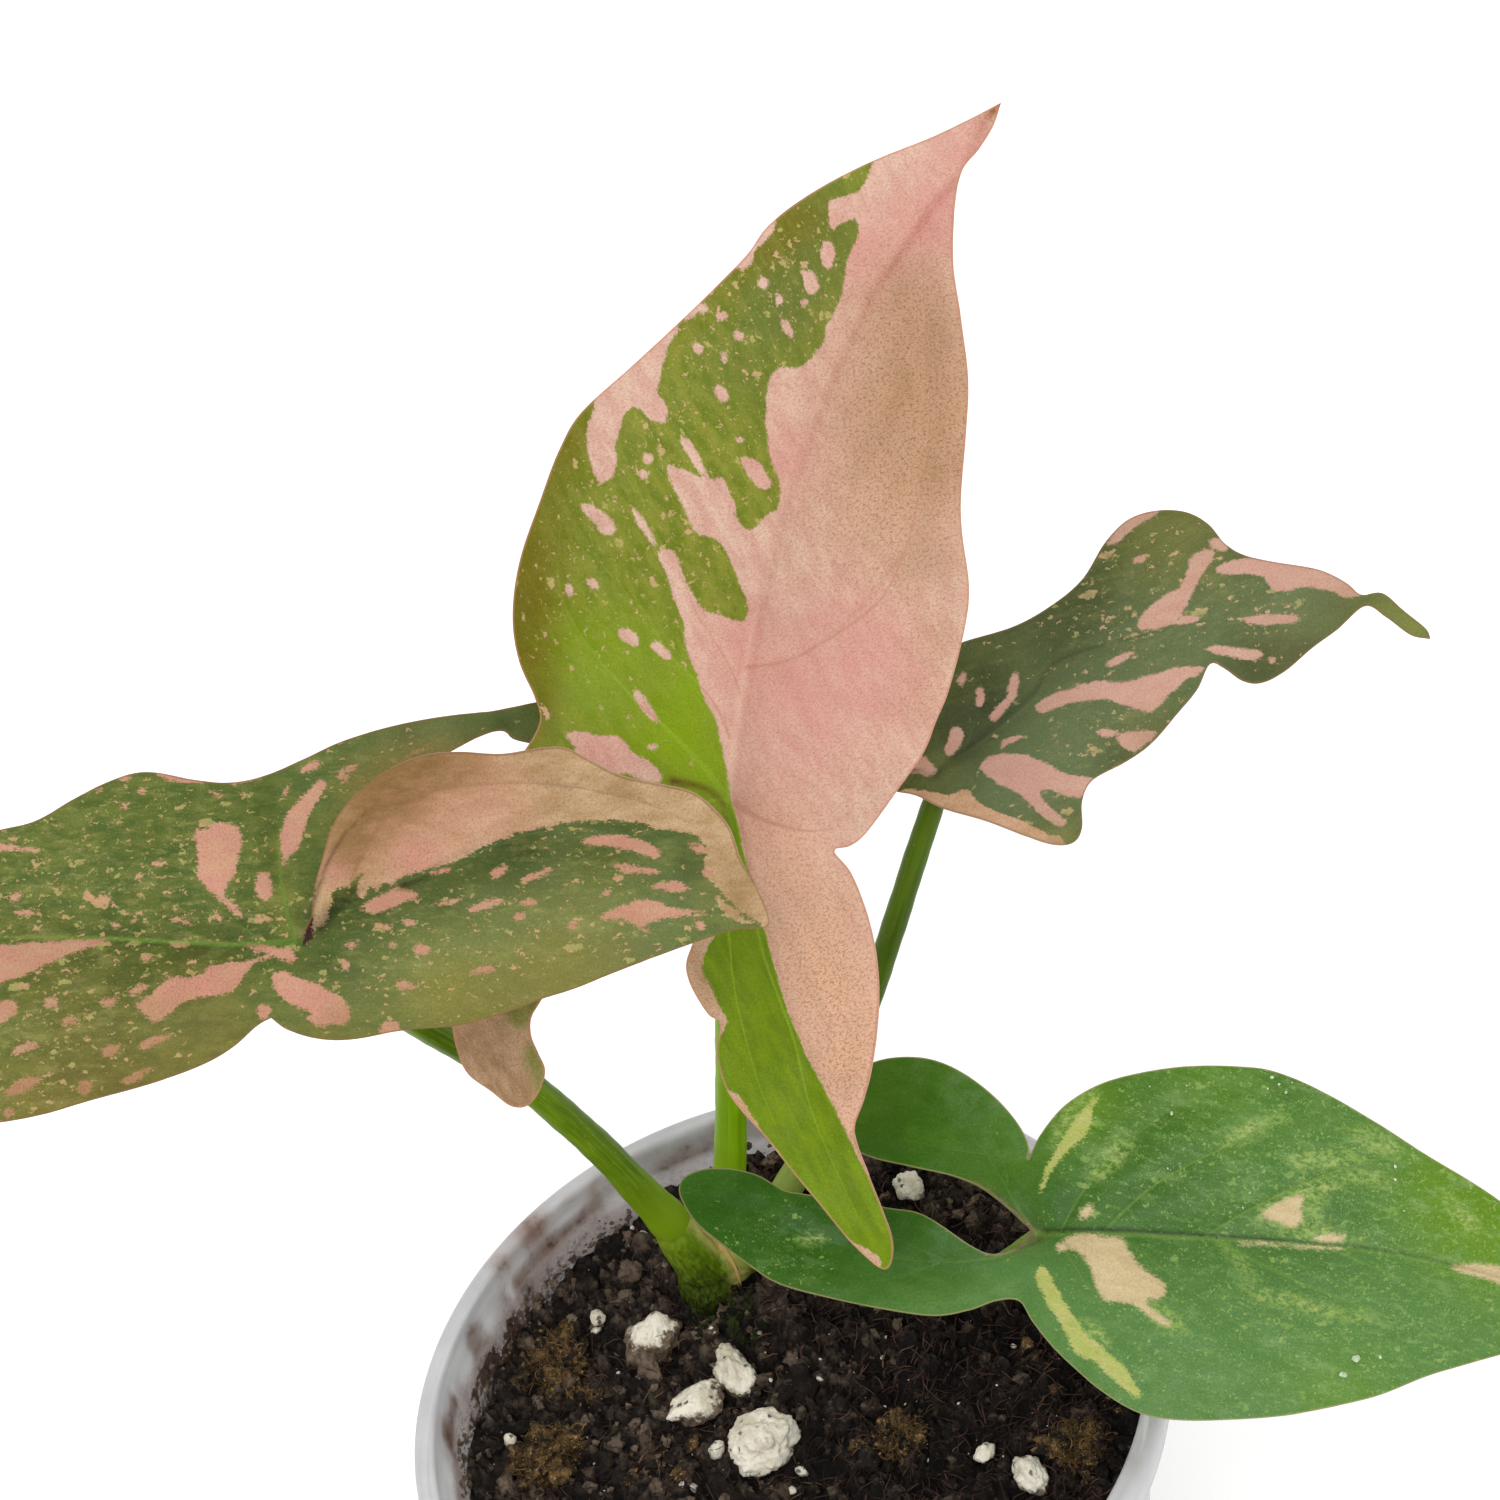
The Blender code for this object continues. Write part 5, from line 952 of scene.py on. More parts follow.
MARKINGS["leaf_low_right"]["shade"] = [[
    ([(1046, 1231), (1112, 1230), (1202, 1235), (1291, 1241), (1380, 1250),
      (1447, 1264), (1550, 1292)], 3.4, 0.75),
    ([(1103, 1231), (1120, 1212), (1160, 1179), (1225, 1144), (1290, 1117)], 2.6,
     0.28),
    ([(1202, 1236), (1240, 1212), (1290, 1187), (1335, 1169), (1376, 1157)], 3.2,
     0.34),
    ([(1052, 1230), (1036, 1240), (1020, 1246), (1008, 1248)], 5.0, 0.45),
    ([(1060, 1230), (1085, 1188), (1120, 1148)], 2.4, 0.22),
    ([(1042, 1224), (1020, 1190), (990, 1150), (955, 1122)], 3.0, 0.30),
    ([(1036, 1226), (1006, 1200), (975, 1180)], 2.6, 0.25),
    ([(1041, 1243), (1000, 1252), (950, 1257), (880, 1251), (820, 1234)], 2.2, 0.4)]]
MARKINGS["leaf_back_right"]["marks"]["blush"] = MARKINGS["leaf_back_right"]["marks"][
    "blush"] + [[(895, 752), (916, 754), (930, 762), (927, 771), (912, 774),
                 (895, 774)]]
MARKINGS["leaf_upright"]["side"][0] += [
    ([(900, 186), (918, 217), (925, 300), (926, 376), (922, 450), (914, 529),
      (890, 568), (862, 592)], 1.5, 0.5)]
# Painted light: the lower right lobe is lightened where it turns away from the lamps.
MARKINGS["leaf_upright"]["tones"]["sun"] = [
    (775, 830, 40, 0.5), (790, 880, 45, 0.8), (810, 940, 48, 1.0),
    (835, 1000, 48, 0.9), (850, 1060, 44, 0.8), (862, 1130, 40, 0.75),
    (872, 1200, 34, 0.75)]
MARKINGS["leaf_upright"]["tones"]["bark"] = [
    (470, 1040, 24, 0.7), (500, 1060, 22, 0.8), (520, 1100, 24, 0.8),
    (490, 1090, 20, 0.6), (500, 1015, 18, 0.6), (540, 1040, 14, 0.7),
    (1000, 102, 12, 1.0), (708, 975, 12, 0.5), (920, 380, 44, 0.35),
    (880, 440, 40, 0.25), (945, 470, 34, 0.4), (905, 290, 30, 0.25),
    (930, 560, 30, 0.25), (945, 330, 30, 0.3)]
# Olive-brown at the curled upper rim of the folded half: painted shade of the curl.
MARKINGS["leaf_left"]["tones"]["bark"] = [
    (390, 790, 36, 1.0, 1), (420, 765, 30, 0.9, 1), (365, 820, 26, 0.8, 1),
    (345, 850, 20, 0.7, 1), (460, 760, 30, 0.5, 1), (750, 905, 30, 0.4, 1),
    (530, 740, 26, 0.4, 1), (630, 770, 30, 0.3, 1)]
# -------------------------------------------------------------- leaf surfaces
def on_leaf(leaf, q, height):
    """Sheet points q lifted on to the leaf plane raised by height (mm)."""
    ax, ay, world_y = leaf["anchor"]
    n = unit(leaf["normal"])
    origin = spot(ax, ay, world_y)
    d = sight(q[:, 0], q[:, 1])
    t = (n @ (origin - EYE) + height) / (d @ n)
    return EYE + d * t[:, None]


def leaf_height(leaf, sheet=0):
    """Height function of a sheet: smooth cupping plus its valley folds."""
    folds = [(resample(line, 12.0), slope, rounding)
             for line, slope, rounding in leaf["folds"][sheet]]

    def crease(q):
        total = np.zeros(len(q))
        for line, slope, rounding in folds:
            d, along = line_distance(q, line)
            fade = np.clip((1.04 - along) / 0.35, 0, 1)
            reach = 55.0
            d = reach * np.tanh(d / reach)
            total += slope * fade * (np.sqrt(d * d + rounding ** 2) - rounding)
        return total

    rows = np.array(leaf["heights"][sheet], float)
    ctrl, want = rows[:, :2], rows[:, 2]
    if sheet:
        seam = resample(leaf["seam"], 12.0)
        side = np.gradient(seam, axis=0)
        side = np.stack([side[:, 1], -side[:, 0]], 1)
        side /= np.linalg.norm(side, axis=1)[:, None]
        side[side[:, 0] < 0] *= -1
        joint = np.vstack([seam, seam + 14.0 * side])
        ctrl = np.vstack([ctrl, joint])
        want = np.r_[want, leaf_height(leaf, 0)(joint)]
    smooth = thin_plate(ctrl, want - crease(ctrl))
    return lambda q: smooth(q) + crease(q)


def tree_of(points):
    tree = KDTree(len(points))
    for i, p in enumerate(points):
        tree.insert((p[0], p[1], 0.0), i)
    tree.balance()
    return tree


def clear_of(tree, q, gap):
    """Which points q are further than gap from everything in the tree."""
    return np.array([tree.find((p[0], p[1], 0.0))[2] > gap for p in q], bool)


def fine_net(ring, lines, cell):
    """Triangles that fill an outline; veins become edges with rows beside."""
    pts = [tuple(p) for p in ring]
    edges = [(i, (i + 1) % len(ring)) for i in range(len(ring))]
    rows = []
    for line, half, _ in lines:
        body = resample(line, cell * 0.85)
        body = body[inside(ring, body)]
        if len(body) < 3:
            continue
        keep = clear_of(tree_of(pts), body, cell * 0.5)
        base = len(pts)
        kept = np.where(keep)[0]
        pts += [tuple(body[i]) for i in kept]
        edges += [(base + a, base + a + 1) for a in range(len(kept) - 1)
                  if kept[a + 1] == kept[a] + 1]
        side = np.gradient(body, axis=0)
        side = np.stack([side[:, 1], -side[:, 0]], 1)
        side /= np.maximum(np.linalg.norm(side, axis=1)[:, None], 1e-9)
        for off in (-2.0 * half, -half, half, 2.0 * half):
            rows.append(body + side * off)
    for row in rows:
        row = row[inside(ring, row)]
        if not len(row):
            continue
        row = row[clear_of(tree_of(pts), row, cell * 0.38)]
        pts += [tuple(p) for p in row]
    lo, hi = ring.min(0), ring.max(0)
    grid = []
    for j, gy in enumerate(np.arange(lo[1] + cell * 0.5, hi[1], cell * 0.87)):
        for gx in np.arange(lo[0] + (0.25 + 0.5 * (j % 2)) * cell, hi[0], cell):
            grid.append((gx, gy))
    grid = np.array(grid)
    grid = grid[inside(ring, grid)]
    grid = grid[clear_of(tree_of(pts), grid, cell * 0.62)]
    pts += [tuple(p) for p in grid]
    vs, _, fs, _, _, _ = delaunay_2d_cdt(
        [Vector(p) for p in pts], edges, [list(range(len(ring)))], 1, 1e-4)
    return np.array([tuple(v) for v in vs]), [tuple(f) for f in fs]


def tent(q, veins):
    """How strongly a point lies on one of the veins (1 on the line)."""
    best = np.zeros(len(q))
    for line, half, strength in veins:
        fine = resample(line, 6.0)
        lo, hi = fine.min(0) - 3 * half - 2, fine.max(0) + 3 * half + 2
        near = np.where((q > lo).all(1) & (q < hi).all(1))[0]
        if not len(near):
            continue
        d, along = line_distance(q[near], fine)
        width = half * 2.0 * (1.0 - 0.6 * along)
        s = strength * (1.0 - 0.5 * along) * np.clip(1 - d / width, 0, 1)
        best[near] = np.maximum(best[near], s)
    return best


def near_veins(q, veins):
    """Distance to the closest vein line, in sheet units."""
    best = np.full(len(q), 60.0)
    for line, _, _ in veins:
        fine = resample(line, 8.0)
        lo, hi = fine.min(0) - 60, fine.max(0) + 60
        near = np.where((q > lo).all(1) & (q < hi).all(1))[0]
        if len(near):
            best[near] = np.minimum(best[near], line_distance(q[near], fine)[0])
    return best


def calm(height, faces, rim_d, limit=0.13):
    """Smooths the few places where two fold lines meet in a step."""
    tri = np.array(faces)
    a = np.concatenate([tri[:, 0], tri[:, 1], tri[:, 2]])
    b = np.concatenate([tri[:, 1], tri[:, 2], tri[:, 0]])
    a, b = np.concatenate([a, b]), np.concatenate([b, a])
    count = np.maximum(np.bincount(a, minlength=len(height)), 1)

    def around(values):
        return np.bincount(a, weights=values[b], minlength=len(height)) / count

    rough = (np.abs(around(height) - height) > limit) & (rim_d > 3.0)
    weight = rough.astype(float)
    for _ in range(4):
        weight = np.maximum(weight, (around(weight) > 0.05).astype(float))
    for _ in range(3):
        weight = 0.5 * weight + 0.5 * around(weight)
    for _ in range(60):
        height = height + 0.6 * weight * (around(height) - height)
    return height


def leaf_piece(name, edge_step=3.8, cell=3.9):
    """Thin closed blade with vein relief and the drawn markings as attributes."""
    leaf, marks = LEAVES[name], MARKINGS[name]
    seam = resample(leaf["seam"], edge_step) if "seam" in leaf else None
    points, sheet_of, key, verts, faces = [], [], {}, [], []
    for k, outline in enumerate(leaf["sheets"]):
        if seam is None:
            ring = resample(list(outline) + [outline[0]], edge_step)[:-1]
            margin = np.vstack([ring, ring[:1]])
        else:
            margin = resample(outline, edge_step)
            ring = np.vstack([margin, (seam if k == 0 else seam[::-1])[1:-1]])
        veins = marks["main"][k] + marks["side"][k]
        v, f = fine_net(ring, veins, cell)
        height = leaf_height(leaf, k)(v)
        # Puffed cells between the veins, sunk veins and a little unevenness.
        d_main = near_veins(v, marks["main"][k])
        d_side = near_veins(v, marks["side"][k])
        height += 0.26 * (1 - np.exp(-(d_side / 16.0) ** 2)) * smoothstep(0, 26, d_main)
        height -= 0.16 * tent(v, marks["main"][k]) + 0.10 * tent(v, marks["side"][k])
        rim_d, _ = line_distance(v, margin)
        height += 0.22 * wobble(v, 46.0, 3.3) * smoothstep(70, 0, rim_d)
        height += 0.10 * wobble(v, 20.0, 8.1)
        height = calm(height, f, rim_d)
        lifted = on_leaf(leaf, v, height)
        index = {}
        for i in sorted({i for face in f for i in face}):
            tag = (k, i)
            if seam is not None:
                near = np.linalg.norm(seam - v[i], axis=1)
                if near.min() < 0.05:
                    tag = ("seam", int(near.argmin()))
                    if tag in key:
                        index[i] = key[tag]
                        continue
            key[tag] = len(verts)
            index[i] = len(verts)
            verts.append(lifted[i])
            points.append(v[i])
            sheet_of.append((k, rim_d[i]))
        for face in f:
            a, b, c = (v[i] for i in face)
            turn = (b[0] - a[0]) * (c[1] - a[1]) - (b[1] - a[1]) * (c[0] - a[0])
            face = face if turn < 0 else face[::-1]
            faces.append(tuple(index[i] for i in face))
    p, q = np.array(verts), np.array(points)
    sheet = np.array([s[0] for s in sheet_of])
    rim_d = np.array([s[1] for s in sheet_of])
    tri = np.array(faces)
    face_n = np.cross(p[tri[:, 1]] - p[tri[:, 0]], p[tri[:, 2]] - p[tri[:, 0]])
    n = np.zeros_like(p)
    for c in range(3):
        np.add.at(n, tri[:, c], face_n)
    n /= np.maximum(np.linalg.norm(n, axis=1)[:, None], 1e-12)

    # Drawn markings, per sheet.
    layers = sorted({key_.replace("_2", "") for key_ in marks["marks"]})
    values = {}
    for layer in layers:
        out = np.full(len(q), -40.0)
        for k in range(len(leaf["sheets"])):
            shapes = marks["marks"].get(layer if k == 0 else layer + "_2", [])
            pick = sheet == k
            if shapes and pick.any():
                out[pick] = blotch_distance(q[pick], shapes)
        values["m_" + layer] = out
    for tone, dabs in marks["tones"].items():
        out = np.zeros(len(q))
        for dab in dabs:
            x, y, r, s = dab[:4]
            w = s * np.exp(-((q[:, 0] - x) ** 2 + (q[:, 1] - y) ** 2) / (r * r))
            if len(dab) > 4:
                w = w * (sheet == dab[4])
            out = 1 - (1 - out) * (1 - np.clip(w, 0, 1))
        values["t_" + tone] = out
    main, side = np.zeros(len(q)), np.zeros(len(q))
    for k in range(len(leaf["sheets"])):
        pick = sheet == k
        main[pick] = tent(q[pick], marks["main"][k])
        side[pick] = tent(q[pick], marks["side"][k])
    values["v_main"], values["v_side"] = main, side
    dark = np.zeros(len(q))
    for k, lines in enumerate(marks["shade"]):
        pick = sheet == k
        dark[pick] = tent(q[pick], lines)
    values["v_shade"] = dark
    values["rim"] = rim_d

    # Two skins: thin at the margin, with the veins raised underneath.
    half = 0.08 + 0.15 * smoothstep(0, 14, rim_d)
    under = half + 0.40 * main * smoothstep(0, 10, rim_d) + 0.14 * side
    top, low = p + n * half[:, None], p - n * under[:, None]
    count = len(p)
    all_v = np.vstack([top, low])
    all_f = [tuple(f) for f in faces] + [(c + count, b + count, a + count)
                                         for a, b, c in faces]
    seen = {}
    for a, b, c in faces:
        for e in ((a, b), (b, c), (c, a)):
            seen[e] = seen.get(e, 0) + 1
    for a, b in seen:
        if (b, a) not in seen:
            all_f.append((b, a, a + count, b + count))
    mesh = bpy.data.meshes.new(name)
    mesh.from_pydata([tuple(v) for v in (all_v * MM).tolist()], [], all_f)
    mesh.update()
    for label, out in values.items():
        store(mesh, label, np.r_[out, out])
    coords = np.zeros((2 * count, 3))
    coords[:, :2] = np.vstack([q, q]) / 100.0
    store_vector(mesh, "sheet", coords)
    store(mesh, "back", np.r_[np.zeros(count), np.ones(count)])
    mesh.shade_smooth()
    mesh.set_sharp_from_angle(angle=math.radians(62))
    piece = bpy.data.objects.new("visual_" + name, mesh)
    bpy.context.collection.objects.link(piece)
    return piece


# --------------------------------------------------------------- mesh helpers
def store(mesh, name, values):
    a = mesh.attributes.new(name, "FLOAT", "POINT")
    a.data.foreach_set("value", np.asarray(values, np.float32))


def store_vector(mesh, name, values):
    a = mesh.attributes.new(name, "FLOAT_VECTOR", "POINT")
    a.data.foreach_set("vector", np.asarray(values, np.float32).ravel())


def new_piece(name, verts, faces, smooth=True, clean=True):
    """Object from vertices in mm."""
    mesh = bpy.data.meshes.new(name)
    mesh.from_pydata([tuple(float(c) * MM for c in v) for v in verts], [], faces)
    mesh.update()
    if clean:
        bm = bmesh.new()
        bm.from_mesh(mesh)
        bmesh.ops.recalc_face_normals(bm, faces=bm.faces)
        bm.to_mesh(mesh)
        bm.free()
    if smooth:
        mesh.shade_smooth()
    obj = bpy.data.objects.new(name, mesh)
    bpy.context.collection.objects.link(obj)
    return obj


def tube_mesh(points, radii, sides=10, flatten=1.0, cap=0.45):
    """Closed tube with rounded ends (mm): vertices, faces, ring parameters."""
    p = np.asarray(points, float)
    r = np.asarray(radii, float)
    tangent = np.gradient(p, axis=0)
    tangent /= np.maximum(np.linalg.norm(tangent, axis=1)[:, None], 1e-9)
    side = np.cross(tangent[0], [0.0, 1.0, 0.0])
    if np.linalg.norm(side) < 1e-6:
        side = np.cross(tangent[0], [1.0, 0.0, 0.0])
    side /= np.linalg.norm(side)
    verts, rings, param = [], [], []
    run = np.r_[0, np.cumsum(np.linalg.norm(np.diff(p, axis=0), axis=1))]
    for i, (c, t) in enumerate(zip(p, tangent)):
        side = side - (side @ t) * t
        side /= np.linalg.norm(side)
        up = np.cross(t, side)
        ring = []
        for k in range(sides):
            a = 2 * math.pi * k / sides
            ring.append(len(verts))
            verts.append(c + r[i] * (math.cos(a) * side
                                     + flatten * math.sin(a) * up))
            param.append((math.cos(a) * r[i], math.sin(a) * r[i], run[i]))
        rings.append(ring)
    faces = []
    for a, b in zip(rings[:-1], rings[1:]):
        for k in range(sides):
            faces.append((a[k], a[(k + 1) % sides], b[(k + 1) % sides], b[k]))
    for ring, c, t, rad, s in ((rings[0], p[0], -tangent[0], r[0], 0.0),
                               (rings[-1], p[-1], tangent[-1], r[-1], run[-1])):
        tip = len(verts)
        verts.append(c + t * rad * cap)
        param.append((0.0, 0.0, s))
        for k in range(sides):
            faces.append((ring[k], ring[(k + 1) % sides], tip))
    return verts, faces, param


# ------------------------------------------------------------------- materials
def tone(r, g, b, a=1.0):
    """Linear colour from the usual 0 to 255 numbers."""
    def lin(c):
        c = c / 255.0
        return c / 12.92 if c <= 0.04045 else ((c + 0.055) / 1.055) ** 2.4
    return (lin(r), lin(g), lin(b), a)


class Nodes:
    """Short names for building a material's nodes."""

    def __init__(self, name):
        self.mat = bpy.data.materials.new(name)
        self.mat.use_nodes = True
        self.tree = self.mat.node_tree
        self.tree.nodes.clear()
        self.out = self.tree.nodes.new("ShaderNodeOutputMaterial")

    def put(self, socket, value):
        if isinstance(value, bpy.types.NodeSocket):
            self.tree.links.new(value, socket)
        elif value is not None:
            if hasattr(socket.default_value, "__len__"):
                n = len(socket.default_value)
                value = tuple(value)[:n] if hasattr(value, "__len__") else (value,) * n
                if len(value) < n:
                    value = value + (1.0,) * (n - len(value))
            socket.default_value = value

    def new(self, kind, **inputs):
        node = self.tree.nodes.new(kind)
        for label, value in inputs.items():
            self.put(node.inputs[label], value)
        return node

    def math(self, op, a, b=None, clamp=False):
        node = self.tree.nodes.new("ShaderNodeMath")
        node.operation, node.use_clamp = op, clamp
        self.put(node.inputs[0], a)
        if b is not None:
            self.put(node.inputs[1], b)
        return node.outputs[0]

    def vmath(self, op, a, b=None):
        node = self.tree.nodes.new("ShaderNodeVectorMath")
        node.operation = op
        self.put(node.inputs[0], a)
        if b is not None:
            self.put(node.inputs[1], b)
        return node.outputs[0]

    def smooth(self, x, lo, hi, a=0.0, b=1.0):
        node = self.tree.nodes.new("ShaderNodeMapRange")
        node.interpolation_type = "SMOOTHSTEP"
        for i, value in enumerate((x, lo, hi, a, b)):
            self.put(node.inputs[i], value)
        return node.outputs[0]

    def mix(self, f, a, b, blend="MIX"):
        node = self.tree.nodes.new("ShaderNodeMix")
        node.data_type, node.blend_type = "RGBA", blend
        self.put(node.inputs[0], f)
        self.put(node.inputs[6], a)
        self.put(node.inputs[7], b)
        return node.outputs[2]

    def attr(self, name, vector=False):
        node = self.tree.nodes.new("ShaderNodeAttribute")
        node.attribute_type, node.attribute_name = "GEOMETRY", name
        return node.outputs["Vector" if vector else "Fac"]

    def noise(self, vec, scale, detail=2.0, rough=0.5, distort=0.0):
        node = self.new("ShaderNodeTexNoise", Vector=vec, Scale=scale, Detail=detail,
                        Roughness=rough, Distortion=distort)
        return node.outputs["Fac"]

    def cells(self, vec, scale, feature="F1", rand=1.0):
        node = self.tree.nodes.new("ShaderNodeTexVoronoi")
        node.feature = feature
        self.put(node.inputs["Vector"], vec)
        self.put(node.inputs["Scale"], scale)
        self.put(node.inputs["Randomness"], rand)
        return node

    def mapped(self, vec, turn=0.0, scale=(1, 1, 1)):
        """The vector turned about Z (degrees), then stretched."""
        turned = self.new("ShaderNodeVectorRotate", Vector=vec,
                          Angle=math.radians(turn))
        return self.vmath("MULTIPLY", turned.outputs[0], scale)

    def split(self, colour):
        node = self.new("ShaderNodeSeparateColor", Color=colour)
        return node.outputs

    def bump(self, height, strength, distance, normal=None):
        node = self.new("ShaderNodeBump", Height=height, Strength=strength,
                        Distance=distance)
        if normal is not None:
            self.put(node.inputs["Normal"], normal)
        return node.outputs[0]

    def finish(self, shader):
        self.tree.links.new(shader, self.out.inputs["Surface"])
        return self.mat


def leaf_material(name, look, marks):
    """Living leaf: mottled green, drawn blotches, specks, veins, pale rim."""
    m = Nodes(name)
    xy = m.attr("sheet", vector=True)
    rim = m.attr("rim")
    back = m.attr("back")
    has = set(marks["tones"])
    dab = {t: m.attr("t_" + t) for t in has}
    layers = {k.replace("_2", "") for k in marks["marks"]}
    streak = m.mapped(xy, look["turn"], (0.42, 1.0, 1.0))
    broad = m.noise(xy, 2.6, 3.0, 0.55)
    mottle = m.noise(streak, 7.0, 4.0, 0.62)
    fine = m.noise(xy, 30.0, 3.0, 0.65)
    dust = m.noise(xy, 62.0, 2.0, 0.6)

    # Ragged edges of the blotches: fine streaks along the side veins.
    rag = m.noise(m.mapped(xy, look["turn"], (0.5, 1.3, 1.0)), 12.0, 3.0, 0.6)
    rag2 = m.noise(xy, 5.0, 2.0, 0.5)
    ragged = m.math("ADD", m.math("MULTIPLY", m.math("SUBTRACT", rag, 0.5),
                                  look.get("rag", 9.0)),
                    m.math("MULTIPLY", m.math("SUBTRACT", rag2, 0.5), 3.0))
    ragged = m.math("ADD", ragged, m.math("MULTIPLY", m.math("SUBTRACT", m.noise(
        m.mapped(xy, look["turn"], (0.6, 1.0, 1.0)), 44.0, 3.0, 0.7), 0.5),
        look.get("feather", 3.0)))

    def mask(label, soft=0.8, lift=0.0, k=1.0):
        edge = m.math("ADD", m.attr("m_" + label),
                      m.math("MULTIPLY", ragged, k) if k != 1.0 else ragged)
        return m.smooth(m.math("ADD", edge, lift), -soft, soft)

    green = m.mix(m.smooth(mottle, 0.36, 0.64), tone(*look["green"][0]),
                  tone(*look["green"][1]))
    if "cool" in has:
        green = m.mix(dab["cool"], green, tone(*look["cool"]))
    # Lighter yellow-green dabs: partly the leaf's own tone, partly painted light, a sheen and
    # light shining through the blade.
    if "glow" in has:
        green = m.mix(dab["glow"], green, tone(*look["glow"]))
    # Darker dabs: partly the leaf's own tone, partly painted shade where the blade bends away or
    # lies under a fold.
    if "dark" in has:
        green = m.mix(m.math("MULTIPLY", dab["dark"],
                             m.smooth(broad, 0.15, 0.6, 0.65, 1.0)),
                      green, tone(*look["dark"]))
    if "warm" in has:
        green = m.mix(m.math("MULTIPLY", dab["warm"], look.get("warm_green", 0.4)),
                      green, tone(*look["warm"]))
    # Pale flecks, stretched along the side veins.
    density = dab["speck"]
    shift = m.new("ShaderNodeTexNoise", Vector=xy, Scale=11.0, Detail=3.0,
                  Roughness=0.65).outputs["Color"]
    bent_xy = m.vmath("ADD", xy, m.vmath("MULTIPLY", m.vmath(
        "SUBTRACT", shift, (0.5, 0.5, 0.5)), (0.16, 0.16, 0.16)))
    fleck_total = None
    for scale, size, share, strength in look["flecks"]:
        cell = m.cells(m.mapped(bent_xy, look["turn"], (look["stretch"], 1.0, 1.0)),
                       scale)
        rgb = m.split(cell.outputs["Color"])
        radius = m.smooth(rgb[0], 0.0, 1.0, size * 0.35, size)
        bent = m.math("ADD", cell.outputs["Distance"],
                      m.math("MULTIPLY", m.math("SUBTRACT", rag, 0.5), 0.35))
        spot_mask = m.smooth(m.math("DIVIDE", bent, radius), 1.15, 0.75)
        there = m.smooth(m.math("SUBTRACT", m.math("MULTIPLY", density, share),
                                rgb[1]), -0.02, 0.03)
        part = m.math("MULTIPLY", m.math("MULTIPLY", spot_mask, there), strength)
        fleck_total = part if fleck_total is None else m.math("MAXIMUM", fleck_total,
                                                              part)
    haze = m.math("MULTIPLY", m.math(
        "MAXIMUM", m.smooth(m.noise(streak, 12.0, 4.0, 0.7), 0.50, 0.72),
        m.smooth(m.noise(streak, 4.5, 5.0, 0.7), 0.52, 0.66, 0.0, 0.8)),
        m.math("MULTIPLY", density, look.get("haze", 0.35)), clamp=True)
    fleck = m.mix(m.smooth(m.noise(xy, 4.5, 2.0, 0.5), 0.40, 0.60),
                  tone(*look["fleck"][0]), tone(*look["fleck"][1]))
    colour = m.mix(haze, green, tone(*look.get("veil", look["fleck"][1])))
    colour = m.mix(fleck_total, colour, fleck)

    pale = None
    for label in ("lime", "mist", "straw", "cream", "tan", "blush", "moss", "inky"):
        if label not in layers:
            continue
        a, b = look[label]
        body = m.mix(m.smooth(mottle, 0.35, 0.68), tone(*a), tone(*b))
        if label in ("blush", "tan"):
            if "warm" in has:
                body = m.mix(m.math("MULTIPLY", dab["warm"],
                                    m.smooth(broad, 0.2, 0.65, 0.7, 1.0)),
                             body, tone(*look["warm"]))
            if "rose" in has:
                body = m.mix(m.math("MULTIPLY", dab["rose"],
                                    m.smooth(broad, 0.8, 0.35, 0.6, 1.0)),
                             body, tone(*look["rose"]))
            # Painted light: the pale parts are lightened where they lie in shade.
            if "sun" in has:
                body = m.mix(m.math("MULTIPLY", dab["sun"],
                                    m.smooth(broad, 0.25, 0.6, 0.75, 1.0)),
                             body, tone(*look["sun"]))
            # Olive-brown mottling of the leaf; on the left leaf also painted shade at the curled
            # rim of the fold.
            if "bark" in has:
                body = m.mix(m.math("MULTIPLY", dab["bark"],
                                    m.smooth(mottle, 0.36, 0.60, 0.45, 0.95)),
                             body, tone(*look["bark"]))
            # Sandy grain of leftover brown cells.
            sand = m.math("MULTIPLY", m.math(
                "MAXIMUM", m.smooth(m.noise(xy, 30.0, 4.0, 0.8), 0.50, 0.62),
                m.smooth(m.noise(m.mapped(xy, look["turn"] + 90, (0.5, 1.2, 1.0)),
                                 50.0, 2.0, 0.8), 0.54, 0.66)), look["sand"])
            amount = look.get("sand_tan", 0.9) if label == "tan" else 0.62
            if "warm" in has and label != "tan":
                amount = m.math("ADD", m.math("MULTIPLY", dab["warm"], 0.7), 0.62)
            if "sun" in has:
                amount = m.math("ADD", amount, m.math("MULTIPLY", dab["sun"], 0.2))
            sand = m.math("MULTIPLY", sand, amount)
            body = m.mix(sand, body, tone(*look["sand_colour"]))
            pepper = m.cells(xy, 13.0)
            dots = m.math("MULTIPLY",
                          m.smooth(pepper.outputs["Distance"], 0.10, 0.05),
                          m.smooth(m.split(pepper.outputs["Color"])[1], 0.80, 0.86))
            body = m.mix(m.math("MULTIPLY", dots, look.get("pepper", 0.5)), body,
                         tone(70, 45, 30))
        elif label == "straw":
            body = m.mix(m.smooth(m.noise(streak, 22.0, 4.0, 0.7), 0.60, 0.74, 0, 0.6),
                         body, green)
        elif label == "lime" and "glow" in has:
            body = m.mix(m.smooth(m.noise(m.mapped(xy, look["turn"], (0.15, 1, 1)),
                                          9.0, 3.0), 0.4, 0.7, 0.0, 0.35),
                         body, tone(*look["glow"]))
        here = mask(label, *look.get("edge_" + label, (0.8,)))
        if label == "mist":
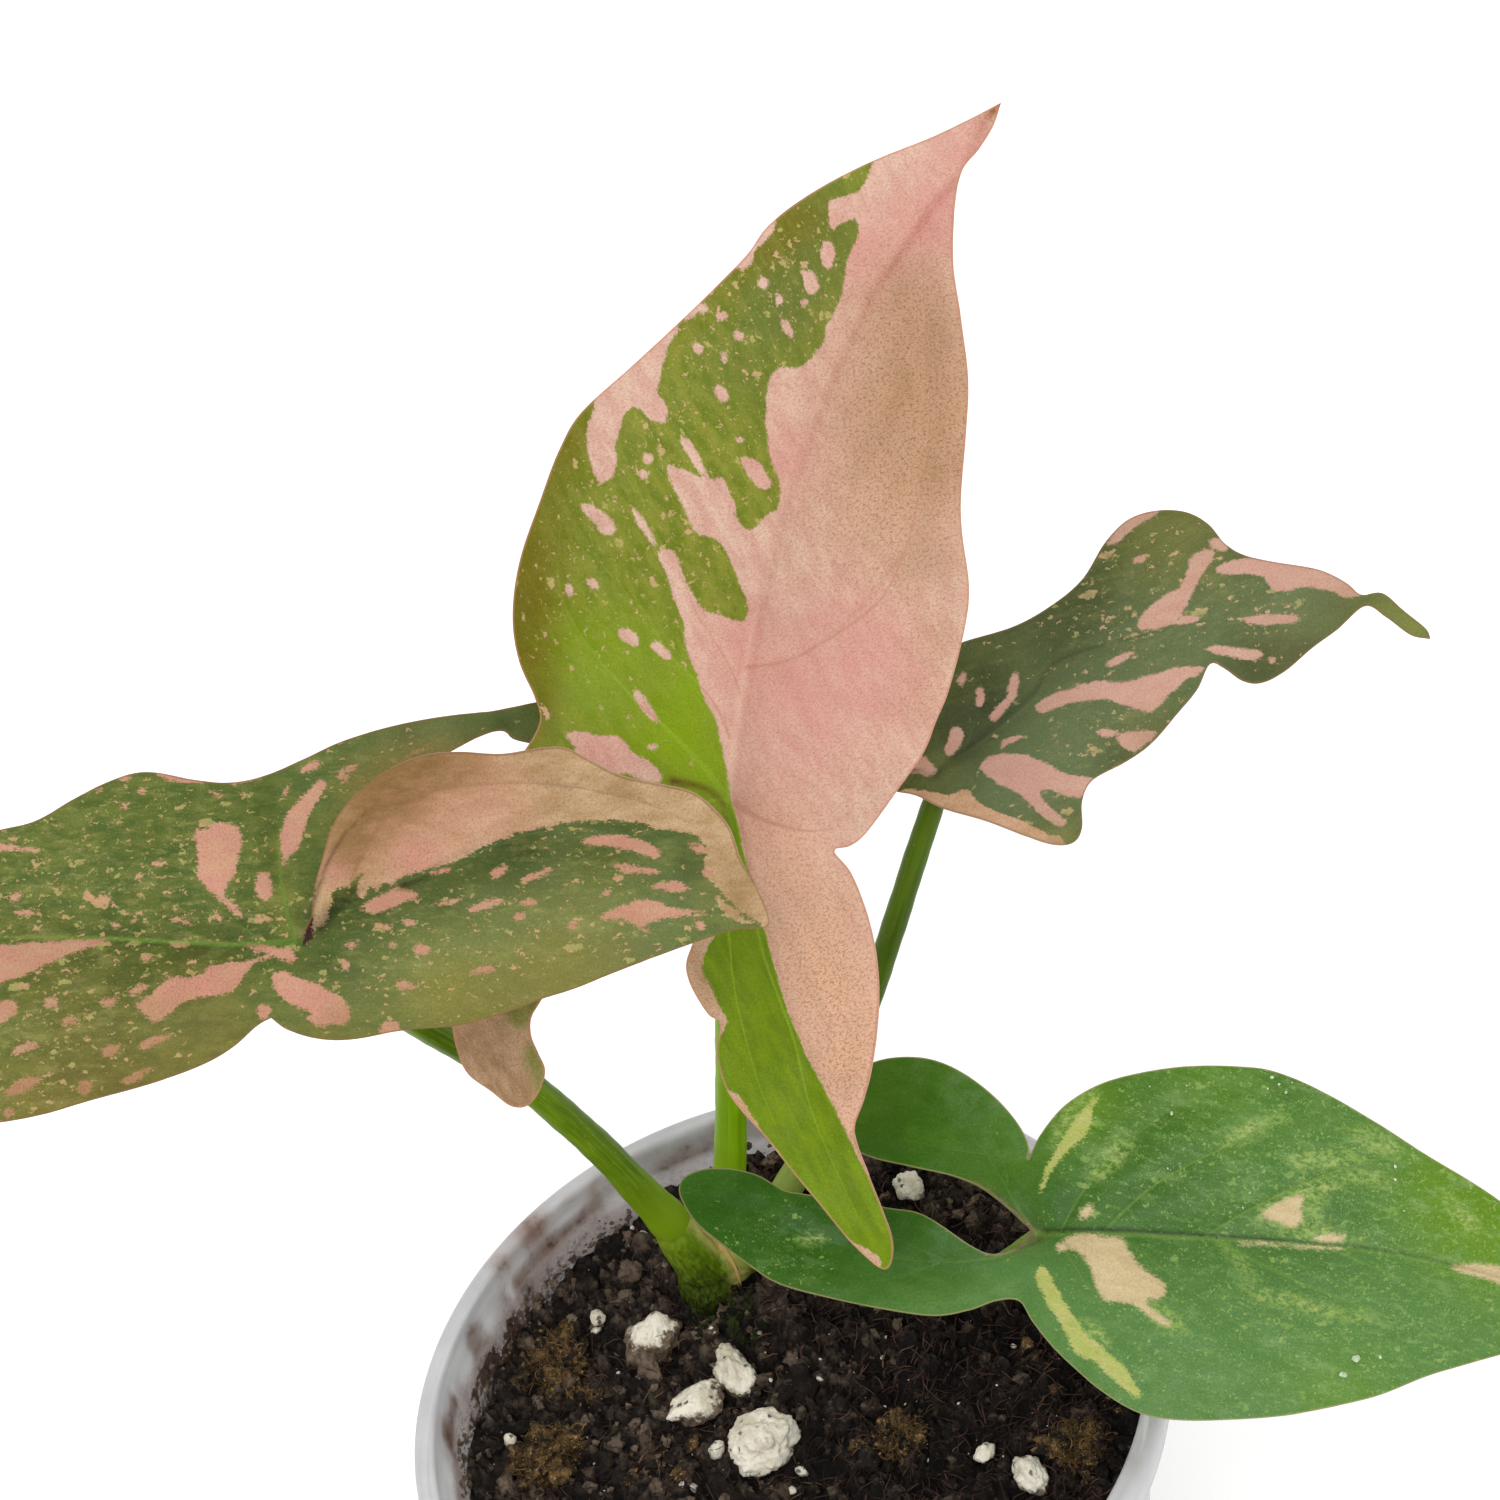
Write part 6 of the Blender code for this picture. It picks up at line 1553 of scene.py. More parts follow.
            # Pale cells show through only here and there.
            here = m.math("MULTIPLY", here, m.smooth(
                m.noise(m.mapped(xy, look["turn"], (0.7, 1.0, 1.0)), 17.0, 5.0, 0.75),
                0.42, 0.60, 0.08, 0.92))
        elif label == "moss":
            here = m.math("MULTIPLY", here, m.smooth(fine, 0.35, 0.6, 0.7, 1.0))
        colour = m.mix(here, colour, body)
        if label in ("tan", "blush", "cream"):
            pale = here if pale is None else m.math("MAXIMUM", pale, here)
    # Veins: light on green, slightly lighter or darker on the pale parts.
    v_main = m.smooth(m.attr("v_main"), 0.30, 0.85)
    v_side = m.math("MULTIPLY", m.smooth(m.attr("v_side"), 0.12, 0.62), 0.8)
    pale_vein = tone(*look["vein_pale"])
    if "vein_high" in look:
        down = m.new("ShaderNodeSeparateXYZ", Vector=xy).outputs["Y"]
        pale_vein = m.mix(m.smooth(down, 5.4, 6.9), tone(*look["vein_high"]), pale_vein)
    vein_c = m.mix(pale, tone(*look["vein"]), pale_vein)
    on_pale = look.get("vein_on_pale", 1.0)
    v_main = m.math("MULTIPLY", v_main, m.smooth(pale, 0.0, 1.0, 1.0, on_pale))
    colour = m.mix(m.math("MULTIPLY", v_main, look["vein_main"]), colour, vein_c)
    vein_s = m.mix(pale, tone(*look["vein"]),
                   tone(*look.get("vein_thin", look["vein_pale"])))
    colour = m.mix(m.math("MULTIPLY", v_side, look["vein_side"]), colour, vein_s)
    net = m.cells(m.mapped(xy, look["turn"] + 20, (0.75, 1.0, 1.0)), 6.5,
                  "DISTANCE_TO_EDGE")
    mesh_line = m.smooth(net.outputs["Distance"], 0.085, 0.0)
    colour = m.mix(m.math("MULTIPLY", mesh_line, look["net"]), colour, vein_c)
    # Painted shade beside the folds and midribs, from the shade lines; some of these are dark
    # lines of the leaf itself.
    colour = m.mix(m.smooth(m.attr("v_shade"), 0.02, 0.9), colour,
                   m.mix(1.0, colour, tone(*look["shade"]), "MULTIPLY"))
    # A fine unevenness everywhere.
    colour = m.mix(m.smooth(fine, 0.30, 0.72, look["fine"], 0.0), colour,
                   (0.0, 0.0, 0.0, 1.0))
    colour = m.mix(m.smooth(dust, 0.58, 0.78, 0.0, look["fine"] * 0.8), colour,
                   tone(250, 240, 215))
    grain = m.noise(xy, 46.0, 3.0, 0.7)
    colour = m.mix(m.smooth(grain, 0.36, 0.60, 0.24, 0.0), colour,
                   m.mix(1.0, colour, (0.38, 0.33, 0.26, 1.0), "MULTIPLY"))
    # Thin pale margin.
    rim_tone, rim_at = tone(*look["rim"]), rim
    if "rim_warm" in look:
        rim_tone = m.mix(dab["warm"], rim_tone, tone(*look["rim_warm"]))
        rim_at = m.math("DIVIDE", rim, m.smooth(dab["warm"], 0.0, 1.0, 1.0, 3.2))
    edge = m.smooth(rim_at, look["rim_width"], look["rim_width"] * 0.35)
    colour = m.mix(m.math("MULTIPLY", edge, look["rim_strength"]), colour,
                   rim_tone)
    # Underside: paler and duller.
    under = m.mix(0.42, colour, m.mix(pale, tone(*look["under"]),
                                      tone(*look["under_pale"])))
    colour = m.mix(back, colour, under)
    rough = m.math("ADD", m.smooth(mottle, 0.3, 0.7, look["rough"] - 0.05,
                                   look["rough"] + 0.07),
                   m.math("MULTIPLY", back, 0.14))
    relief = m.math("ADD", m.math("MULTIPLY", fine, 0.5),
                    m.math("ADD", m.math("MULTIPLY", mottle, 0.5),
                           m.math("MULTIPLY", mesh_line, -0.16)))
    normal = m.bump(relief, 0.30, 0.0002)
    shader = m.new("ShaderNodeBsdfPrincipled")
    m.put(shader.inputs["Base Color"], colour)
    m.put(shader.inputs["Roughness"], rough)
    m.put(shader.inputs["Normal"], normal)
    shader.inputs["IOR"].default_value = 1.45
    shader.inputs["Specular IOR Level"].default_value = look["gloss"]
    glow = m.new("ShaderNodeBsdfTranslucent")
    m.put(glow.inputs["Color"], m.mix(1.0, colour, tone(*look["through"]), "MULTIPLY"))
    m.put(glow.inputs["Normal"], normal)
    both = m.tree.nodes.new("ShaderNodeMixShader")
    both.inputs[0].default_value = look.get("thin", 0.16)
    m.tree.links.new(shader.outputs[0], both.inputs[1])
    m.tree.links.new(glow.outputs[0], both.inputs[2])
    return m.finish(both.outputs[0])


BASE_LOOK = {
    "turn": 0.0, "stretch": 0.5, "rag": 6.0, "feather": 3.0, "gloss": 0.18,
    "flecks": [(6.4, 0.34, 0.55, 0.85), (15.0, 0.36, 0.50, 0.7)],
    "fleck": ((205, 165, 125), (175, 170, 110)),
    "vein": (150, 180, 70), "vein_pale": (232, 196, 170),
    "vein_main": 0.75, "vein_side": 0.45, "net": 0.03, "fine": 0.12,
    "rim": (170, 120, 90), "rim_width": 2.6, "rim_strength": 0.6,
    "under": (150, 168, 120), "under_pale": (222, 190, 170),
    "sand": 0.55, "sand_colour": (150, 98, 70), "shade": (120, 78, 66),
    "rough": 0.48, "through": (255, 250, 150), "pepper": 0.5,
}
LOOKS = {
    "leaf_upright": dict(
        BASE_LOOK, turn=-62.0, stretch=0.6,
        green=((108, 122, 24), (134, 139, 46)),
        glow=(130, 158, 4), dark=(112, 102, 0),
        blush=((214, 169, 153), (226, 193, 173)),
        warm=(200, 160, 124), rose=(216, 152, 142), sun=(238, 190, 158),
        bark=(140, 108, 66), moss=((112, 122, 34), (132, 130, 66)),
        tan=((212, 180, 149), (198, 163, 126)), edge_moss=(8.0, -1.0), sand=0.68,
        lime=((98, 125, 0), (114, 140, 0)), feather=7.0, edge_blush=(1.4, -0.6),
        vein=(146, 178, 40), vein_pale=(230, 200, 176), vein_high=(186, 124, 114),
        vein_on_pale=0.35, vein_thin=(186, 130, 104), cool=(100, 112, 44),
        shade=(196, 128, 108), vein_side=0.6,
        fleck=((212, 166, 132), (176, 168, 92)),
        flecks=[(7.5, 0.30, 0.50, 0.9), (13.0, 0.32, 0.75, 0.85),
                (27.0, 0.34, 0.70, 0.7)],
        sand_colour=(146, 98, 66), rim=(184, 128, 100), vein_main=0.6,
        warm_green=0.2, haze=0.30),
    "leaf_left": dict(
        BASE_LOOK, turn=4.0, stretch=0.42,
        green=((108, 118, 52), (82, 100, 42)), bark=(128, 98, 54),
        glow=(134, 138, 60), dark=(34, 60, 6),
        blush=((206, 149, 128), (206, 162, 132)),
        tan=((210, 180, 142), (190, 158, 114)),
        warm=(144, 112, 56), rose=(218, 150, 136), feather=13.0, rag=9.0,
        edge_blush=(1.6, -1.3), pepper=0.15,
        inky=((70, 32, 38), (52, 20, 28)),
        vein=(104, 142, 48), vein_pale=(150, 108, 74), vein_main=0.62,
        fleck=((204, 158, 120), (168, 162, 96)),
        flecks=[(6.0, 0.28, 0.42, 0.85), (11.0, 0.30, 0.72, 0.85),
                (23.0, 0.34, 0.75, 0.75)],
        rim=(132, 92, 60), rim_width=2.4, rim_strength=0.6, warm_green=0.5,
        shade=(104, 96, 62),
        sand_colour=(136, 94, 60), sand=0.55, sand_tan=0.85,
        cool=(102, 118, 70), haze=0.50, gloss=0.15),
    "leaf_back_right": dict(
        BASE_LOOK, turn=18.0, stretch=0.45,
        green=((92, 98, 42), (74, 84, 34)), feather=6.0, edge_blush=(1.4,),
        glow=(128, 134, 66), dark=(52, 60, 22),
        blush=((202, 156, 138), (208, 170, 150)),
        tan=((214, 176, 140), (200, 160, 120)),
        warm=(146, 124, 74), rose=(210, 164, 150),
        vein=(110, 128, 70), vein_pale=(218, 176, 156),
        fleck=((204, 168, 128), (158, 158, 96)),
        flecks=[(6.0, 0.28, 0.40, 0.85), (11.0, 0.30, 0.70, 0.85),
                (24.0, 0.34, 0.75, 0.75)],
        rim=(134, 98, 66), rim_width=2.4, rim_strength=0.5, sand=0.4,
        shade=(96, 110, 60), cool=(104, 120, 80), vein_main=0.35, haze=0.35,
        gloss=0.22),
    "leaf_low_right": dict(
        BASE_LOOK, turn=-14.0, stretch=0.7,
        green=((75, 120, 38), (93, 132, 54)),
        glow=(106, 146, 2), dark=(40, 88, 0),
        cool=(88, 130, 68), veil=(126, 160, 92),
        cream=((200, 178, 134), (210, 192, 150)),
        straw=((170, 180, 90), (188, 186, 114)),
        mist=((132, 166, 76), (168, 184, 104)),
        edge_straw=(1.6, -0.4), edge_cream=(3.0,), edge_mist=(7.0, 1.0),
        rim_warm=(112, 62, 66),
        warm=(116, 70, 60), rose=(212, 172, 136),
        vein=(118, 152, 52), vein_pale=(220, 200, 162),
        fleck=((150, 176, 96), (128, 164, 72)),
        flecks=[(8.0, 0.30, 0.42, 0.6), (14.0, 0.30, 0.60, 0.7),
                (26.0, 0.34, 0.80, 0.75), (46.0, 0.36, 0.85, 0.65)],
        rim=(176, 152, 112), rim_width=1.7, rim_strength=0.45,
        warm_green=0.35, haze=0.85, rough=0.36, gloss=0.22, feather=12.0,
        shade=(96, 112, 56), vein_main=0.45,
        under=(140, 172, 104), rag=8.0),
}
MARKINGS["leaf_low_right"]["tones"]["cool"] = [
    (1150, 1330, 120, 0.8), (1300, 1340, 130, 0.8), (1430, 1330, 110, 0.6),
    (900, 1290, 110, 0.3), (1030, 1270, 60, 0.7), (1560, 1330, 80, 0.5),
    (1330, 1200, 90, 0.5)]
MARKINGS["leaf_low_right"]["tones"]["dark"] += [
    (800, 1225, 110, 0.95), (930, 1120, 90, 0.70), (720, 1200, 60, 1.0),
    (1480, 1190, 60, 0.3)]
MARKINGS["leaf_back_right"]["tones"]["cool"] = [
    (1100, 665, 90, 0.7), (1010, 785, 70, 0.9), (1200, 640, 70, 0.6),
    (1290, 600, 60, 0.8), (1060, 740, 60, 0.7), (1000, 740, 40, 0.5)]
MARKINGS["leaf_left"]["tones"]["cool"] = [
    (560, 880, 110, 0.9), (440, 930, 90, 0.7), (420, 740, 80, 0.8, 0),
    (350, 990, 60, 0.4), (640, 930, 80, 0.8), (520, 730, 60, 0.6, 0)]
# The two dabs at the curled rim of the fold (sheet 1, upper left) are painted shade; the rest
# are the leaf's own warm tone.
MARKINGS["leaf_left"]["tones"]["warm"] += [
    (120, 1070, 90, 0.4), (60, 1000, 70, 0.3), (390, 790, 42, 1.0, 1),
    (350, 850, 36, 0.8, 1), (560, 955, 80, 0.35, 1), (430, 1010, 70, 0.3, 1)]
# More darker dabs, mostly painted shade along the left margin where the blade bends away.
MARKINGS["leaf_upright"]["tones"]["dark"] += [
    (570, 440, 30, 0.8), (600, 395, 24, 0.6), (640, 352, 22, 0.6),
    (690, 305, 26, 0.5), (760, 245, 30, 0.7), (790, 222, 26, 0.7),
    (535, 730, 18, 0.6), (517, 590, 30, 0.9), (515, 650, 22, 0.9)]
MARKINGS["leaf_upright"]["tones"]["warm"] += [
    (920, 380, 75, 0.75), (880, 430, 60, 0.5), (925, 470, 60, 0.6),
    (900, 300, 45, 0.5), (840, 520, 50, 0.3), (955, 430, 40, 0.6),
    (900, 560, 50, 0.4), (935, 640, 30, 0.6), (920, 700, 30, 0.4),
    (995, 106, 16, 1.0), (845, 1090, 40, 0.3)]


MARKINGS["leaf_upright"]["tones"]["cool"] = [
    (800, 260, 50, 0.8), (780, 310, 45, 0.9), (830, 225, 40, 0.7),
    (740, 360, 40, 0.5), (770, 400, 30, 0.4)]
MARKINGS["leaf_left"]["tones"]["dark"] += [
    (520, 850, 40, 0.5), (590, 850, 40, 0.35), (440, 890, 30, 0.5),
    (100, 1075, 50, 0.4), (380, 915, 30, 0.4), (190, 962, 40, 0.6),
    (250, 935, 34, 0.6), (120, 962, 50, 0.45), (330, 960, 40, 0.4),
    (40, 955, 50, 0.35), (160, 860, 60, 0.25), (262, 800, 30, 0.4)]
MARKINGS["leaf_left"]["tones"]["warm"] += [
    (30, 1130, 60, 0.6), (110, 1100, 40, 0.5), (230, 1040, 40, 0.5),
    (330, 1035, 40, 0.5), (200, 985, 40, 0.35)]
def stalk_material(name, base, pale, dark, low=None, rough=0.4, lit=0.35,
                   root_tone=None):
    """Smooth living stalk: long soft streaks, with a painted highlight where it faces the sky.
    """
    m = Nodes(name)
    run = m.attr("run", vector=True)
    streak = m.noise(m.vmath("MULTIPLY", run, (1.0, 1.0, 0.035)), 1.3, 3.0, 0.55)
    thin = m.noise(m.vmath("MULTIPLY", run, (1.0, 1.0, 0.02)), 6.0, 2.0, 0.55)
    patch = m.noise(m.vmath("MULTIPLY", run, (1.0, 1.0, 0.25)), 0.22, 3.0, 0.6)
    colour = m.mix(m.smooth(streak, 0.36, 0.64), tone(*dark), tone(*base))
    colour = m.mix(m.smooth(patch, 0.44, 0.68, 0.0, 0.45), colour, tone(*pale))
    colour = m.mix(m.smooth(thin, 0.50, 0.68, 0.0, 0.30), colour, tone(*pale))
    # Painted highlight: paler on the side that faces the light.
    way = m.new("ShaderNodeNewGeometry").outputs["Normal"]
    turn = m.vmath("MULTIPLY", way, (-0.75, -0.15, 0.65))
    part = m.new("ShaderNodeSeparateXYZ", Vector=turn)
    facing_light = m.math("ADD", part.outputs["X"], m.math("ADD", part.outputs["Y"],
                                                   part.outputs["Z"]))
    colour = m.mix(m.smooth(facing_light, 0.15, 0.95, 0.0, lit), colour, tone(*pale))
    speck = m.cells(m.vmath("MULTIPLY", run, (1.9, 1.9, 0.7)), 1.0)
    colour = m.mix(m.math("MULTIPLY", m.smooth(speck.outputs["Distance"], 0.14, 0.06),
                          0.30), colour, tone(170, 180, 96))
    if root_tone is not None:
        # The lower end takes on the colour of the stem.
        colour = m.mix(m.math("MULTIPLY", m.attr("foot"), m.smooth(
            streak, 0.2, 0.8, 1.0, 0.75)), colour, tone(*root_tone))
    if low is not None:
        # Darker and mossy where it enters the soil.
        down = m.attr("down")
        murk = m.noise(run, 1.6, 4.0, 0.75)
        streaky = m.noise(m.vmath("MULTIPLY", run, (1.0, 1.0, 0.3)), 2.4, 4.0, 0.7)
        wet_at = m.math("ADD", down, m.math("MULTIPLY", m.math(
            "SUBTRACT", m.math("ADD", m.math("MULTIPLY", murk, 0.5),
                               m.math("MULTIPLY", streaky, 0.5)), 0.5), 2.2))
        colour = m.mix(m.smooth(wet_at, 0.10, 0.75, 0.0, 0.75), colour,
                       tone(46, 58, 8))
        colour = m.mix(m.smooth(wet_at, 0.50, 1.05, 0.0, 0.96), colour,
                       tone(*low))
        colour = m.mix(m.math("MULTIPLY", m.attr("cream"),
                              m.smooth(streak, 0.3, 0.6, 0.4, 0.9)), colour,
                       tone(166, 160, 88))
    fine = m.noise(run, 9.0, 3.0, 0.6)
    colour = m.mix(m.smooth(fine, 0.3, 0.6, 0.10, 0.0), colour, (0, 0, 0, 1))
    shader = m.new("ShaderNodeBsdfPrincipled")
    m.put(shader.inputs["Base Color"], colour)
    m.put(shader.inputs["Roughness"], m.smooth(thin, 0.3, 0.7, rough - 0.05,
                                               rough + 0.1))
    shader.inputs["Specular IOR Level"].default_value = 0.16
    shader.inputs["Subsurface Weight"].default_value = 0.12
    shader.inputs["Subsurface Radius"].default_value = (0.4, 1.0, 0.15)
    shader.inputs["Subsurface Scale"].default_value = 0.0012
    m.put(shader.inputs["Normal"], m.bump(
        m.math("ADD", m.math("MULTIPLY", thin, 0.6), m.math("MULTIPLY", fine, 0.2)),
        0.25, 0.00015))
    return m.finish(shader.outputs[0])


def cup_material():
    """Milky see-through cup plastic, denser at the rolled rim, with soil dust."""
    m = Nodes("cup_plastic")
    pos = m.new("ShaderNodeTexCoord").outputs["Object"]
    place = m.new("ShaderNodeSeparateXYZ", Vector=pos)
    height = m.math("MULTIPLY", place.outputs["Z"], 1000.0)
    cloudy = m.noise(pos, 120.0, 4.0, 0.6)
    grainy = m.noise(pos, 900.0, 3.0, 0.6)
    drawn = m.noise(m.vmath("MULTIPLY", pos, (1.0, 1.0, 5.0)), 110.0, 3.0, 0.55)
    colour = m.mix(m.smooth(cloudy, 0.3, 0.7), tone(190, 190, 192),
                   tone(204, 204, 206))
    colour = m.mix(m.smooth(drawn, 0.45, 0.75, 0.0, 0.45), colour,
                   tone(172, 173, 177))
    # Dust and smears of peat, mostly inside and on the rim.
    dirt_at = m.attr("dirt")
    dirt_n = m.noise(pos, 420.0, 4.0, 0.72)
    dirt_f = m.noise(pos, 1500.0, 3.0, 0.7)
    dirt = m.smooth(m.math("ADD", m.math("MULTIPLY", dirt_n, 0.6),
                           m.math("ADD", m.math("MULTIPLY", dirt_f, 0.4),
                                  m.math("MULTIPLY", dirt_at, 0.24))), 0.56, 0.86)
    dirt = m.math("MULTIPLY", dirt, m.smooth(dirt_at, 0.05, 0.6))
    film = m.math("MULTIPLY", m.smooth(dirt_at, 0.0, 0.75),
                  m.smooth(cloudy, 0.30, 0.7, 0.80, 1.0))
    colour = m.mix(film, colour, tone(130, 103, 92))
    colour = m.mix(m.math("MULTIPLY", dirt, 0.8), colour, tone(76, 55, 45))
    # Peat caked on the wall just above the soil.
    caked = m.smooth(m.math("ADD", dirt_at, m.math("MULTIPLY", m.math(
        "SUBTRACT", m.math("ADD", m.math("MULTIPLY", dirt_n, 0.6),
                           m.math("MULTIPLY", dirt_f, 0.4)), 0.5), 1.3)), 0.78, 0.95)
    colour = m.mix(m.math("MULTIPLY", caked, 0.92), colour,
                   m.mix(m.smooth(dirt_f, 0.4, 0.62), tone(40, 28, 23),
                         tone(84, 64, 53)))
    rimmed = m.smooth(height, 64.5, 67.5)
    below = m.smooth(height, 60.5, 56.0)
    # Where crumbs of peat press on the wall from inside, it looks darker.
    crumbs = m.cells(m.vmath("ADD", pos, m.vmath("MULTIPLY", m.vmath(
        "SUBTRACT", m.new("ShaderNodeTexNoise", Vector=pos, Scale=420.0,
                          Detail=3.0).outputs["Color"], (0.5, 0.5, 0.5)),
        (0.003, 0.003, 0.003))), 330.0)
    pressed = m.math("MULTIPLY", below, m.smooth(m.math(
        "ADD", crumbs.outputs["Distance"], m.math("MULTIPLY", m.noise(
            pos, 900.0, 3.0, 0.6), 0.5)), 0.72, 0.42))
    colour = m.mix(m.math("MULTIPLY", below, 0.40), colour, tone(146, 130, 116))
    colour = m.mix(m.math("MULTIPLY", pressed, 0.60), colour, tone(84, 64, 50))
    # A few perlite grains show white where they touch the wall.
    touch = m.cells(m.vmath("ADD", pos, m.vmath("MULTIPLY", m.vmath(
        "SUBTRACT", m.new("ShaderNodeTexNoise", Vector=pos, Scale=700.0,
                          Detail=2.0).outputs["Color"], (0.5, 0.5, 0.5)),
        (0.0016, 0.0016, 0.0016))), 210.0)
    grains = m.math("MULTIPLY", m.smooth(touch.outputs["Distance"], 0.34, 0.24),
                    m.smooth(m.split(touch.outputs["Color"])[0], 0.84, 0.88))
    grains = m.math("MULTIPLY", grains, below)
    colour = m.mix(m.math("MULTIPLY", grains, 0.9), colour, tone(222, 217, 205))
    see = m.math("ADD", m.smooth(rimmed, 0.0, 1.0, 0.42, 0.74),
                 m.math("MULTIPLY", m.math("SUBTRACT", cloudy, 0.5), 0.12))
    see = m.math("SUBTRACT", see, m.math("MULTIPLY", below, 0.20))
    see = m.math("ADD", see, m.math("MULTIPLY", film, 0.50))
    see = m.math("MAXIMUM", see, m.math("MULTIPLY", dirt, 0.95), clamp=True)
    see = m.math("MAXIMUM", see, caked, clamp=True)
    see = m.math("MAXIMUM", see, m.math("MULTIPLY", grains, 0.62), clamp=True)
    shader = m.new("ShaderNodeBsdfPrincipled")
    m.put(shader.inputs["Base Color"], colour)
    m.put(shader.inputs["Roughness"], m.smooth(cloudy, 0.3, 0.7, 0.40, 0.52))
    m.put(shader.inputs["Alpha"], see)
    shader.inputs["IOR"].default_value = 1.49
    m.put(shader.inputs["Normal"], m.bump(
        m.math("ADD", m.math("MULTIPLY", drawn, 0.8), m.math("MULTIPLY", grainy, 0.04)),
        0.16, 0.0003))
    return m.finish(shader.outputs[0])


def earth_material(name, dark, mid, light, warm, scale=1.0, use_shade=False,
                   shadow_side=0.55):
    """Matt crumbly peat: dark pores, brown fibre and a few pale grains, with painted shadow on
    the side away from the light.
    """
    m = Nodes(name)
    pos = m.new("ShaderNodeTexCoord").outputs["Object"]
    lumps = m.noise(pos, 230.0 * scale, 5.0, 0.65)
    crumb = m.noise(pos, 900.0 * scale, 5.0, 0.72)
    sand = m.noise(pos, 2600.0 * scale, 3.0, 0.7)
    fibre_v = m.new("ShaderNodeVectorRotate", Vector=pos, Angle=0.7)
    strands = m.noise(m.vmath("MULTIPLY", fibre_v.outputs[0], (1.0, 0.22, 1.0)),
                      1500.0 * scale, 4.0, 0.7, 1.2)
    colour = m.mix(m.smooth(crumb, 0.40, 0.66), tone(*dark), tone(*mid))
    colour = m.mix(m.smooth(lumps, 0.50, 0.68, 0.0, 0.6), colour, tone(*light))
    colour = m.mix(m.smooth(strands, 0.58, 0.70, 0.0, 0.75), colour, tone(*warm))
    if use_shade:
        # Painted shade from the soil's relief: lighter on crumb tops, darker in pits. On the
        # crumbs and the moss this attribute is a random tone per piece.
        shade = m.attr("shade")
        colour = m.mix(m.smooth(shade, 0.35, 1.0, 0.0, 0.6), colour, tone(*light))
        colour = m.mix(m.smooth(shade, 0.55, 0.0, 0.0, 0.8), colour, tone(*dark))
    colour = m.mix(m.smooth(sand, 0.68, 0.76, 0.0, 0.55), colour, tone(150, 130, 108))
    if shadow_side:
        # Painted shadow: darker on the right, the side away from the light, where the leaves
        # shade the soil.
        side = m.math("MULTIPLY", m.new("ShaderNodeSeparateXYZ",
                                        Vector=pos).outputs["X"], 1000.0)
        side = m.math("ADD", side, m.math("MULTIPLY", m.math(
            "SUBTRACT", m.noise(pos, 160.0, 3.0, 0.6), 0.5), 22.0))
        ahead = m.smooth(m.math("MULTIPLY", m.new("ShaderNodeSeparateXYZ",
                                                  Vector=pos).outputs["Y"], 1000.0),
                         10.0, 1.0, 0.12, 1.0)
        gloom = m.math("MULTIPLY", m.smooth(side, -10.0, 6.0, 0.0, shadow_side), ahead)
        gloom = m.math("MULTIPLY", gloom, m.smooth(crumb, 0.47, 0.66, 1.0, 0.45))
        colour = m.mix(gloom, colour, tone(13, 7, 6))
    shader = m.new("ShaderNodeBsdfPrincipled")
    m.put(shader.inputs["Base Color"], colour)
    m.put(shader.inputs["Roughness"], m.smooth(lumps, 0.3, 0.7, 0.72, 0.97))
    shader.inputs["Specular IOR Level"].default_value = 0.2
    height = m.math("ADD", m.math("MULTIPLY", crumb, 0.6),
                    m.math("ADD", m.math("MULTIPLY", sand, 0.3),
                           m.math("MULTIPLY", strands, 0.4)))
    m.put(shader.inputs["Normal"], m.bump(height, 1.0, 0.0008))
    return m.finish(shader.outputs[0])


def fibre_material(name, a, b, c):
    """Thin plant fibre: colour changes from strand to strand."""
    m = Nodes(name)
    pos = m.new("ShaderNodeTexCoord").outputs["Object"]
    shade = m.attr("shade")
    n = m.noise(pos, 1400.0, 3.0, 0.6)
    colour = m.mix(m.smooth(shade, 0.0, 0.55), tone(*a), tone(*b))
    colour = m.mix(m.smooth(shade, 0.75, 1.0), colour, tone(*c))
    colour = m.mix(m.smooth(n, 0.3, 0.7, 0.45, 0.0), colour, tone(20, 13, 10))
    shader = m.new("ShaderNodeBsdfPrincipled")
    m.put(shader.inputs["Base Color"], colour)
    m.put(shader.inputs["Roughness"], m.smooth(n, 0.3, 0.7, 0.6, 0.85))
    shader.inputs["Specular IOR Level"].default_value = 0.25
    m.put(shader.inputs["Normal"], m.bump(n, 0.4, 0.0002))
    return m.finish(shader.outputs[0])


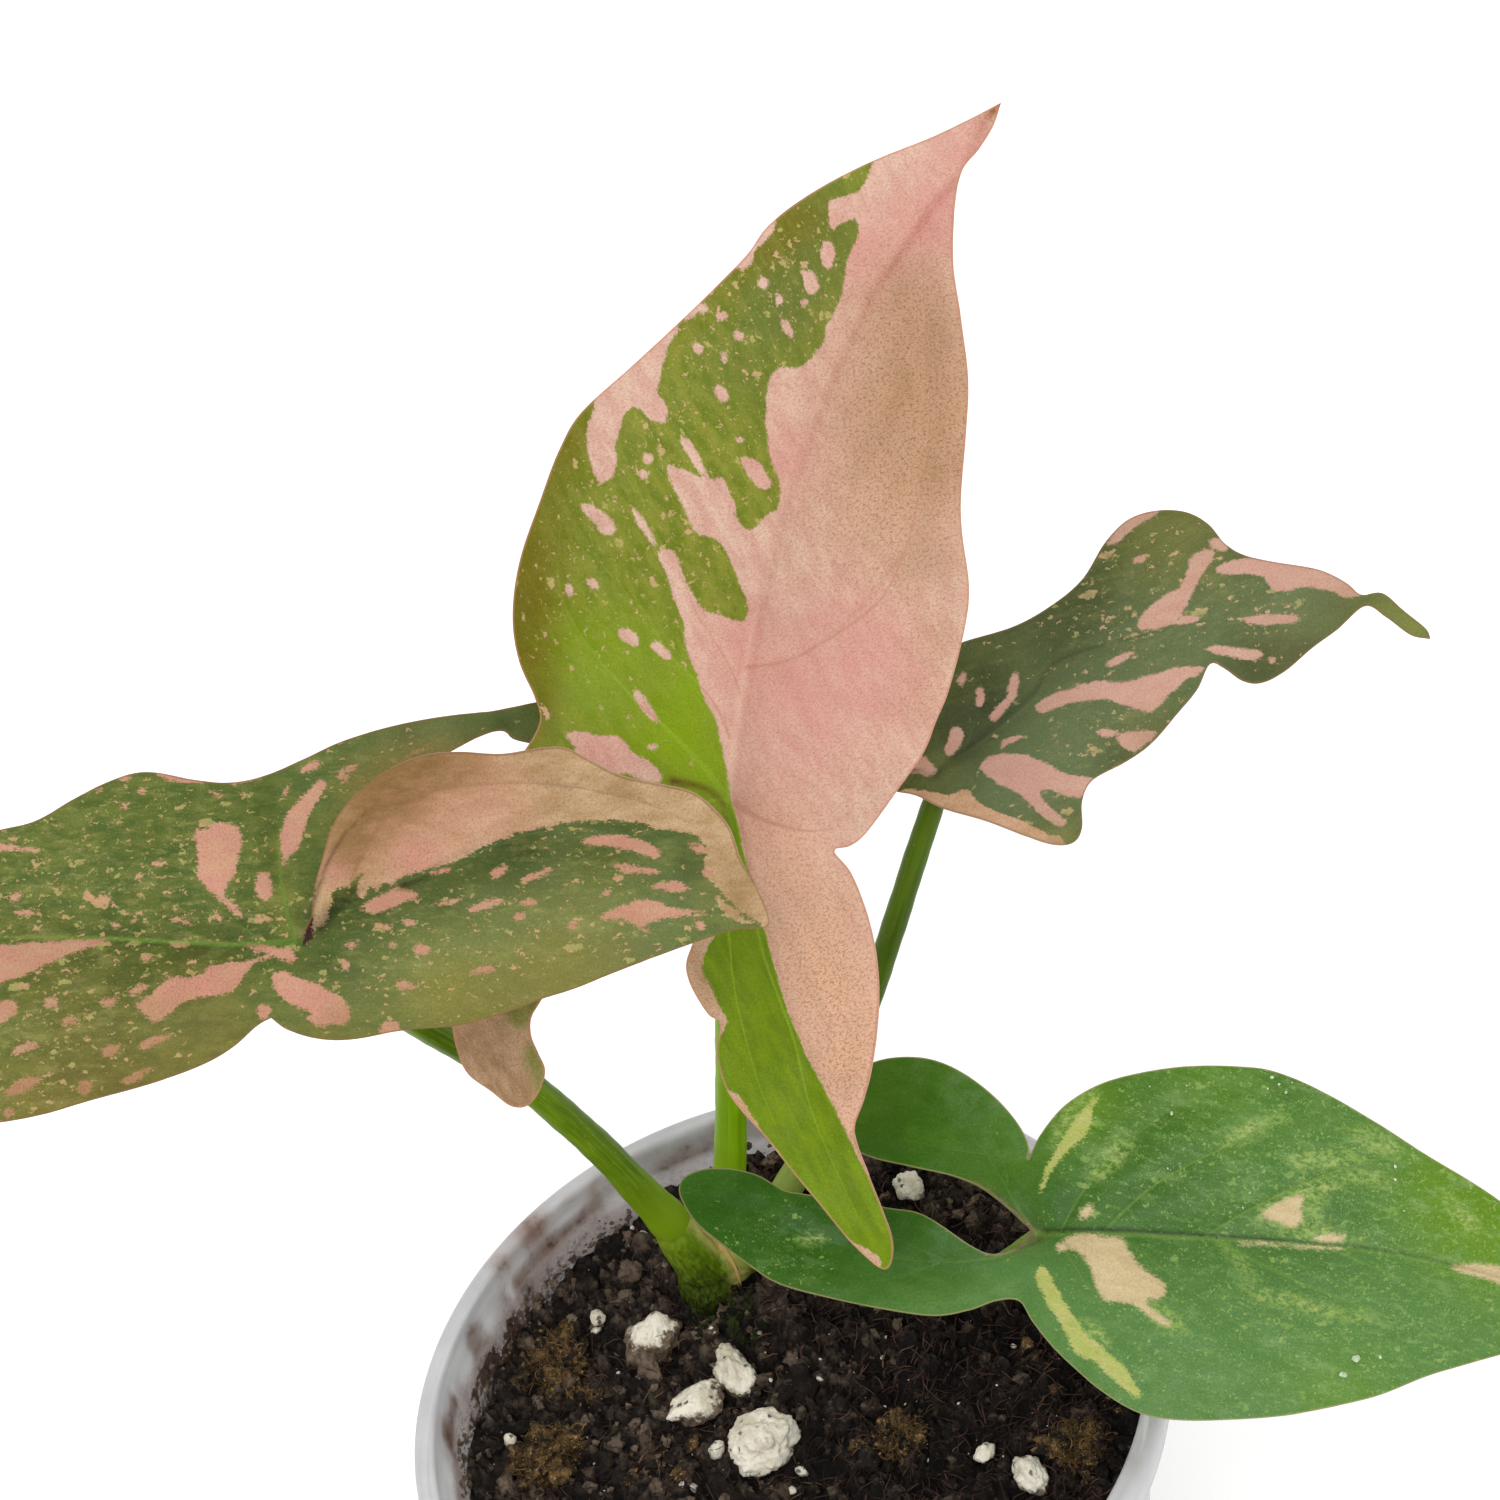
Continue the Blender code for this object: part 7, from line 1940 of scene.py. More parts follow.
def perlite_material():
    """White expanded grain: chalky, pitted, dusted with peat lower down."""
    m = Nodes("perlite_grain")
    pos = m.new("ShaderNodeTexCoord").outputs["Object"]
    pit = m.noise(pos, 1100.0, 4.0, 0.7)
    cloud = m.noise(pos, 380.0, 3.0, 0.6)
    low = m.attr("low")
    hollow = m.attr("hollow")
    colour = m.mix(m.smooth(cloud, 0.35, 0.65), tone(208, 199, 178),
                   tone(234, 228, 212))
    colour = m.mix(m.smooth(pit, 0.44, 0.30, 0.0, 0.6), colour, tone(150, 134, 112))
    colour = m.mix(m.smooth(m.math("ADD", hollow, m.math("MULTIPLY", m.math(
        "SUBTRACT", pit, 0.5), 0.9)), 0.45, 0.85, 0.0, 0.8), colour, tone(104, 82, 58))
    spots = m.cells(m.vmath("ADD", pos, m.vmath("MULTIPLY", m.vmath(
        "SUBTRACT", m.new("ShaderNodeTexNoise", Vector=pos, Scale=1500.0,
                          Detail=2.0).outputs["Color"], (0.5, 0.5, 0.5)),
        (0.0006, 0.0006, 0.0006))), 1000.0)
    spotty = m.math("MULTIPLY", m.smooth(spots.outputs["Distance"], 0.34, 0.18),
                    m.smooth(m.math("ADD", m.split(spots.outputs["Color"])[1],
                                    m.math("MULTIPLY", low, 0.25)), 0.70, 0.78))
    colour = m.mix(m.math("MULTIPLY", spotty, 0.85), colour,
                   m.mix(m.split(spots.outputs["Color"])[0], tone(62, 46, 34),
                         tone(120, 98, 74)))
    soil_on = m.smooth(m.math("ADD", m.math("MULTIPLY", m.noise(pos, 700.0, 5.0, 0.75),
                                            0.9),
                              m.math("MULTIPLY", low, 0.55)), 0.64, 0.76)
    colour = m.mix(m.math("MULTIPLY", soil_on, 0.92), colour,
                   m.mix(m.smooth(pit, 0.4, 0.6), tone(58, 42, 30), tone(104, 82, 58)))
    shader = m.new("ShaderNodeBsdfPrincipled")
    m.put(shader.inputs["Base Color"], colour)
    m.put(shader.inputs["Roughness"], m.smooth(pit, 0.3, 0.7, 0.75, 0.95))
    shader.inputs["Specular IOR Level"].default_value = 0.2
    shader.inputs["Subsurface Weight"].default_value = 0.12
    shader.inputs["Subsurface Radius"].default_value = (1.0, 0.9, 0.8)
    shader.inputs["Subsurface Scale"].default_value = 0.0006
    m.put(shader.inputs["Normal"], m.bump(
        m.math("SUBTRACT", m.math("ADD", pit, m.math("MULTIPLY", cloud, 0.5)),
               m.math("MULTIPLY", spotty, 0.9)), 0.9, 0.0005))
    return m.finish(shader.outputs[0])


def grit_and_glints_material():
    """Small dull greenish-white grain; on the low leaf some of these grains stand in for glints,
    as painted highlights.
    """
    m = Nodes("grit_and_glints")
    pos = m.new("ShaderNodeTexCoord").outputs["Object"]
    n = m.noise(pos, 2400.0, 3.0, 0.7)
    shader = m.new("ShaderNodeBsdfPrincipled")
    m.put(shader.inputs["Base Color"], m.mix(m.smooth(n, 0.35, 0.65),
                                             tone(140, 168, 122), tone(206, 214, 190)))
    m.put(shader.inputs["Roughness"], m.smooth(n, 0.3, 0.7, 0.5, 0.8))
    m.put(shader.inputs["Normal"], m.bump(n, 0.5, 0.0002))
    return m.finish(shader.outputs[0])


def coir_material():
    """Golden-brown crumbly fibre: dark gaps and bright strands."""
    m = Nodes("coir_lump")
    pos = m.new("ShaderNodeTexCoord").outputs["Object"]
    a = m.noise(pos, 520.0, 5.0, 0.75)
    b = m.noise(m.vmath("MULTIPLY", pos, (1.0, 0.35, 1.0)), 1700.0, 4.0, 0.75, 1.0)
    c = m.noise(pos, 2400.0, 3.0, 0.7)
    colour = m.mix(m.smooth(b, 0.40, 0.58), tone(30, 22, 14), tone(98, 74, 42))
    colour = m.mix(m.smooth(a, 0.52, 0.62, 0.0, 0.75), colour, tone(128, 98, 58))
    colour = m.mix(m.smooth(c, 0.57, 0.64, 0.0, 0.85), colour, tone(178, 148, 98))
    colour = m.mix(m.smooth(a, 0.50, 0.42, 0.0, 0.95), colour, tone(18, 13, 10))
    shader = m.new("ShaderNodeBsdfPrincipled")
    m.put(shader.inputs["Base Color"], colour)
    m.put(shader.inputs["Roughness"], m.smooth(c, 0.3, 0.7, 0.6, 0.9))
    shader.inputs["Specular IOR Level"].default_value = 0.25
    height = m.math("ADD", m.math("MULTIPLY", a, 0.6),
                    m.math("ADD", m.math("MULTIPLY", b, 0.5),
                           m.math("MULTIPLY", c, 0.3)))
    m.put(shader.inputs["Normal"], m.bump(height, 1.0, 0.0010))
    return m.finish(shader.outputs[0])


def root_material():
    """Pale fleshy root with thin brown skin marks across it."""
    m = Nodes("root_skin")
    pos = m.new("ShaderNodeTexCoord").outputs["Object"]
    n = m.noise(pos, 300.0, 4.0, 0.6)
    ring = m.noise(m.vmath("MULTIPLY", pos, (1.0, 1.0, 3.0)), 900.0, 3.0, 0.6)
    colour = m.mix(m.smooth(n, 0.35, 0.65), tone(205, 188, 152), tone(184, 158, 116))
    colour = m.mix(m.smooth(ring, 0.55, 0.7, 0.0, 0.6), colour, tone(128, 96, 62))
    shader = m.new("ShaderNodeBsdfPrincipled")
    m.put(shader.inputs["Base Color"], colour)
    m.put(shader.inputs["Roughness"], m.smooth(n, 0.3, 0.7, 0.6, 0.8))
    m.put(shader.inputs["Normal"], m.bump(ring, 0.5, 0.0004))
    return m.finish(shader.outputs[0])


def skin_material():
    """Dry papery sheath skin."""
    m = Nodes("sheath_skin")
    pos = m.new("ShaderNodeTexCoord").outputs["Object"]
    n = m.noise(pos, 700.0, 4.0, 0.65)
    run = m.attr("run", vector=True)
    streak = m.noise(m.vmath("MULTIPLY", run, (1.0, 0.1, 1.0)), 3.0, 3.0, 0.6)
    colour = m.mix(m.smooth(streak, 0.35, 0.65), tone(168, 152, 84),
                   tone(190, 150, 92))
    colour = m.mix(m.smooth(n, 0.52, 0.68, 0.0, 0.6), colour, tone(158, 118, 78))
    shader = m.new("ShaderNodeBsdfPrincipled")
    m.put(shader.inputs["Base Color"], colour)
    m.put(shader.inputs["Roughness"], m.smooth(n, 0.3, 0.7, 0.5, 0.7))
    m.put(shader.inputs["Normal"], m.bump(streak, 0.5, 0.0003))
    return m.finish(shader.outputs[0])


def floor_material():
    m = Nodes("studio_floor")
    pos = m.new("ShaderNodeTexCoord").outputs["Object"]
    n = m.noise(pos, 6.0, 2.0, 0.5)
    shader = m.new("ShaderNodeBsdfPrincipled")
    m.put(shader.inputs["Base Color"], m.mix(n, tone(243, 243, 243),
                                             tone(246, 246, 245)))
    m.put(shader.inputs["Roughness"], m.smooth(n, 0.3, 0.7, 0.85, 0.95))
    shader.inputs["Specular IOR Level"].default_value = 0.1
    shader.inputs["Emission Color"].default_value = (1.0, 1.0, 1.0, 1.0)
    shader.inputs["Emission Strength"].default_value = 0.14
    return m.finish(shader.outputs[0])


# ------------------------------------------------------------ ready for pieces
def wall_radius(z):
    """Outer radius of the cup wall at height z."""
    return BASE_RADIUS + (MOUTH_RADIUS + WALL - BASE_RADIUS) * z / POT_HEIGHT


def heap(x, y):
    """The soil is heaped up to 5 mm against the right and back of the cup."""
    t = min(1.0, max(0.0, (0.8 * x + 0.6 * y) / 36.0 + 0.1))
    return 5.0 * t * t * (3 - 2 * t)


def soil_height(x, y):
    d = math.hypot(x - STEM_SPOT[0], y - STEM_SPOT[1])
    lumps = noise.noise(Vector((x * 0.11, y * 0.11, 2.7))) * 1.5
    edge = max(0.0, (math.hypot(x, y) - 31.0) / 6.0)
    return (SOIL_LEVEL + SOIL_MOUND * math.exp(-(d / 13.0) ** 2) + lumps
            + heap(x, y) - 0.8 * edge)


def on_soil(x, y):
    """Where the sight line through sheet (x, y) meets the soil surface."""
    d = sight(np.array(x), np.array(y))
    z = SOIL_LEVEL
    for _ in range(6):
        p = EYE + d * (z - EYE[2]) / d[2]
        z = soil_height(p[0], p[1])
    return p


def voronoi(x, y, z):
    """Distances to the two closest cell points."""
    d = noise.voronoi(Vector((x, y, z)))[0]
    return d[0], d[1]


_spheres = {}


def sphere(detail):
    """Unit icosphere as (vertices, faces), made once per detail."""
    if detail not in _spheres:
        bm = bmesh.new()
        bmesh.ops.create_icosphere(bm, subdivisions=detail, radius=1.0)
        v = np.array([tuple(p.co) for p in bm.verts])
        f = np.array([[p.index for p in face.verts] for face in bm.faces])
        bm.free()
        _spheres[detail] = (v, f)
    return _spheres[detail]


def spin(rng):
    """Random rotation."""
    q = rng.normal(size=4)
    q /= np.linalg.norm(q)
    w, x, y, z = q
    return np.array([[1 - 2 * (y * y + z * z), 2 * (x * y - z * w), 2 * (x * z + y * w)],
                     [2 * (x * y + z * w), 1 - 2 * (x * x + z * z), 2 * (y * z - x * w)],
                     [2 * (x * z - y * w), 2 * (y * z + x * w),
                      1 - 2 * (x * x + y * y)]])


class Heap:
    """Many small closed shapes gathered into one mesh."""

    def __init__(self):
        self.verts, self.faces, self.shade, self.count = [], [], [], 0

    def add(self, verts, faces, shade):
        verts = np.asarray(verts, float)
        self.verts.append(verts)
        self.faces += [tuple(int(i) + self.count for i in f) for f in faces]
        self.shade.append(np.full(len(verts), shade))
        self.count += len(verts)

    def piece(self, name, mat, slot, smooth=True):
        obj = new_piece(name, np.vstack(self.verts), self.faces, smooth, False)
        store(obj.data, "shade", np.concatenate(self.shade))
        obj.data.materials.append(mat)
        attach(obj, "root")
        return obj


def rough_lump(detail, size, seed, turn, dents=0.35, grit=0.12, cells=1.6):
    """Crumbly closed lump round the origin: semi-axes size (mm)."""
    v, f = sphere(detail)
    k = np.empty(len(v))
    s = Vector((seed * 5.3 + 1.7, seed * 2.9 + 0.4, seed * 1.3))
    for i, p in enumerate(v):
        q = Vector(p)
        d = noise.voronoi(q * cells + s)[0]
        k[i] = (1.0 + dents * noise.noise(q * 1.25 + s)
                + dents * 0.55 * (0.42 - d[0]) + grit * noise.noise(q * 4.3 + s)
                + grit * 0.6 * noise.noise(q * 9.1 + s))
    return (v * k[:, None] * np.array(size)) @ turn.T, f


def strand(start, heading, length, radius, rng, floor=None, sides=3, curl=0.5,
           step=0.55):
    """Thin curled fibre that stays just above the soil: tube vertices, faces."""
    n = max(4, int(length / step))
    p = np.array(start, float)
    h = unit(heading)
    points = [p.copy()]
    bend = rng.normal(scale=curl * 0.5)
    for _ in range(n):
        bend += rng.normal(scale=curl * 0.25)
        bend *= 0.9
        c, s = math.cos(bend), math.sin(bend)
        h = np.array([c * h[0] - s * h[1], s * h[0] + c * h[1],
                      h[2] + rng.normal(scale=0.18 * curl)])
        h = unit(h)
        p = p + h * step
        if floor is not None:
            low = floor(p[0], p[1])
            if p[2] < low:
                p[2] = low
                h[2] = abs(h[2]) * 0.3
            elif p[2] > low + 1.6:
                h[2] -= 0.5
        points.append(p.copy())
    taper = radius * np.interp(np.linspace(0, 1, len(points)), [0, 0.15, 0.8, 1],
                               [0.7, 1.0, 0.9, 0.35])
    v, f, _ = tube_mesh(np.array(points), taper, sides, 1.0, 0.5)
    return v, f


# ------------------------------------------------------------------------- cup
def project(p):
    """World points (mm) to sheet units."""
    d = np.asarray(p, float) - EYE
    depth = d @ SHEET_DEPTH
    return np.stack([SHEET_CENTRE + SHEET_SCALE * (d @ SHEET_RIGHT) / depth,
                     SHEET_CENTRE - SHEET_SCALE * (d @ SHEET_UP) / depth], -1)


def on_level(x, y, z):
    """Where the sight line through sheet (x, y) meets height z."""
    d = sight(np.array(x, float), np.array(y, float))
    return EYE + d * (z - EYE[2]) / d[2]


def cup_piece():
    seg = 192
    top = POT_HEIGHT
    outer = [(28.2, 0.0), (28.55, 0.06), (28.83, 0.28), (28.97, 0.62)]
    outer += [(wall_radius(z), z) for z in np.arange(1.2, 67.4, 3.0)]
    rim = [(wall_radius(67.4), 67.4), (38.28, 67.78), (38.55, 67.97), (38.86, 67.95),
           (39.04, 67.72), (39.09, 67.3), (39.1, 66.35), (39.15, 66.12),
           (39.3, 66.0), (39.68, 66.0), (39.84, 66.1), (39.9, 66.35),
           (39.96, 67.6), (40.0, 68.7), (39.93, 69.2), (39.72, 69.6),
           (39.42, 69.87), (39.08, 69.98), (38.8, 69.93), (38.55, 69.9),
           (38.3, 69.97), (38.05, 69.98), (37.82, 69.87), (37.67, 69.62),
           (37.6, 69.25), (37.5, 68.7), (wall_radius(67.8) - WALL, 67.8)]
    inner = [(wall_radius(z) - WALL, z) for z in np.arange(66.5, 3.0, -3.0)]
    inner += [(28.12, 2.2), (28.02, 1.75), (27.75, 1.42), (27.3, 1.3)]
    profile = outer + rim + inner
    ang = np.linspace(0, 2 * math.pi, seg, endpoint=False)
    verts, rings = [], []
    for r, z in profile:
        rings.append(list(range(len(verts), len(verts) + seg)))
        # Thin moulded wall: never perfectly round.
        out = r + (0.05 * np.sin(3 * ang + 0.06 * z) + 0.03 * np.sin(7 * ang)) * (
            1 if 3 < z < 66 else 0)
        verts += [(a * math.cos(t), a * math.sin(t), z) for a, t in zip(out, ang)]
    faces = []
    for a, b in zip(rings[:-1], rings[1:]):
        faces += [(a[k], a[(k + 1) % seg], b[(k + 1) % seg], b[k]) for k in range(seg)]
    holes = []
    hole_at = [(DRAIN_RING_RADIUS * math.cos(2 * math.pi * (k + 0.5) / DRAIN_HOLES),
                DRAIN_RING_RADIUS * math.sin(2 * math.pi * (k + 0.5) / DRAIN_HOLES))
               for k in range(DRAIN_HOLES)]
    arc = np.linspace(0, 2 * math.pi, 32, endpoint=False)
    for hx, hy in hole_at:
        pair = []
        for r, z in ((DRAIN_HOLE_RADIUS + 0.15, 0.0), (DRAIN_HOLE_RADIUS, 0.25),
                     (DRAIN_HOLE_RADIUS, 1.05), (DRAIN_HOLE_RADIUS + 0.15, 1.3)):
            pair.append(list(range(len(verts), len(verts) + 32)))
            verts += [(hx + r * math.cos(t), hy + r * math.sin(t), z) for t in arc]
        for a, b in zip(pair[:-1], pair[1:]):
            faces += [(a[k], b[k], b[(k + 1) % 32], a[(k + 1) % 32])
                      for k in range(32)]
        holes.append((pair[0], pair[-1]))
    for ring, side in ((rings[0], 0), (rings[-1], 1)):
        ids = list(ring)
        edges = [(k, (k + 1) % seg) for k in range(seg)]
        for pair in holes:
            base = len(ids)
            ids += pair[side]
            edges += [(base + k, base + (k + 1) % 32) for k in range(32)]
        flat = [Vector(verts[i][:2]) for i in ids]
        vs, _, fs, orig, _, _ = delaunay_2d_cdt(flat, edges, [list(range(seg))], 1, 1e-5)
        for f in fs:
            cx = sum(vs[i][0] for i in f) / 3
            cy = sum(vs[i][1] for i in f) / 3
            if min(math.hypot(cx - x, cy - y) for x, y in hole_at) > DRAIN_HOLE_RADIUS:
                faces.append(tuple(ids[orig[i][0]] for i in f))
    cup = new_piece("visual_cup", verts, faces)
    cup.data.set_sharp_from_angle(angle=math.radians(50))
    p = np.array(verts)
    r = np.hypot(p[:, 0], p[:, 1])
    around = np.arctan2(p[:, 1], p[:, 0])
    left = np.clip(np.cos(around - math.radians(180)) * 1.1 + 0.12, 0, 1)
    inside_ = (r < np.array([wall_radius(z) for z in p[:, 2]]) - 0.4)
    line = np.array([soil_top(36.0 * math.cos(t), 36.0 * math.sin(t))
                     for t in around])
    wave = np.array([noise.noise(Vector((math.cos(t) * 6, math.sin(t) * 6, z * 0.3)))
                     for t, z in zip(around, p[:, 2])])
    near = (smoothstep(9.0, 1.5, p[:, 2] - line + 3.0 * wave)
            * smoothstep(-8.0, -3.0, p[:, 2] - line))
    turn = np.degrees(np.mod(around, 2 * math.pi))
    cake = np.exp(-((turn - 136.0) / 30.0) ** 2)
    dirt = np.where(inside_, near * (0.42 + 0.26 * left + 0.38 * cake), 0.0)
    for x, y, rad, s in ((535, 1230, 3.2, 0.7), (578, 1206, 2.4, 0.6),
                         (505, 1262, 2.6, 0.5), (600, 1180, 2.0, 0.4),
                         (437, 1420, 2.5, 0.25), (1120, 1460, 2.5, 0.35)):
        c = on_level(x, y, 69.8)
        d2 = ((p - c) ** 2).sum(1)
        dirt = np.maximum(dirt, s * np.exp(-d2 / rad ** 2))
    dirt = np.maximum(dirt, 0.12 * smoothstep(67, 69.5, p[:, 2]))
    store(cup.data, "dirt", dirt)
    return cup


# ------------------------------------------------------------------------ soil
def soil_relief(x, y):
    """Crumbs and pits of the soil surface."""
    bx = x + 0.9 * noise.noise(Vector((x * 0.5, y * 0.5, 31.0)))
    by = y + 0.9 * noise.noise(Vector((x * 0.5, y * 0.5, 47.0)))
    a = noise.voronoi(Vector((bx * 0.36, by * 0.36, 1.1)))[0]
    b = noise.voronoi(Vector((bx * 0.85, by * 0.85, 4.2)))[0]
    c = noise.voronoi(Vector((bx * 1.8, by * 1.8, 7.7)))[0]
    return (2.7 * (0.42 - a[0]) + 1.9 * (0.40 - b[0]) + 1.1 * (0.40 - c[0])
            + 0.7 * noise.noise(Vector((x * 1.5, y * 1.5, 5.0)))
            + 0.45 * noise.noise(Vector((x * 3.1, y * 3.1, 15.0))))


def soil_top(x, y):
    """Fine soil surface: the solid's lumps with crumbs and pits on them."""
    dip = 1.3 * math.exp(-((x - HALF_SUNK[0]) ** 2 + (y - HALF_SUNK[1]) ** 2) / 6.0)
    # The peat is washed up a little against the wall on the far left.
    out = min(max((math.hypot(x, y) - 27.0) / 8.0, 0.0), 1.0)
    far = min(max(math.cos(math.atan2(y, x) - math.radians(160)) * 1.2, 0.0), 1.0)
    return (soil_height(x, y) + soil_relief(x, y) - dip + 2.6 * out * out * far
            + 1.0 * noise.noise(Vector((x * 0.24, y * 0.24, 9.0))))


def soil_piece():
    seg = 200
    limit = wall_radius(SOIL_LEVEL) - WALL - 0.25
    ang = np.linspace(0, 2 * math.pi, seg, endpoint=False)
    pts = [(limit * math.cos(t), limit * math.sin(t)) for t in ang]
    step = 0.36
    for j, y in enumerate(np.arange(-limit, limit, step * 0.87)):
        for x in np.arange(-limit + (0.5 * (j % 2)) * step, limit, step):
            if math.hypot(x, y) < limit - 0.7 * step:
                pts.append((x, y))
    vs, _, fs, _, _, _ = delaunay_2d_cdt(
        [Vector(p) for p in pts], [(k, (k + 1) % seg) for k in range(seg)],
        [list(range(seg))], 1, 1e-5)
    flat = np.array([tuple(v) for v in vs])
    r = np.hypot(flat[:, 0], flat[:, 1])
    verts = []
    for (x, y), rr in zip(flat, r):
        z = min(66.0, soil_top(x, y))
        k = 1.0 + ((wall_radius(z) - WALL - 0.25) / limit - 1.0) * min(
            1.0, rr / limit) ** 4
        verts.append((x * k, y * k, z))
    faces = [tuple(f) for f in fs]
    edge = np.where(r > limit - 1e-3)[0]
    edge = edge[np.argsort(np.arctan2(flat[edge, 1], flat[edge, 0]))]
    last = list(edge)
    for share in np.linspace(0.0, 1.0, 36)[1:]:
        ring = []
        for i in edge:
            t = math.atan2(flat[i, 1], flat[i, 0])
            z = verts[i][2] + (2.6 - verts[i][2]) * share
            fit = wall_radius(z) - WALL - 0.25
            c, s = math.cos(t), math.sin(t)
            d = noise.voronoi(Vector((c * 30 * 0.4, s * 30 * 0.4, z * 0.4)))[0]
            rr = fit - 1.3 * max(0.0, d[0] - 0.35) ** 1.2
            ring.append(len(verts))
            verts.append((rr * c, rr * s, z + 0.3 * noise.noise(
                Vector((c * 9, s * 9, z)))))
        n = len(ring)
        faces += [(last[k], ring[k], ring[(k + 1) % n], last[(k + 1) % n])
                  for k in range(n)]
        last = ring
    ring = []
    for i in edge:
        t = math.atan2(flat[i, 1], flat[i, 0])
        rr = BASE_RADIUS - WALL - 0.8 - GAP
        ring.append(len(verts))
        verts.append((rr * math.cos(t), rr * math.sin(t), BASE_THICKNESS + GAP))
    n = len(ring)
    faces += [(last[k], ring[k], ring[(k + 1) % n], last[(k + 1) % n])
              for k in range(n)]
    centre = len(verts)
    verts.append((0.0, 0.0, BASE_THICKNESS + GAP))
    faces += [(ring[k], centre, ring[(k + 1) % n]) for k in range(n)]
    obj = new_piece("visual_soil", verts, faces, True, False)
    # Painted shade: lighter on the crumbs and darker in the pits of the relief.
    shade = np.full(len(verts), 0.35)
    shade[:len(flat)] = [np.clip(0.45 + soil_relief(x, y) / 2.6, 0, 1)
                         for x, y in flat]
    store(obj.data, "shade", shade)
    return obj


def room(x, y, stems, reach):
    return all(math.hypot(x - a, y - b) > reach for a, b in stems)


def crumb_pieces(mat):
    """Crumbs of peat over the soil, in three sizes, and some on the wall."""
    rng = np.random.default_rng(11)
    shapes = {}
    for detail, count in ((3, 24), (2, 40)):
        shapes[detail] = [rough_lump(detail, (1, 1, 1), 31 * detail + i, np.eye(3),
                                     0.75, 0.5, 2.3)
                          for i in range(count)]
    keep_off = [(STEM_SPOT[0], STEM_SPOT[1])]
    grains = [on_soil(x, y)[:2] for x, y, *_ in GRAINS]
    limit = wall_radius(SOIL_LEVEL) - WALL - 0.4
    made = []
    for label, detail, count, lo, hi, sink in (("large", 3, 190, 0.85, 2.1, 0.05),
                                               ("middle", 2, 420, 0.45, 1.0, 0.15),
                                               ("small", 2, 1700, 0.16, 0.55, 0.2)):
        heap = Heap()
        done = 0
        while done < count:
            r, t = limit * math.sqrt(rng.random()), rng.random() * 2 * math.pi
            size = lo + (hi - lo) * rng.random() ** 1.8
            r = min(r, limit - size * 1.05)
            x, y = r * math.cos(t), r * math.sin(t)
            if not room(x, y, keep_off, 3.4 + size):
                continue
            if label != "small" and not all(
                    math.hypot(x - g[0], y - g[1]) > 3.0 + size * 0.6 for g in grains):
                continue
            v, f = shapes[detail][rng.integers(len(shapes[detail]))]
            v = v * np.array([1.0, 0.6 + 0.4 * rng.random(),
                              0.55 + 0.4 * rng.random()]) * size
            v = v @ spin(rng).T
            z = min(65.0, soil_top(x, y) + sink * size)
            heap.add(v + np.array([x, y, z]), f, rng.random())
            done += 1
        made.append(heap.piece("crumbs_" + label, mat, "soil", label == "large"))
    heap = Heap()
    spots = [(rng.uniform(95, 230), rng.exponential(1.6), rng.uniform(1.0, 4.0))
             for _ in range(22)]
    for k in range(420):
        if k < 190:
            at, up, wide = spots[rng.integers(len(spots))]
            t = math.radians(at + rng.normal() * wide)
            rise = abs(0.7 * up + rng.normal() * 0.6)
        else:
            t = math.radians(rng.uniform(-180, 180))
            rise = rng.exponential(0.55)
        size = 0.09 + 0.36 * rng.random() ** 2.6
        if rise > 6.0:
            continue
        z = soil_top(35.5 * math.cos(t), 35.5 * math.sin(t)) + rise
        if z > 66.5:
            continue
        r = wall_radius(z) - WALL - 0.32 * size
        v, f = shapes[2][rng.integers(len(shapes[2]))]
        v = (v * size) @ spin(rng).T
        c, s = math.cos(t), math.sin(t)
        radial = v[:, 0] * c + v[:, 1] * s
        squash = np.clip(radial, -1e9, 0.28 * size) - radial
        v = v + np.outer(squash, [c, s, 0.0])
        heap.add(v + np.array([r * c, r * s, z]), f, 0.5 + rng.random() * 0.5)
    made.append(heap.piece("crumbs_on_wall", mat, "soil", False))
    return made


def strands_piece(mat):
    """Fine reddish and pale fibres that curl over the soil."""
    rng = np.random.default_rng(23)
    heap = Heap()
    limit = wall_radius(SOIL_LEVEL) - WALL - 0.9
    for k in range(3600):
        r, t = (limit - 1.5) * math.sqrt(rng.random()), rng.random() * 2 * math.pi
        x, y = r * math.cos(t), r * math.sin(t)
        if not room(x, y, [STEM_SPOT], 4.0):
            continue
        if x < 2 and rng.random() < 0.35:
            continue
        length = min(0.5 + rng.exponential(0.5), 2.4)
        radius = rng.uniform(0.035, 0.10) * (1.4 if rng.random() < 0.05 else 1.0)
        a = rng.random() * 2 * math.pi
        start = (x, y, soil_top(x, y) + 0.1)
        v, f = strand(start, (math.cos(a), math.sin(a), rng.uniform(-0.1, 0.5)), length,
                      radius, rng, lambda u, w: min(65.2, soil_top(u, w)) + 0.08, 3,
                      0.42)
        v = np.array(v)
        out = np.hypot(v[:, 0], v[:, 1])
        if out.max() > limit:
            continue
        heap.add(v, f, rng.random())
    return heap.piece("soil_fibres", mat, "soil")


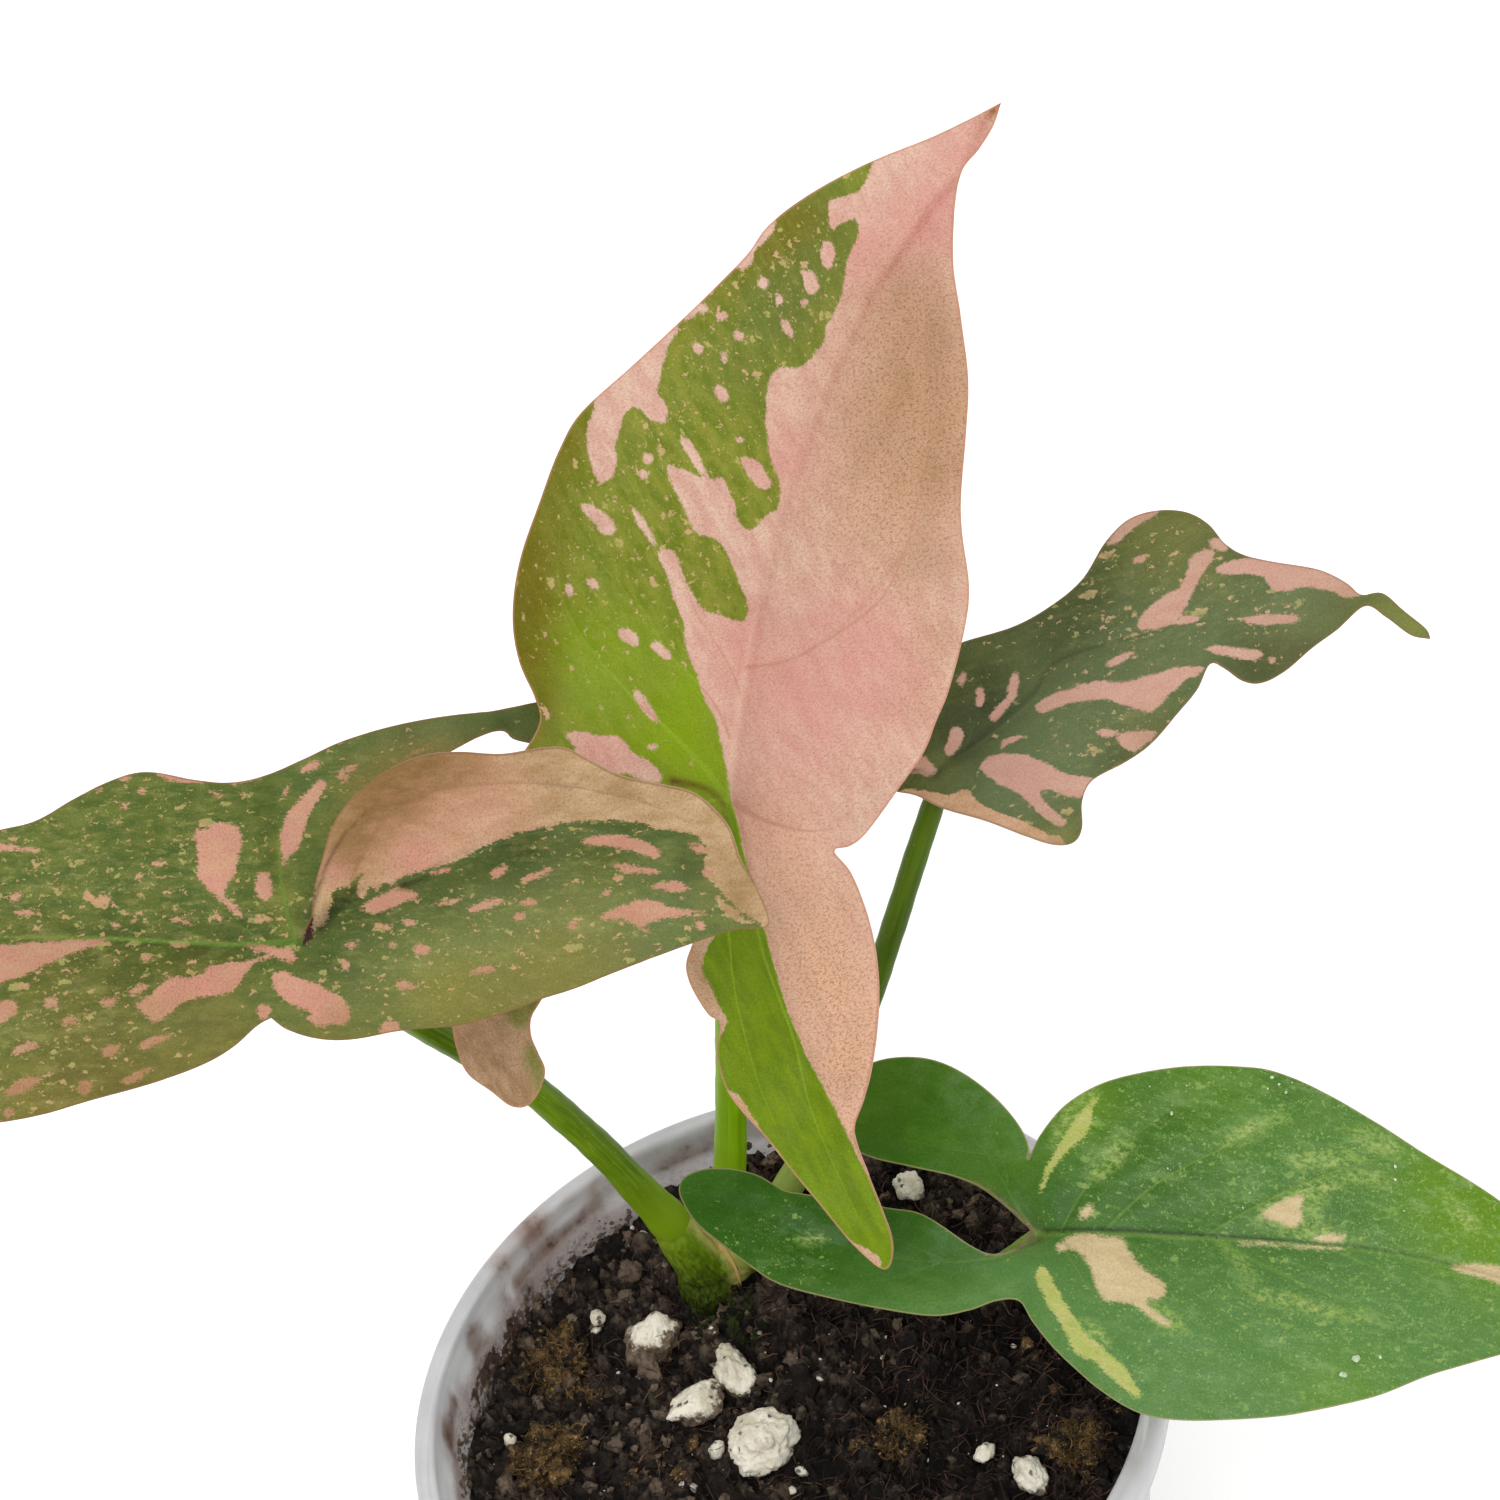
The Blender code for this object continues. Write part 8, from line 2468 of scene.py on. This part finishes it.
GRAINS = [(655, 1341, 6.3, 5.2, 4.6, 0.3), (736, 1375, 3.8, 6.2, 4.0, 0.2),
          (700, 1405, 6.0, 4.0, 3.6, 0.5), (762, 1448, 7.4, 6.6, 5.4, 0.1),
          (911, 1189, 3.0, 3.6, 3.2, 0.4), (1032, 1478, 3.4, 4.4, 3.6, 0.2),
          (618, 1218, 2.8, 2.6, 2.2, 0.0), (985, 1454, 2.4, 1.8, 1.8, 0.6)]
HALF_SUNK = on_soil(618, 1218)[:2]
LUMPS = [(532, 1362, 6.0, 7.6, 4.6, 0.2), (548, 1462, 7.0, 6.0, 4.8, 0.5),
         (1075, 1448, 5.4, 5.0, 3.6, 0.1), (900, 1440, 5.6, 4.6, 3.4, 0.8)]


def grain_place(row):
    x, y, w, dep, hgt, turn = row
    p = on_soil(x, y) + np.array([0.0, 0.0, 0.12 * hgt])
    reach = wall_radius(SOIL_LEVEL - 4) - WALL - 3 * GAP - 1.1 * max(w, dep) / 2
    out = math.hypot(p[0], p[1])
    if out > reach:
        p = np.array([p[0] * reach / out, p[1] * reach / out, p[2]])
    return p


def perlite_pieces(mat):
    for i, row in enumerate(GRAINS):
        x, y, w, dep, hgt, turn = row
        p = grain_place(row)
        c, s = math.cos(turn), math.sin(turn)
        spin_z = np.array([[c, -s, 0], [s, c, 0], [0, 0, 1]])
        big = max(w, dep) > 3.5
        v, f = rough_lump(5 if big else 4, (1, 1, 1), 60 + i, np.eye(3), 0.34, 0.08,
                          1.9 if big else 1.5)
        # Rounded bubbles with small dark pits.
        k = np.ones(len(v))
        hollow = np.zeros(len(v))
        for j, q in enumerate(v):
            t = Vector(q) * (2.4 if big else 1.8) + Vector((i * 3.1, 2.0, i * 1.7))
            d = noise.voronoi(t)[0]
            e = noise.voronoi(Vector(q) * 4.6 + Vector((1.0, i * 2.3, 4.0)))[0]
            k[j] += 0.05 * min(0.5, d[1] - d[0]) - 0.35 * max(0.0, 0.24 - e[0])
            hollow[j] = smoothstep(0.30, 0.12, e[0]) * (
                0.3 + 0.9 * max(0.0, noise.noise(Vector(q) * 1.4 + Vector((i, 3, 1)))))
            k[j] += 0.035 * noise.noise(Vector(q) * 9.0) + 0.02 * noise.noise(
                Vector(q) * 19.0)
        v = (v * k[:, None]) * np.array([w / 2, dep / 2, hgt / 2]) * 1.04
        v = v @ spin_z.T
        if i == 6:
            p = p + np.array([0.0, 0.0, 0.5])
        obj = new_piece(f"visual_perlite_{i + 1}", v + p, [tuple(t) for t in f])
        dirty = (0.80, 0.62, 0.66, 0.16, 0.35, 0.4, 0.35, 0.3)[i]
        low = np.clip((0.0 - v[:, 2] / (hgt / 2)) * 0.7 + dirty, 0, 1)
        store(obj.data, "low", low)
        store(obj.data, "hollow", hollow * (0.6 if i == 3 else 1.0))
        obj.data.materials.append(mat)
        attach(obj, "root")
        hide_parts(f"perlite_{i + 1}")
    rng = np.random.default_rng(5)
    heap = Heap()
    known = [(514, 1357, 0.85), (600, 1323, 1.0), (514, 1450, 0.9), (714, 1335, 0.6),
             (718, 1451, 1.3), (757, 1322, 0.45), (790, 1488, 0.6), (1060, 1462, 0.6),
             (820, 1380, 0.5), (518, 1462, 0.5), (690, 1478, 0.7), (680, 1484, 0.55),
             (800, 1466, 0.8), (523, 1478, 0.8), (630, 1470, 0.45), (596, 1331, 0.7),
             (1012, 1340, 0.4), (880, 1350, 0.35), (590, 1200, 0.9), (640, 1205, 0.8)]
    limit = wall_radius(SOIL_LEVEL) - WALL - 1.2
    shapes = [rough_lump(2, (1, 1, 1), 80 + i, np.eye(3), 0.4, 0.2, 1.6)
              for i in range(12)]
    for k in range(250):
        if k < len(known):
            x, y, size = known[k]
            p = on_soil(x, y)
            px, py = p[0], p[1]
        else:
            r, t = limit * math.sqrt(rng.random()), rng.random() * 2 * math.pi
            px, py = r * math.cos(t), r * math.sin(t)
            size = 0.07 + 0.22 * rng.random() ** 3
        if math.hypot(px, py) > limit or not room(px, py, [STEM_SPOT], 3.2):
            continue
        v, f = shapes[rng.integers(len(shapes))]
        v = (v * np.array([1, 0.7 + 0.3 * rng.random(), 0.6]) * size) @ spin(rng).T
        z = min(65.4, soil_top(px, py) + 0.35 * size + 0.1)
        heap.add(v + np.array([px, py, z]), f, 0.0)
    specks = heap.piece("perlite_specks", mat, "perlite")
    store(specks.data, "low", np.full(len(specks.data.vertices), 0.12))
    store(specks.data, "hollow", np.zeros(len(specks.data.vertices)))


def coir_pieces(mat, mat_fibre):
    rng = np.random.default_rng(17)
    heap = Heap()
    for i, row in enumerate(LUMPS):
        x, y, w, dep, hgt, turn = row
        p = grain_place(row)
        c, s = math.cos(turn), math.sin(turn)
        spin_z = np.array([[c, -s, 0], [s, c, 0], [0, 0, 1]])
        v, f = rough_lump(5, (w / 2, dep / 2, hgt / 2), 90 + i, spin_z, 0.66, 0.55, 2.3)
        obj = new_piece(f"visual_coir_{i + 1}", v + p, [tuple(t) for t in f])
        store(obj.data, "shade", np.full(len(v), 0.7 if i < 2 else 0.45))
        obj.data.materials.append(mat)
        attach(obj, "root")
        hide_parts(f"coir_{i + 1}")
        semi = np.array([w / 2, dep / 2, hgt / 2])
        for _ in range(240 if i < 2 else 150):
            d = unit(rng.normal(size=3) * np.array([1, 1, 0.8]))
            if d[2] < -0.25:
                d[2] *= -1
            at = spin_z @ (d * semi * 0.94) + p
            way = unit(np.cross(d, rng.normal(size=3)) + 0.35 * d)
            vv, ff = strand(at, way, rng.uniform(0.9, 2.8), rng.uniform(0.03, 0.07),
                            rng, lambda u, w_: min(65.0, soil_top(u, w_)) - 0.4, 3, 1.1,
                            0.35)
            vv = np.array(vv)
            if np.hypot(vv[:, 0], vv[:, 1]).max() > 35.6:
                continue
            heap.add(vv, ff, rng.random())
    heap.piece("coir_fibres", mat_fibre, "coir")
    # Broken-off bits round the lumps.
    bits = Heap()
    shapes = [rough_lump(2, (1, 1, 1), 170 + i, np.eye(3), 0.8, 0.5, 2.2)
              for i in range(14)]
    around = [(520, 1345, 30, 26), (535, 1395, 24, 14), (590, 1392, 16, 16),
              (545, 1450, 34, 26), (650, 1470, 36, 20), (1075, 1448, 34, 26),
              (1030, 1370, 34, 12), (900, 1440, 34, 12), (1110, 1400, 20, 10)]
    for x, y, wide, count in around:
        for _ in range(count):
            p = on_soil(x + rng.normal() * wide * 0.5, y + rng.normal() * wide * 0.4)
            size = 0.22 + 0.85 * rng.random() ** 2
            if math.hypot(p[0], p[1]) > 35.0 - size:
                continue
            v, f = shapes[rng.integers(len(shapes))]
            v = (v * size * np.array([1.0, 0.7, 0.7])) @ spin(rng).T
            z = min(64.8, soil_top(p[0], p[1]) + 0.15 * size)
            bits.add(v + np.array([p[0], p[1], z]), f, rng.random())
    bits.piece("coir_bits", mat, "coir")


# -------------------------------------------------------------- stem, petioles
sx, sy = STEM_SPOT
STEM_LINE = [(sx + 0.6, sy - 0.4, 50.0), (sx + 0.3, sy - 0.2, 56.0),
             (sx, sy, 60.5), (sx - 0.1, sy + 0.2, 63.5), (sx, sy + 0.4, 66.5)]
STEM_RADII = [2.0, 2.6, 3.3, 3.7, 2.6]


def petiole_line(name):
    leaf_name, sheath, course = PETIOLES[name]
    leaf = LEAVES[leaf_name]
    at = np.array([leaf["anchor"][:2]], float)
    end = on_leaf(leaf, at, leaf_height(leaf)(at))[0]
    end = end - unit(leaf["normal"]) * 1.0
    pts = [np.r_[spot(x, y, wy), r] for x, y, wy, r in course]
    line = resample(np.array(pts + [np.r_[end, 0.9]]), 1.0)
    along = np.r_[0, np.cumsum(np.linalg.norm(np.diff(line[:, :3], axis=0), axis=1))]
    return line, along, sheath


def pick(line, along, start, stop, step):
    n = max(2, int(round((stop - start) / step)) + 1)
    u = np.linspace(start, stop, n)
    return np.stack([np.interp(u, along, line[:, k]) for k in range(4)], 1)


def stem_piece():
    verts, faces = [], []
    axes = []
    line = resample(STEM_LINE, 0.5)
    rad = np.interp(np.linspace(0, 1, len(line)), np.linspace(0, 1, len(STEM_RADII)),
                    STEM_RADII)
    v, f, _ = tube_mesh(line, rad, 28)
    verts += list(v)
    faces += [tuple(i for i in face) for face in f]
    axes.append((line, 0.0))
    for name in PETIOLES:
        line, along, sheath = petiole_line(name)
        part = pick(line, along, 0.0, sheath + 1.2, 0.4)
        s = np.linspace(0, sheath + 1.2, len(part))
        part[:, 3] += 0.17 - 0.32 * smoothstep(sheath - 2.5, sheath + 1.2, s)
        v, f, _ = tube_mesh(part[:, :3], part[:, 3], 28)
        base = len(verts)
        verts += list(v)
        faces += [tuple(i + base for i in face) for face in f]
        axes.append((part[:, :3], 20.0 + 7 * len(axes)))
    rough = new_piece("stem_rough", verts, faces, True, False)
    mod = rough.modifiers.new("skin", "REMESH")
    mod.mode = "VOXEL"
    mod.voxel_size = 0.24 * MM
    deps = bpy.context.evaluated_depsgraph_get()
    mesh = bpy.data.meshes.new_from_object(rough.evaluated_get(deps))
    bpy.data.objects.remove(rough, do_unlink=True)
    bm = bmesh.new()
    bm.from_mesh(mesh)
    for _ in range(5):
        bmesh.ops.smooth_vert(bm, verts=bm.verts, factor=0.5, use_axis_x=True,
                              use_axis_y=True, use_axis_z=True)
    for vert in bm.verts:
        q = vert.co * 1000.0
        down = max(0.0, (64.0 - q.z) / 6.0)
        vert.co += vert.normal * MM * (
            0.10 * noise.noise(q * 0.8) + min(1.0, down) * 0.22 * noise.noise(q * 1.9))
    bm.to_mesh(mesh)
    bm.free()
    mesh.name = "visual_stem"
    stem = bpy.data.objects.new("visual_stem", mesh)
    bpy.context.collection.objects.link(stem)
    p = np.empty(len(mesh.vertices) * 3)
    mesh.vertices.foreach_get("co", p)
    p = p.reshape(-1, 3) / MM
    best = np.full(len(p), 1e9)
    run = np.zeros((len(p), 3))
    for line, offset in axes:
        s = np.r_[0, np.cumsum(np.linalg.norm(np.diff(line, axis=0), axis=1))]
        d = np.linalg.norm(p[:, None] - line[None], axis=2)
        i = d.argmin(1)
        near = d[np.arange(len(p)), i]
        use = near < best
        rel = p - line[i]
        run[use] = np.c_[rel[:, 0], rel[:, 1], s[i]][use] + np.array([0, 0, offset])
        best = np.where(use, near, best)
    store_vector(mesh, "run", run)
    q = project(p)
    store(mesh, "down", smoothstep(1206, 1332, q[:, 1]))
    seam = resample([(668, 1186), (690, 1213), (712, 1238), (735, 1260), (742, 1290)],
                    4.0)
    d, _ = line_distance(q, seam)
    front = p[:, 1] < STEM_SPOT[1] + 1.5
    store(mesh, "cream", np.where(front, smoothstep(16, 4, d), 0.0))
    mesh.shade_smooth()
    return stem


def petiole_piece(name):
    line, along, sheath = petiole_line(name)
    part = pick(line, along, sheath - 0.8, along[-1], 0.6)
    s = np.linspace(0, along[-1] - sheath + 0.8, len(part))
    r = part[:, 3] * (1 - 0.15 * smoothstep(1.6, 0.0, s))
    # It narrows into the blade and is a little uneven.
    r = r * (1 + 0.015 * np.sin(s * 0.9) + 0.01 * np.sin(s * 2.3 + 1))
    v, f, param = tube_mesh(part[:, :3], r, 26)
    obj = new_piece("visual_" + name, v, f)
    param = np.array(param)
    param[:, 2] += {"petiole_upright": 27.0, "petiole_left": 34.0,
                    "petiole_back_right": 41.0}.get(name, 48.0)
    store_vector(obj.data, "run", param)
    far = np.linalg.norm(np.array(v) - part[0, :3], axis=1)
    store(obj.data, "foot", smoothstep(13.0, 2.0, far))
    return obj


def grit_and_glints_piece(mat):
    """White grains that lie on the low leaf; the first five stand in for glints, as painted
    highlights.
    """
    leaf = LEAVES["leaf_low_right"]
    # The first five places are glints on the leaf, made as small pale grains: painted
    # highlights.
    places = [(1272, 1079, 0.20), (1279, 1086, 0.16), (1286, 1094, 0.18),
              (1292, 1084, 0.12), (1268, 1090, 0.12), (1356, 1360, 0.48),
              (1343, 1376, 0.38), (1380, 1358, 0.20), (1172, 1115, 0.20),
              (1187, 1087, 0.13), (1150, 1088, 0.12), (1250, 1194, 0.14),
              (1243, 1209, 0.12), (1395, 1168, 0.20), (1395, 1181, 0.17),
              (1168, 1170, 0.12), (1404, 1212, 0.12)]
    heap = Heap()
    rng = np.random.default_rng(3)
    for i, (x, y, size) in enumerate(places):
        q = np.array([[x, y]], float)
        p = on_leaf(leaf, q, leaf_height(leaf)(q))[0]
        n = unit(leaf["normal"])
        v, f = rough_lump(3, (size, size * 0.8, size * 0.7), 200 + i, spin(rng), 0.3,
                          0.1, 1.5)
        heap.add(v + p + n * (0.45 + 0.4 * size), f, 0.0)
    grit = heap.piece("grit_and_glints_on_leaf", mat, "perlite")
    store(grit.data, "low", np.full(len(grit.data.vertices), 0.0))
    store(grit.data, "hollow", np.zeros(len(grit.data.vertices)))
    return grit


def flap_piece(stem, mat):
    """Dry skin of an old leaf sheath that lies across the front of the stem."""
    tree = BVHTree.FromPolygons([v.co for v in stem.data.vertices],
                                [tuple(p.vertices) for p in stem.data.polygons])
    line = resample([(688, 1212), (704, 1230), (722, 1248), (735, 1266),
                     (741, 1286)], 4.0)
    rings, verts, faces, run = [], [], [], []
    eye = Vector(EYE * MM)
    share = np.linspace(0, 1, len(line))
    points, normals = [], []
    for x, y in line:
        hit = tree.ray_cast(eye, Vector(unit(sight(np.array(x), np.array(y)))))
        if hit[0] is None:
            continue
        points.append(np.array(hit[0]) / MM)
        normals.append(np.array(hit[1]))
    points, normals = np.array(points), np.array(normals)
    share = np.linspace(0, 1, len(points))
    for k in range(len(points)):
        a, b = max(0, k - 2), min(len(points) - 1, k + 2)
        along = unit(points[b] - points[a])
        n = unit(normals[a:b + 1].mean(0))
        side = unit(np.cross(n, along))
        wide = 0.34 * (1 - 0.75 * abs(2 * share[k] - 0.9) ** 3) + 0.05 * math.sin(k * 1.3)
        ring = []
        for t in np.linspace(0, 2 * math.pi, 12, endpoint=False):
            lift = 0.07 + 0.08 * math.sin(t) + 0.08 * max(0.0, math.cos(t)) ** 2
            ring.append(len(verts))
            verts.append(points[k] + side * wide * math.cos(t) + n * lift)
            run.append((math.cos(t) * wide, lift, 60 + 0.4 * k))
        rings.append(ring)
    for a, b in zip(rings[:-1], rings[1:]):
        faces += [(a[k], a[(k + 1) % 12], b[(k + 1) % 12], b[k]) for k in range(12)]
    faces += [tuple(reversed(rings[0])), tuple(rings[-1])]
    obj = new_piece("sheath_flap", verts, faces)
    store_vector(obj.data, "run", np.array(run))
    obj.data.materials.append(mat)
    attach(obj, "root")
    return obj


def moss_piece(mat):
    """Dark green crumbs of moss at the foot of the stem."""
    rng = np.random.default_rng(41)
    tufts = Heap()
    shapes = [rough_lump(2, (1, 1, 1), 140 + i, np.eye(3), 0.7, 0.5, 2.2)
              for i in range(8)]
    for k in range(150):
        x, y = rng.uniform(690, 764), rng.uniform(1290, 1338)
        p = on_soil(x, y)
        size = 0.18 + 0.4 * rng.random() ** 2
        v, f = shapes[rng.integers(len(shapes))]
        v = (v * size) @ spin(rng).T
        tufts.add(v + np.array([p[0], p[1], soil_top(p[0], p[1]) + 0.2 * size]), f,
                  rng.random())
    return tufts.piece("moss_crumbs", mat, "soil", False)


# ----------------------------------------------------------------------- build
cup = cup_piece()
cup.data.materials.append(cup_material())
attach(cup, "root")
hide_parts("pot")

peat = earth_material("peat", (15, 11, 10), (72, 61, 52), (112, 97, 82), (98, 70, 54),
                      1.0, True, 0.90)
peat_crumb = earth_material("peat_crumb", (20, 15, 13), (92, 76, 64), (140, 121, 103),
                            (106, 74, 56), 1.0, True, 0.86)
soil = soil_piece()
soil.data.materials.append(peat)
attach(soil, "root")
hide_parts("soil")
crumb_pieces(peat_crumb)
strands_piece(fibre_material("fibre", (32, 20, 16), (70, 47, 38), (112, 84, 67)))
chalk = perlite_material()
perlite_pieces(chalk)
grit_and_glints_piece(grit_and_glints_material())
coir_pieces(coir_material(),
            fibre_material("coir_fibre", (58, 40, 20), (106, 78, 40), (156, 124, 74)))
moss_piece(earth_material("moss", (16, 20, 8), (34, 42, 14), (54, 66, 24),
                          (44, 44, 20), 1.0, True, 0.0))

stalks = {
    "petiole_upright": stalk_material("stalk_up", (116, 155, 0), (150, 184, 34),
                                      (92, 132, 0), None, 0.4, 0.35, (124, 156, 14)),
    "petiole_left": stalk_material("stalk_left", (84, 111, 5), (132, 163, 30),
                                   (64, 90, 0), None, 0.4, 0.6, (114, 142, 14)),
    "petiole_back_right": stalk_material("stalk_back", (72, 98, 0), (98, 126, 14),
                                         (52, 74, 0), None, 0.4, 0.35,
                                         (150, 168, 80)),
    "petiole_low_right": stalk_material("stalk_low", (92, 126, 4), (126, 156, 30),
                                        (68, 98, 0), None, 0.4, 0.35, (104, 134, 8))}
stem_green = stalk_material("stem_green", (100, 130, 6), (138, 160, 40),
                            (78, 106, 2), (22, 25, 10))
stem = stem_piece()
stem.data.materials.append(stem_green)
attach(stem, "root")
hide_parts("stem")
flap_piece(stem, skin_material())
for name in PETIOLES:
    piece = petiole_piece(name)
    piece.data.materials.append(stalks[name])
    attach(piece, "root")
    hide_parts(name)
for name in LEAVES:
    piece = leaf_piece(name)
    piece.data.materials.append(leaf_material("blade_" + name, LOOKS[name],
                                              MARKINGS[name]))
    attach(piece, "root")
    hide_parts(name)
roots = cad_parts["roots"]
skin = root_material()
for slot_ in roots.material_slots:
    slot_.material = skin
if not len(roots.material_slots):
    roots.data.materials.append(skin)

# ------------------------------------------------- floor, light, sky and camera
floor_mesh = bpy.data.meshes.new("floor")
floor_mesh.from_pydata([(-6, -6, -0.0006), (6, -6, -0.0006), (6, 6, -0.0006),
                        (-6, 6, -0.0006)], [], [(0, 1, 2, 3)])
floor = bpy.data.objects.new("floor", floor_mesh)
bpy.context.collection.objects.link(floor)
floor.data.materials.append(floor_material())

world = bpy.data.worlds.new("studio")
bpy.context.scene.world = world
world.use_nodes = True
sky = world.node_tree.nodes["Background"]
sky.inputs["Color"].default_value = (1.0, 1.0, 1.0, 1.0)
sky.inputs["Strength"].default_value = 0.95


def area_light(name, place, aim, size, power, colour=(1, 1, 1)):
    lamp = bpy.data.lights.new(name, "AREA")
    lamp.shape = "DISK"
    lamp.size = size
    lamp.energy = power
    lamp.color = colour
    obj = bpy.data.objects.new(name, lamp)
    obj.location = place
    way = Vector(aim) - Vector(place)
    obj.rotation_euler = way.to_track_quat("-Z", "Y").to_euler()
    bpy.context.collection.objects.link(obj)
    return obj


area_light("key", (-0.38, -0.95, 1.45), (0, 0.02, 0.12), 1.0, 12.0)
area_light("fill", (0.9, -0.5, 0.9), (0, 0.02, 0.12), 1.2, 3.0)

right, up = unit(SHEET_RIGHT), None
back = -unit(SHEET_DEPTH)
up = unit(np.cross(back, right))
right = unit(np.cross(up, back))
lens = bpy.data.cameras.new("camera")
lens.sensor_width = 36.0
lens.sensor_fit = "HORIZONTAL"
lens.lens = 36.0 * SHEET_SCALE / 1500.0
lens.clip_start = 0.001
lens.clip_end = 50.0
camera = bpy.data.objects.new("camera", lens)
bpy.context.collection.objects.link(camera)
place = Matrix.Identity(4)
for row in range(3):
    place[row][0], place[row][1] = float(right[row]), float(up[row])
    place[row][2], place[row][3] = float(back[row]), float(EYE[row] * MM)
camera.matrix_world = place
bpy.context.scene.camera = camera
bpy.context.scene.view_settings.view_transform = "Standard"
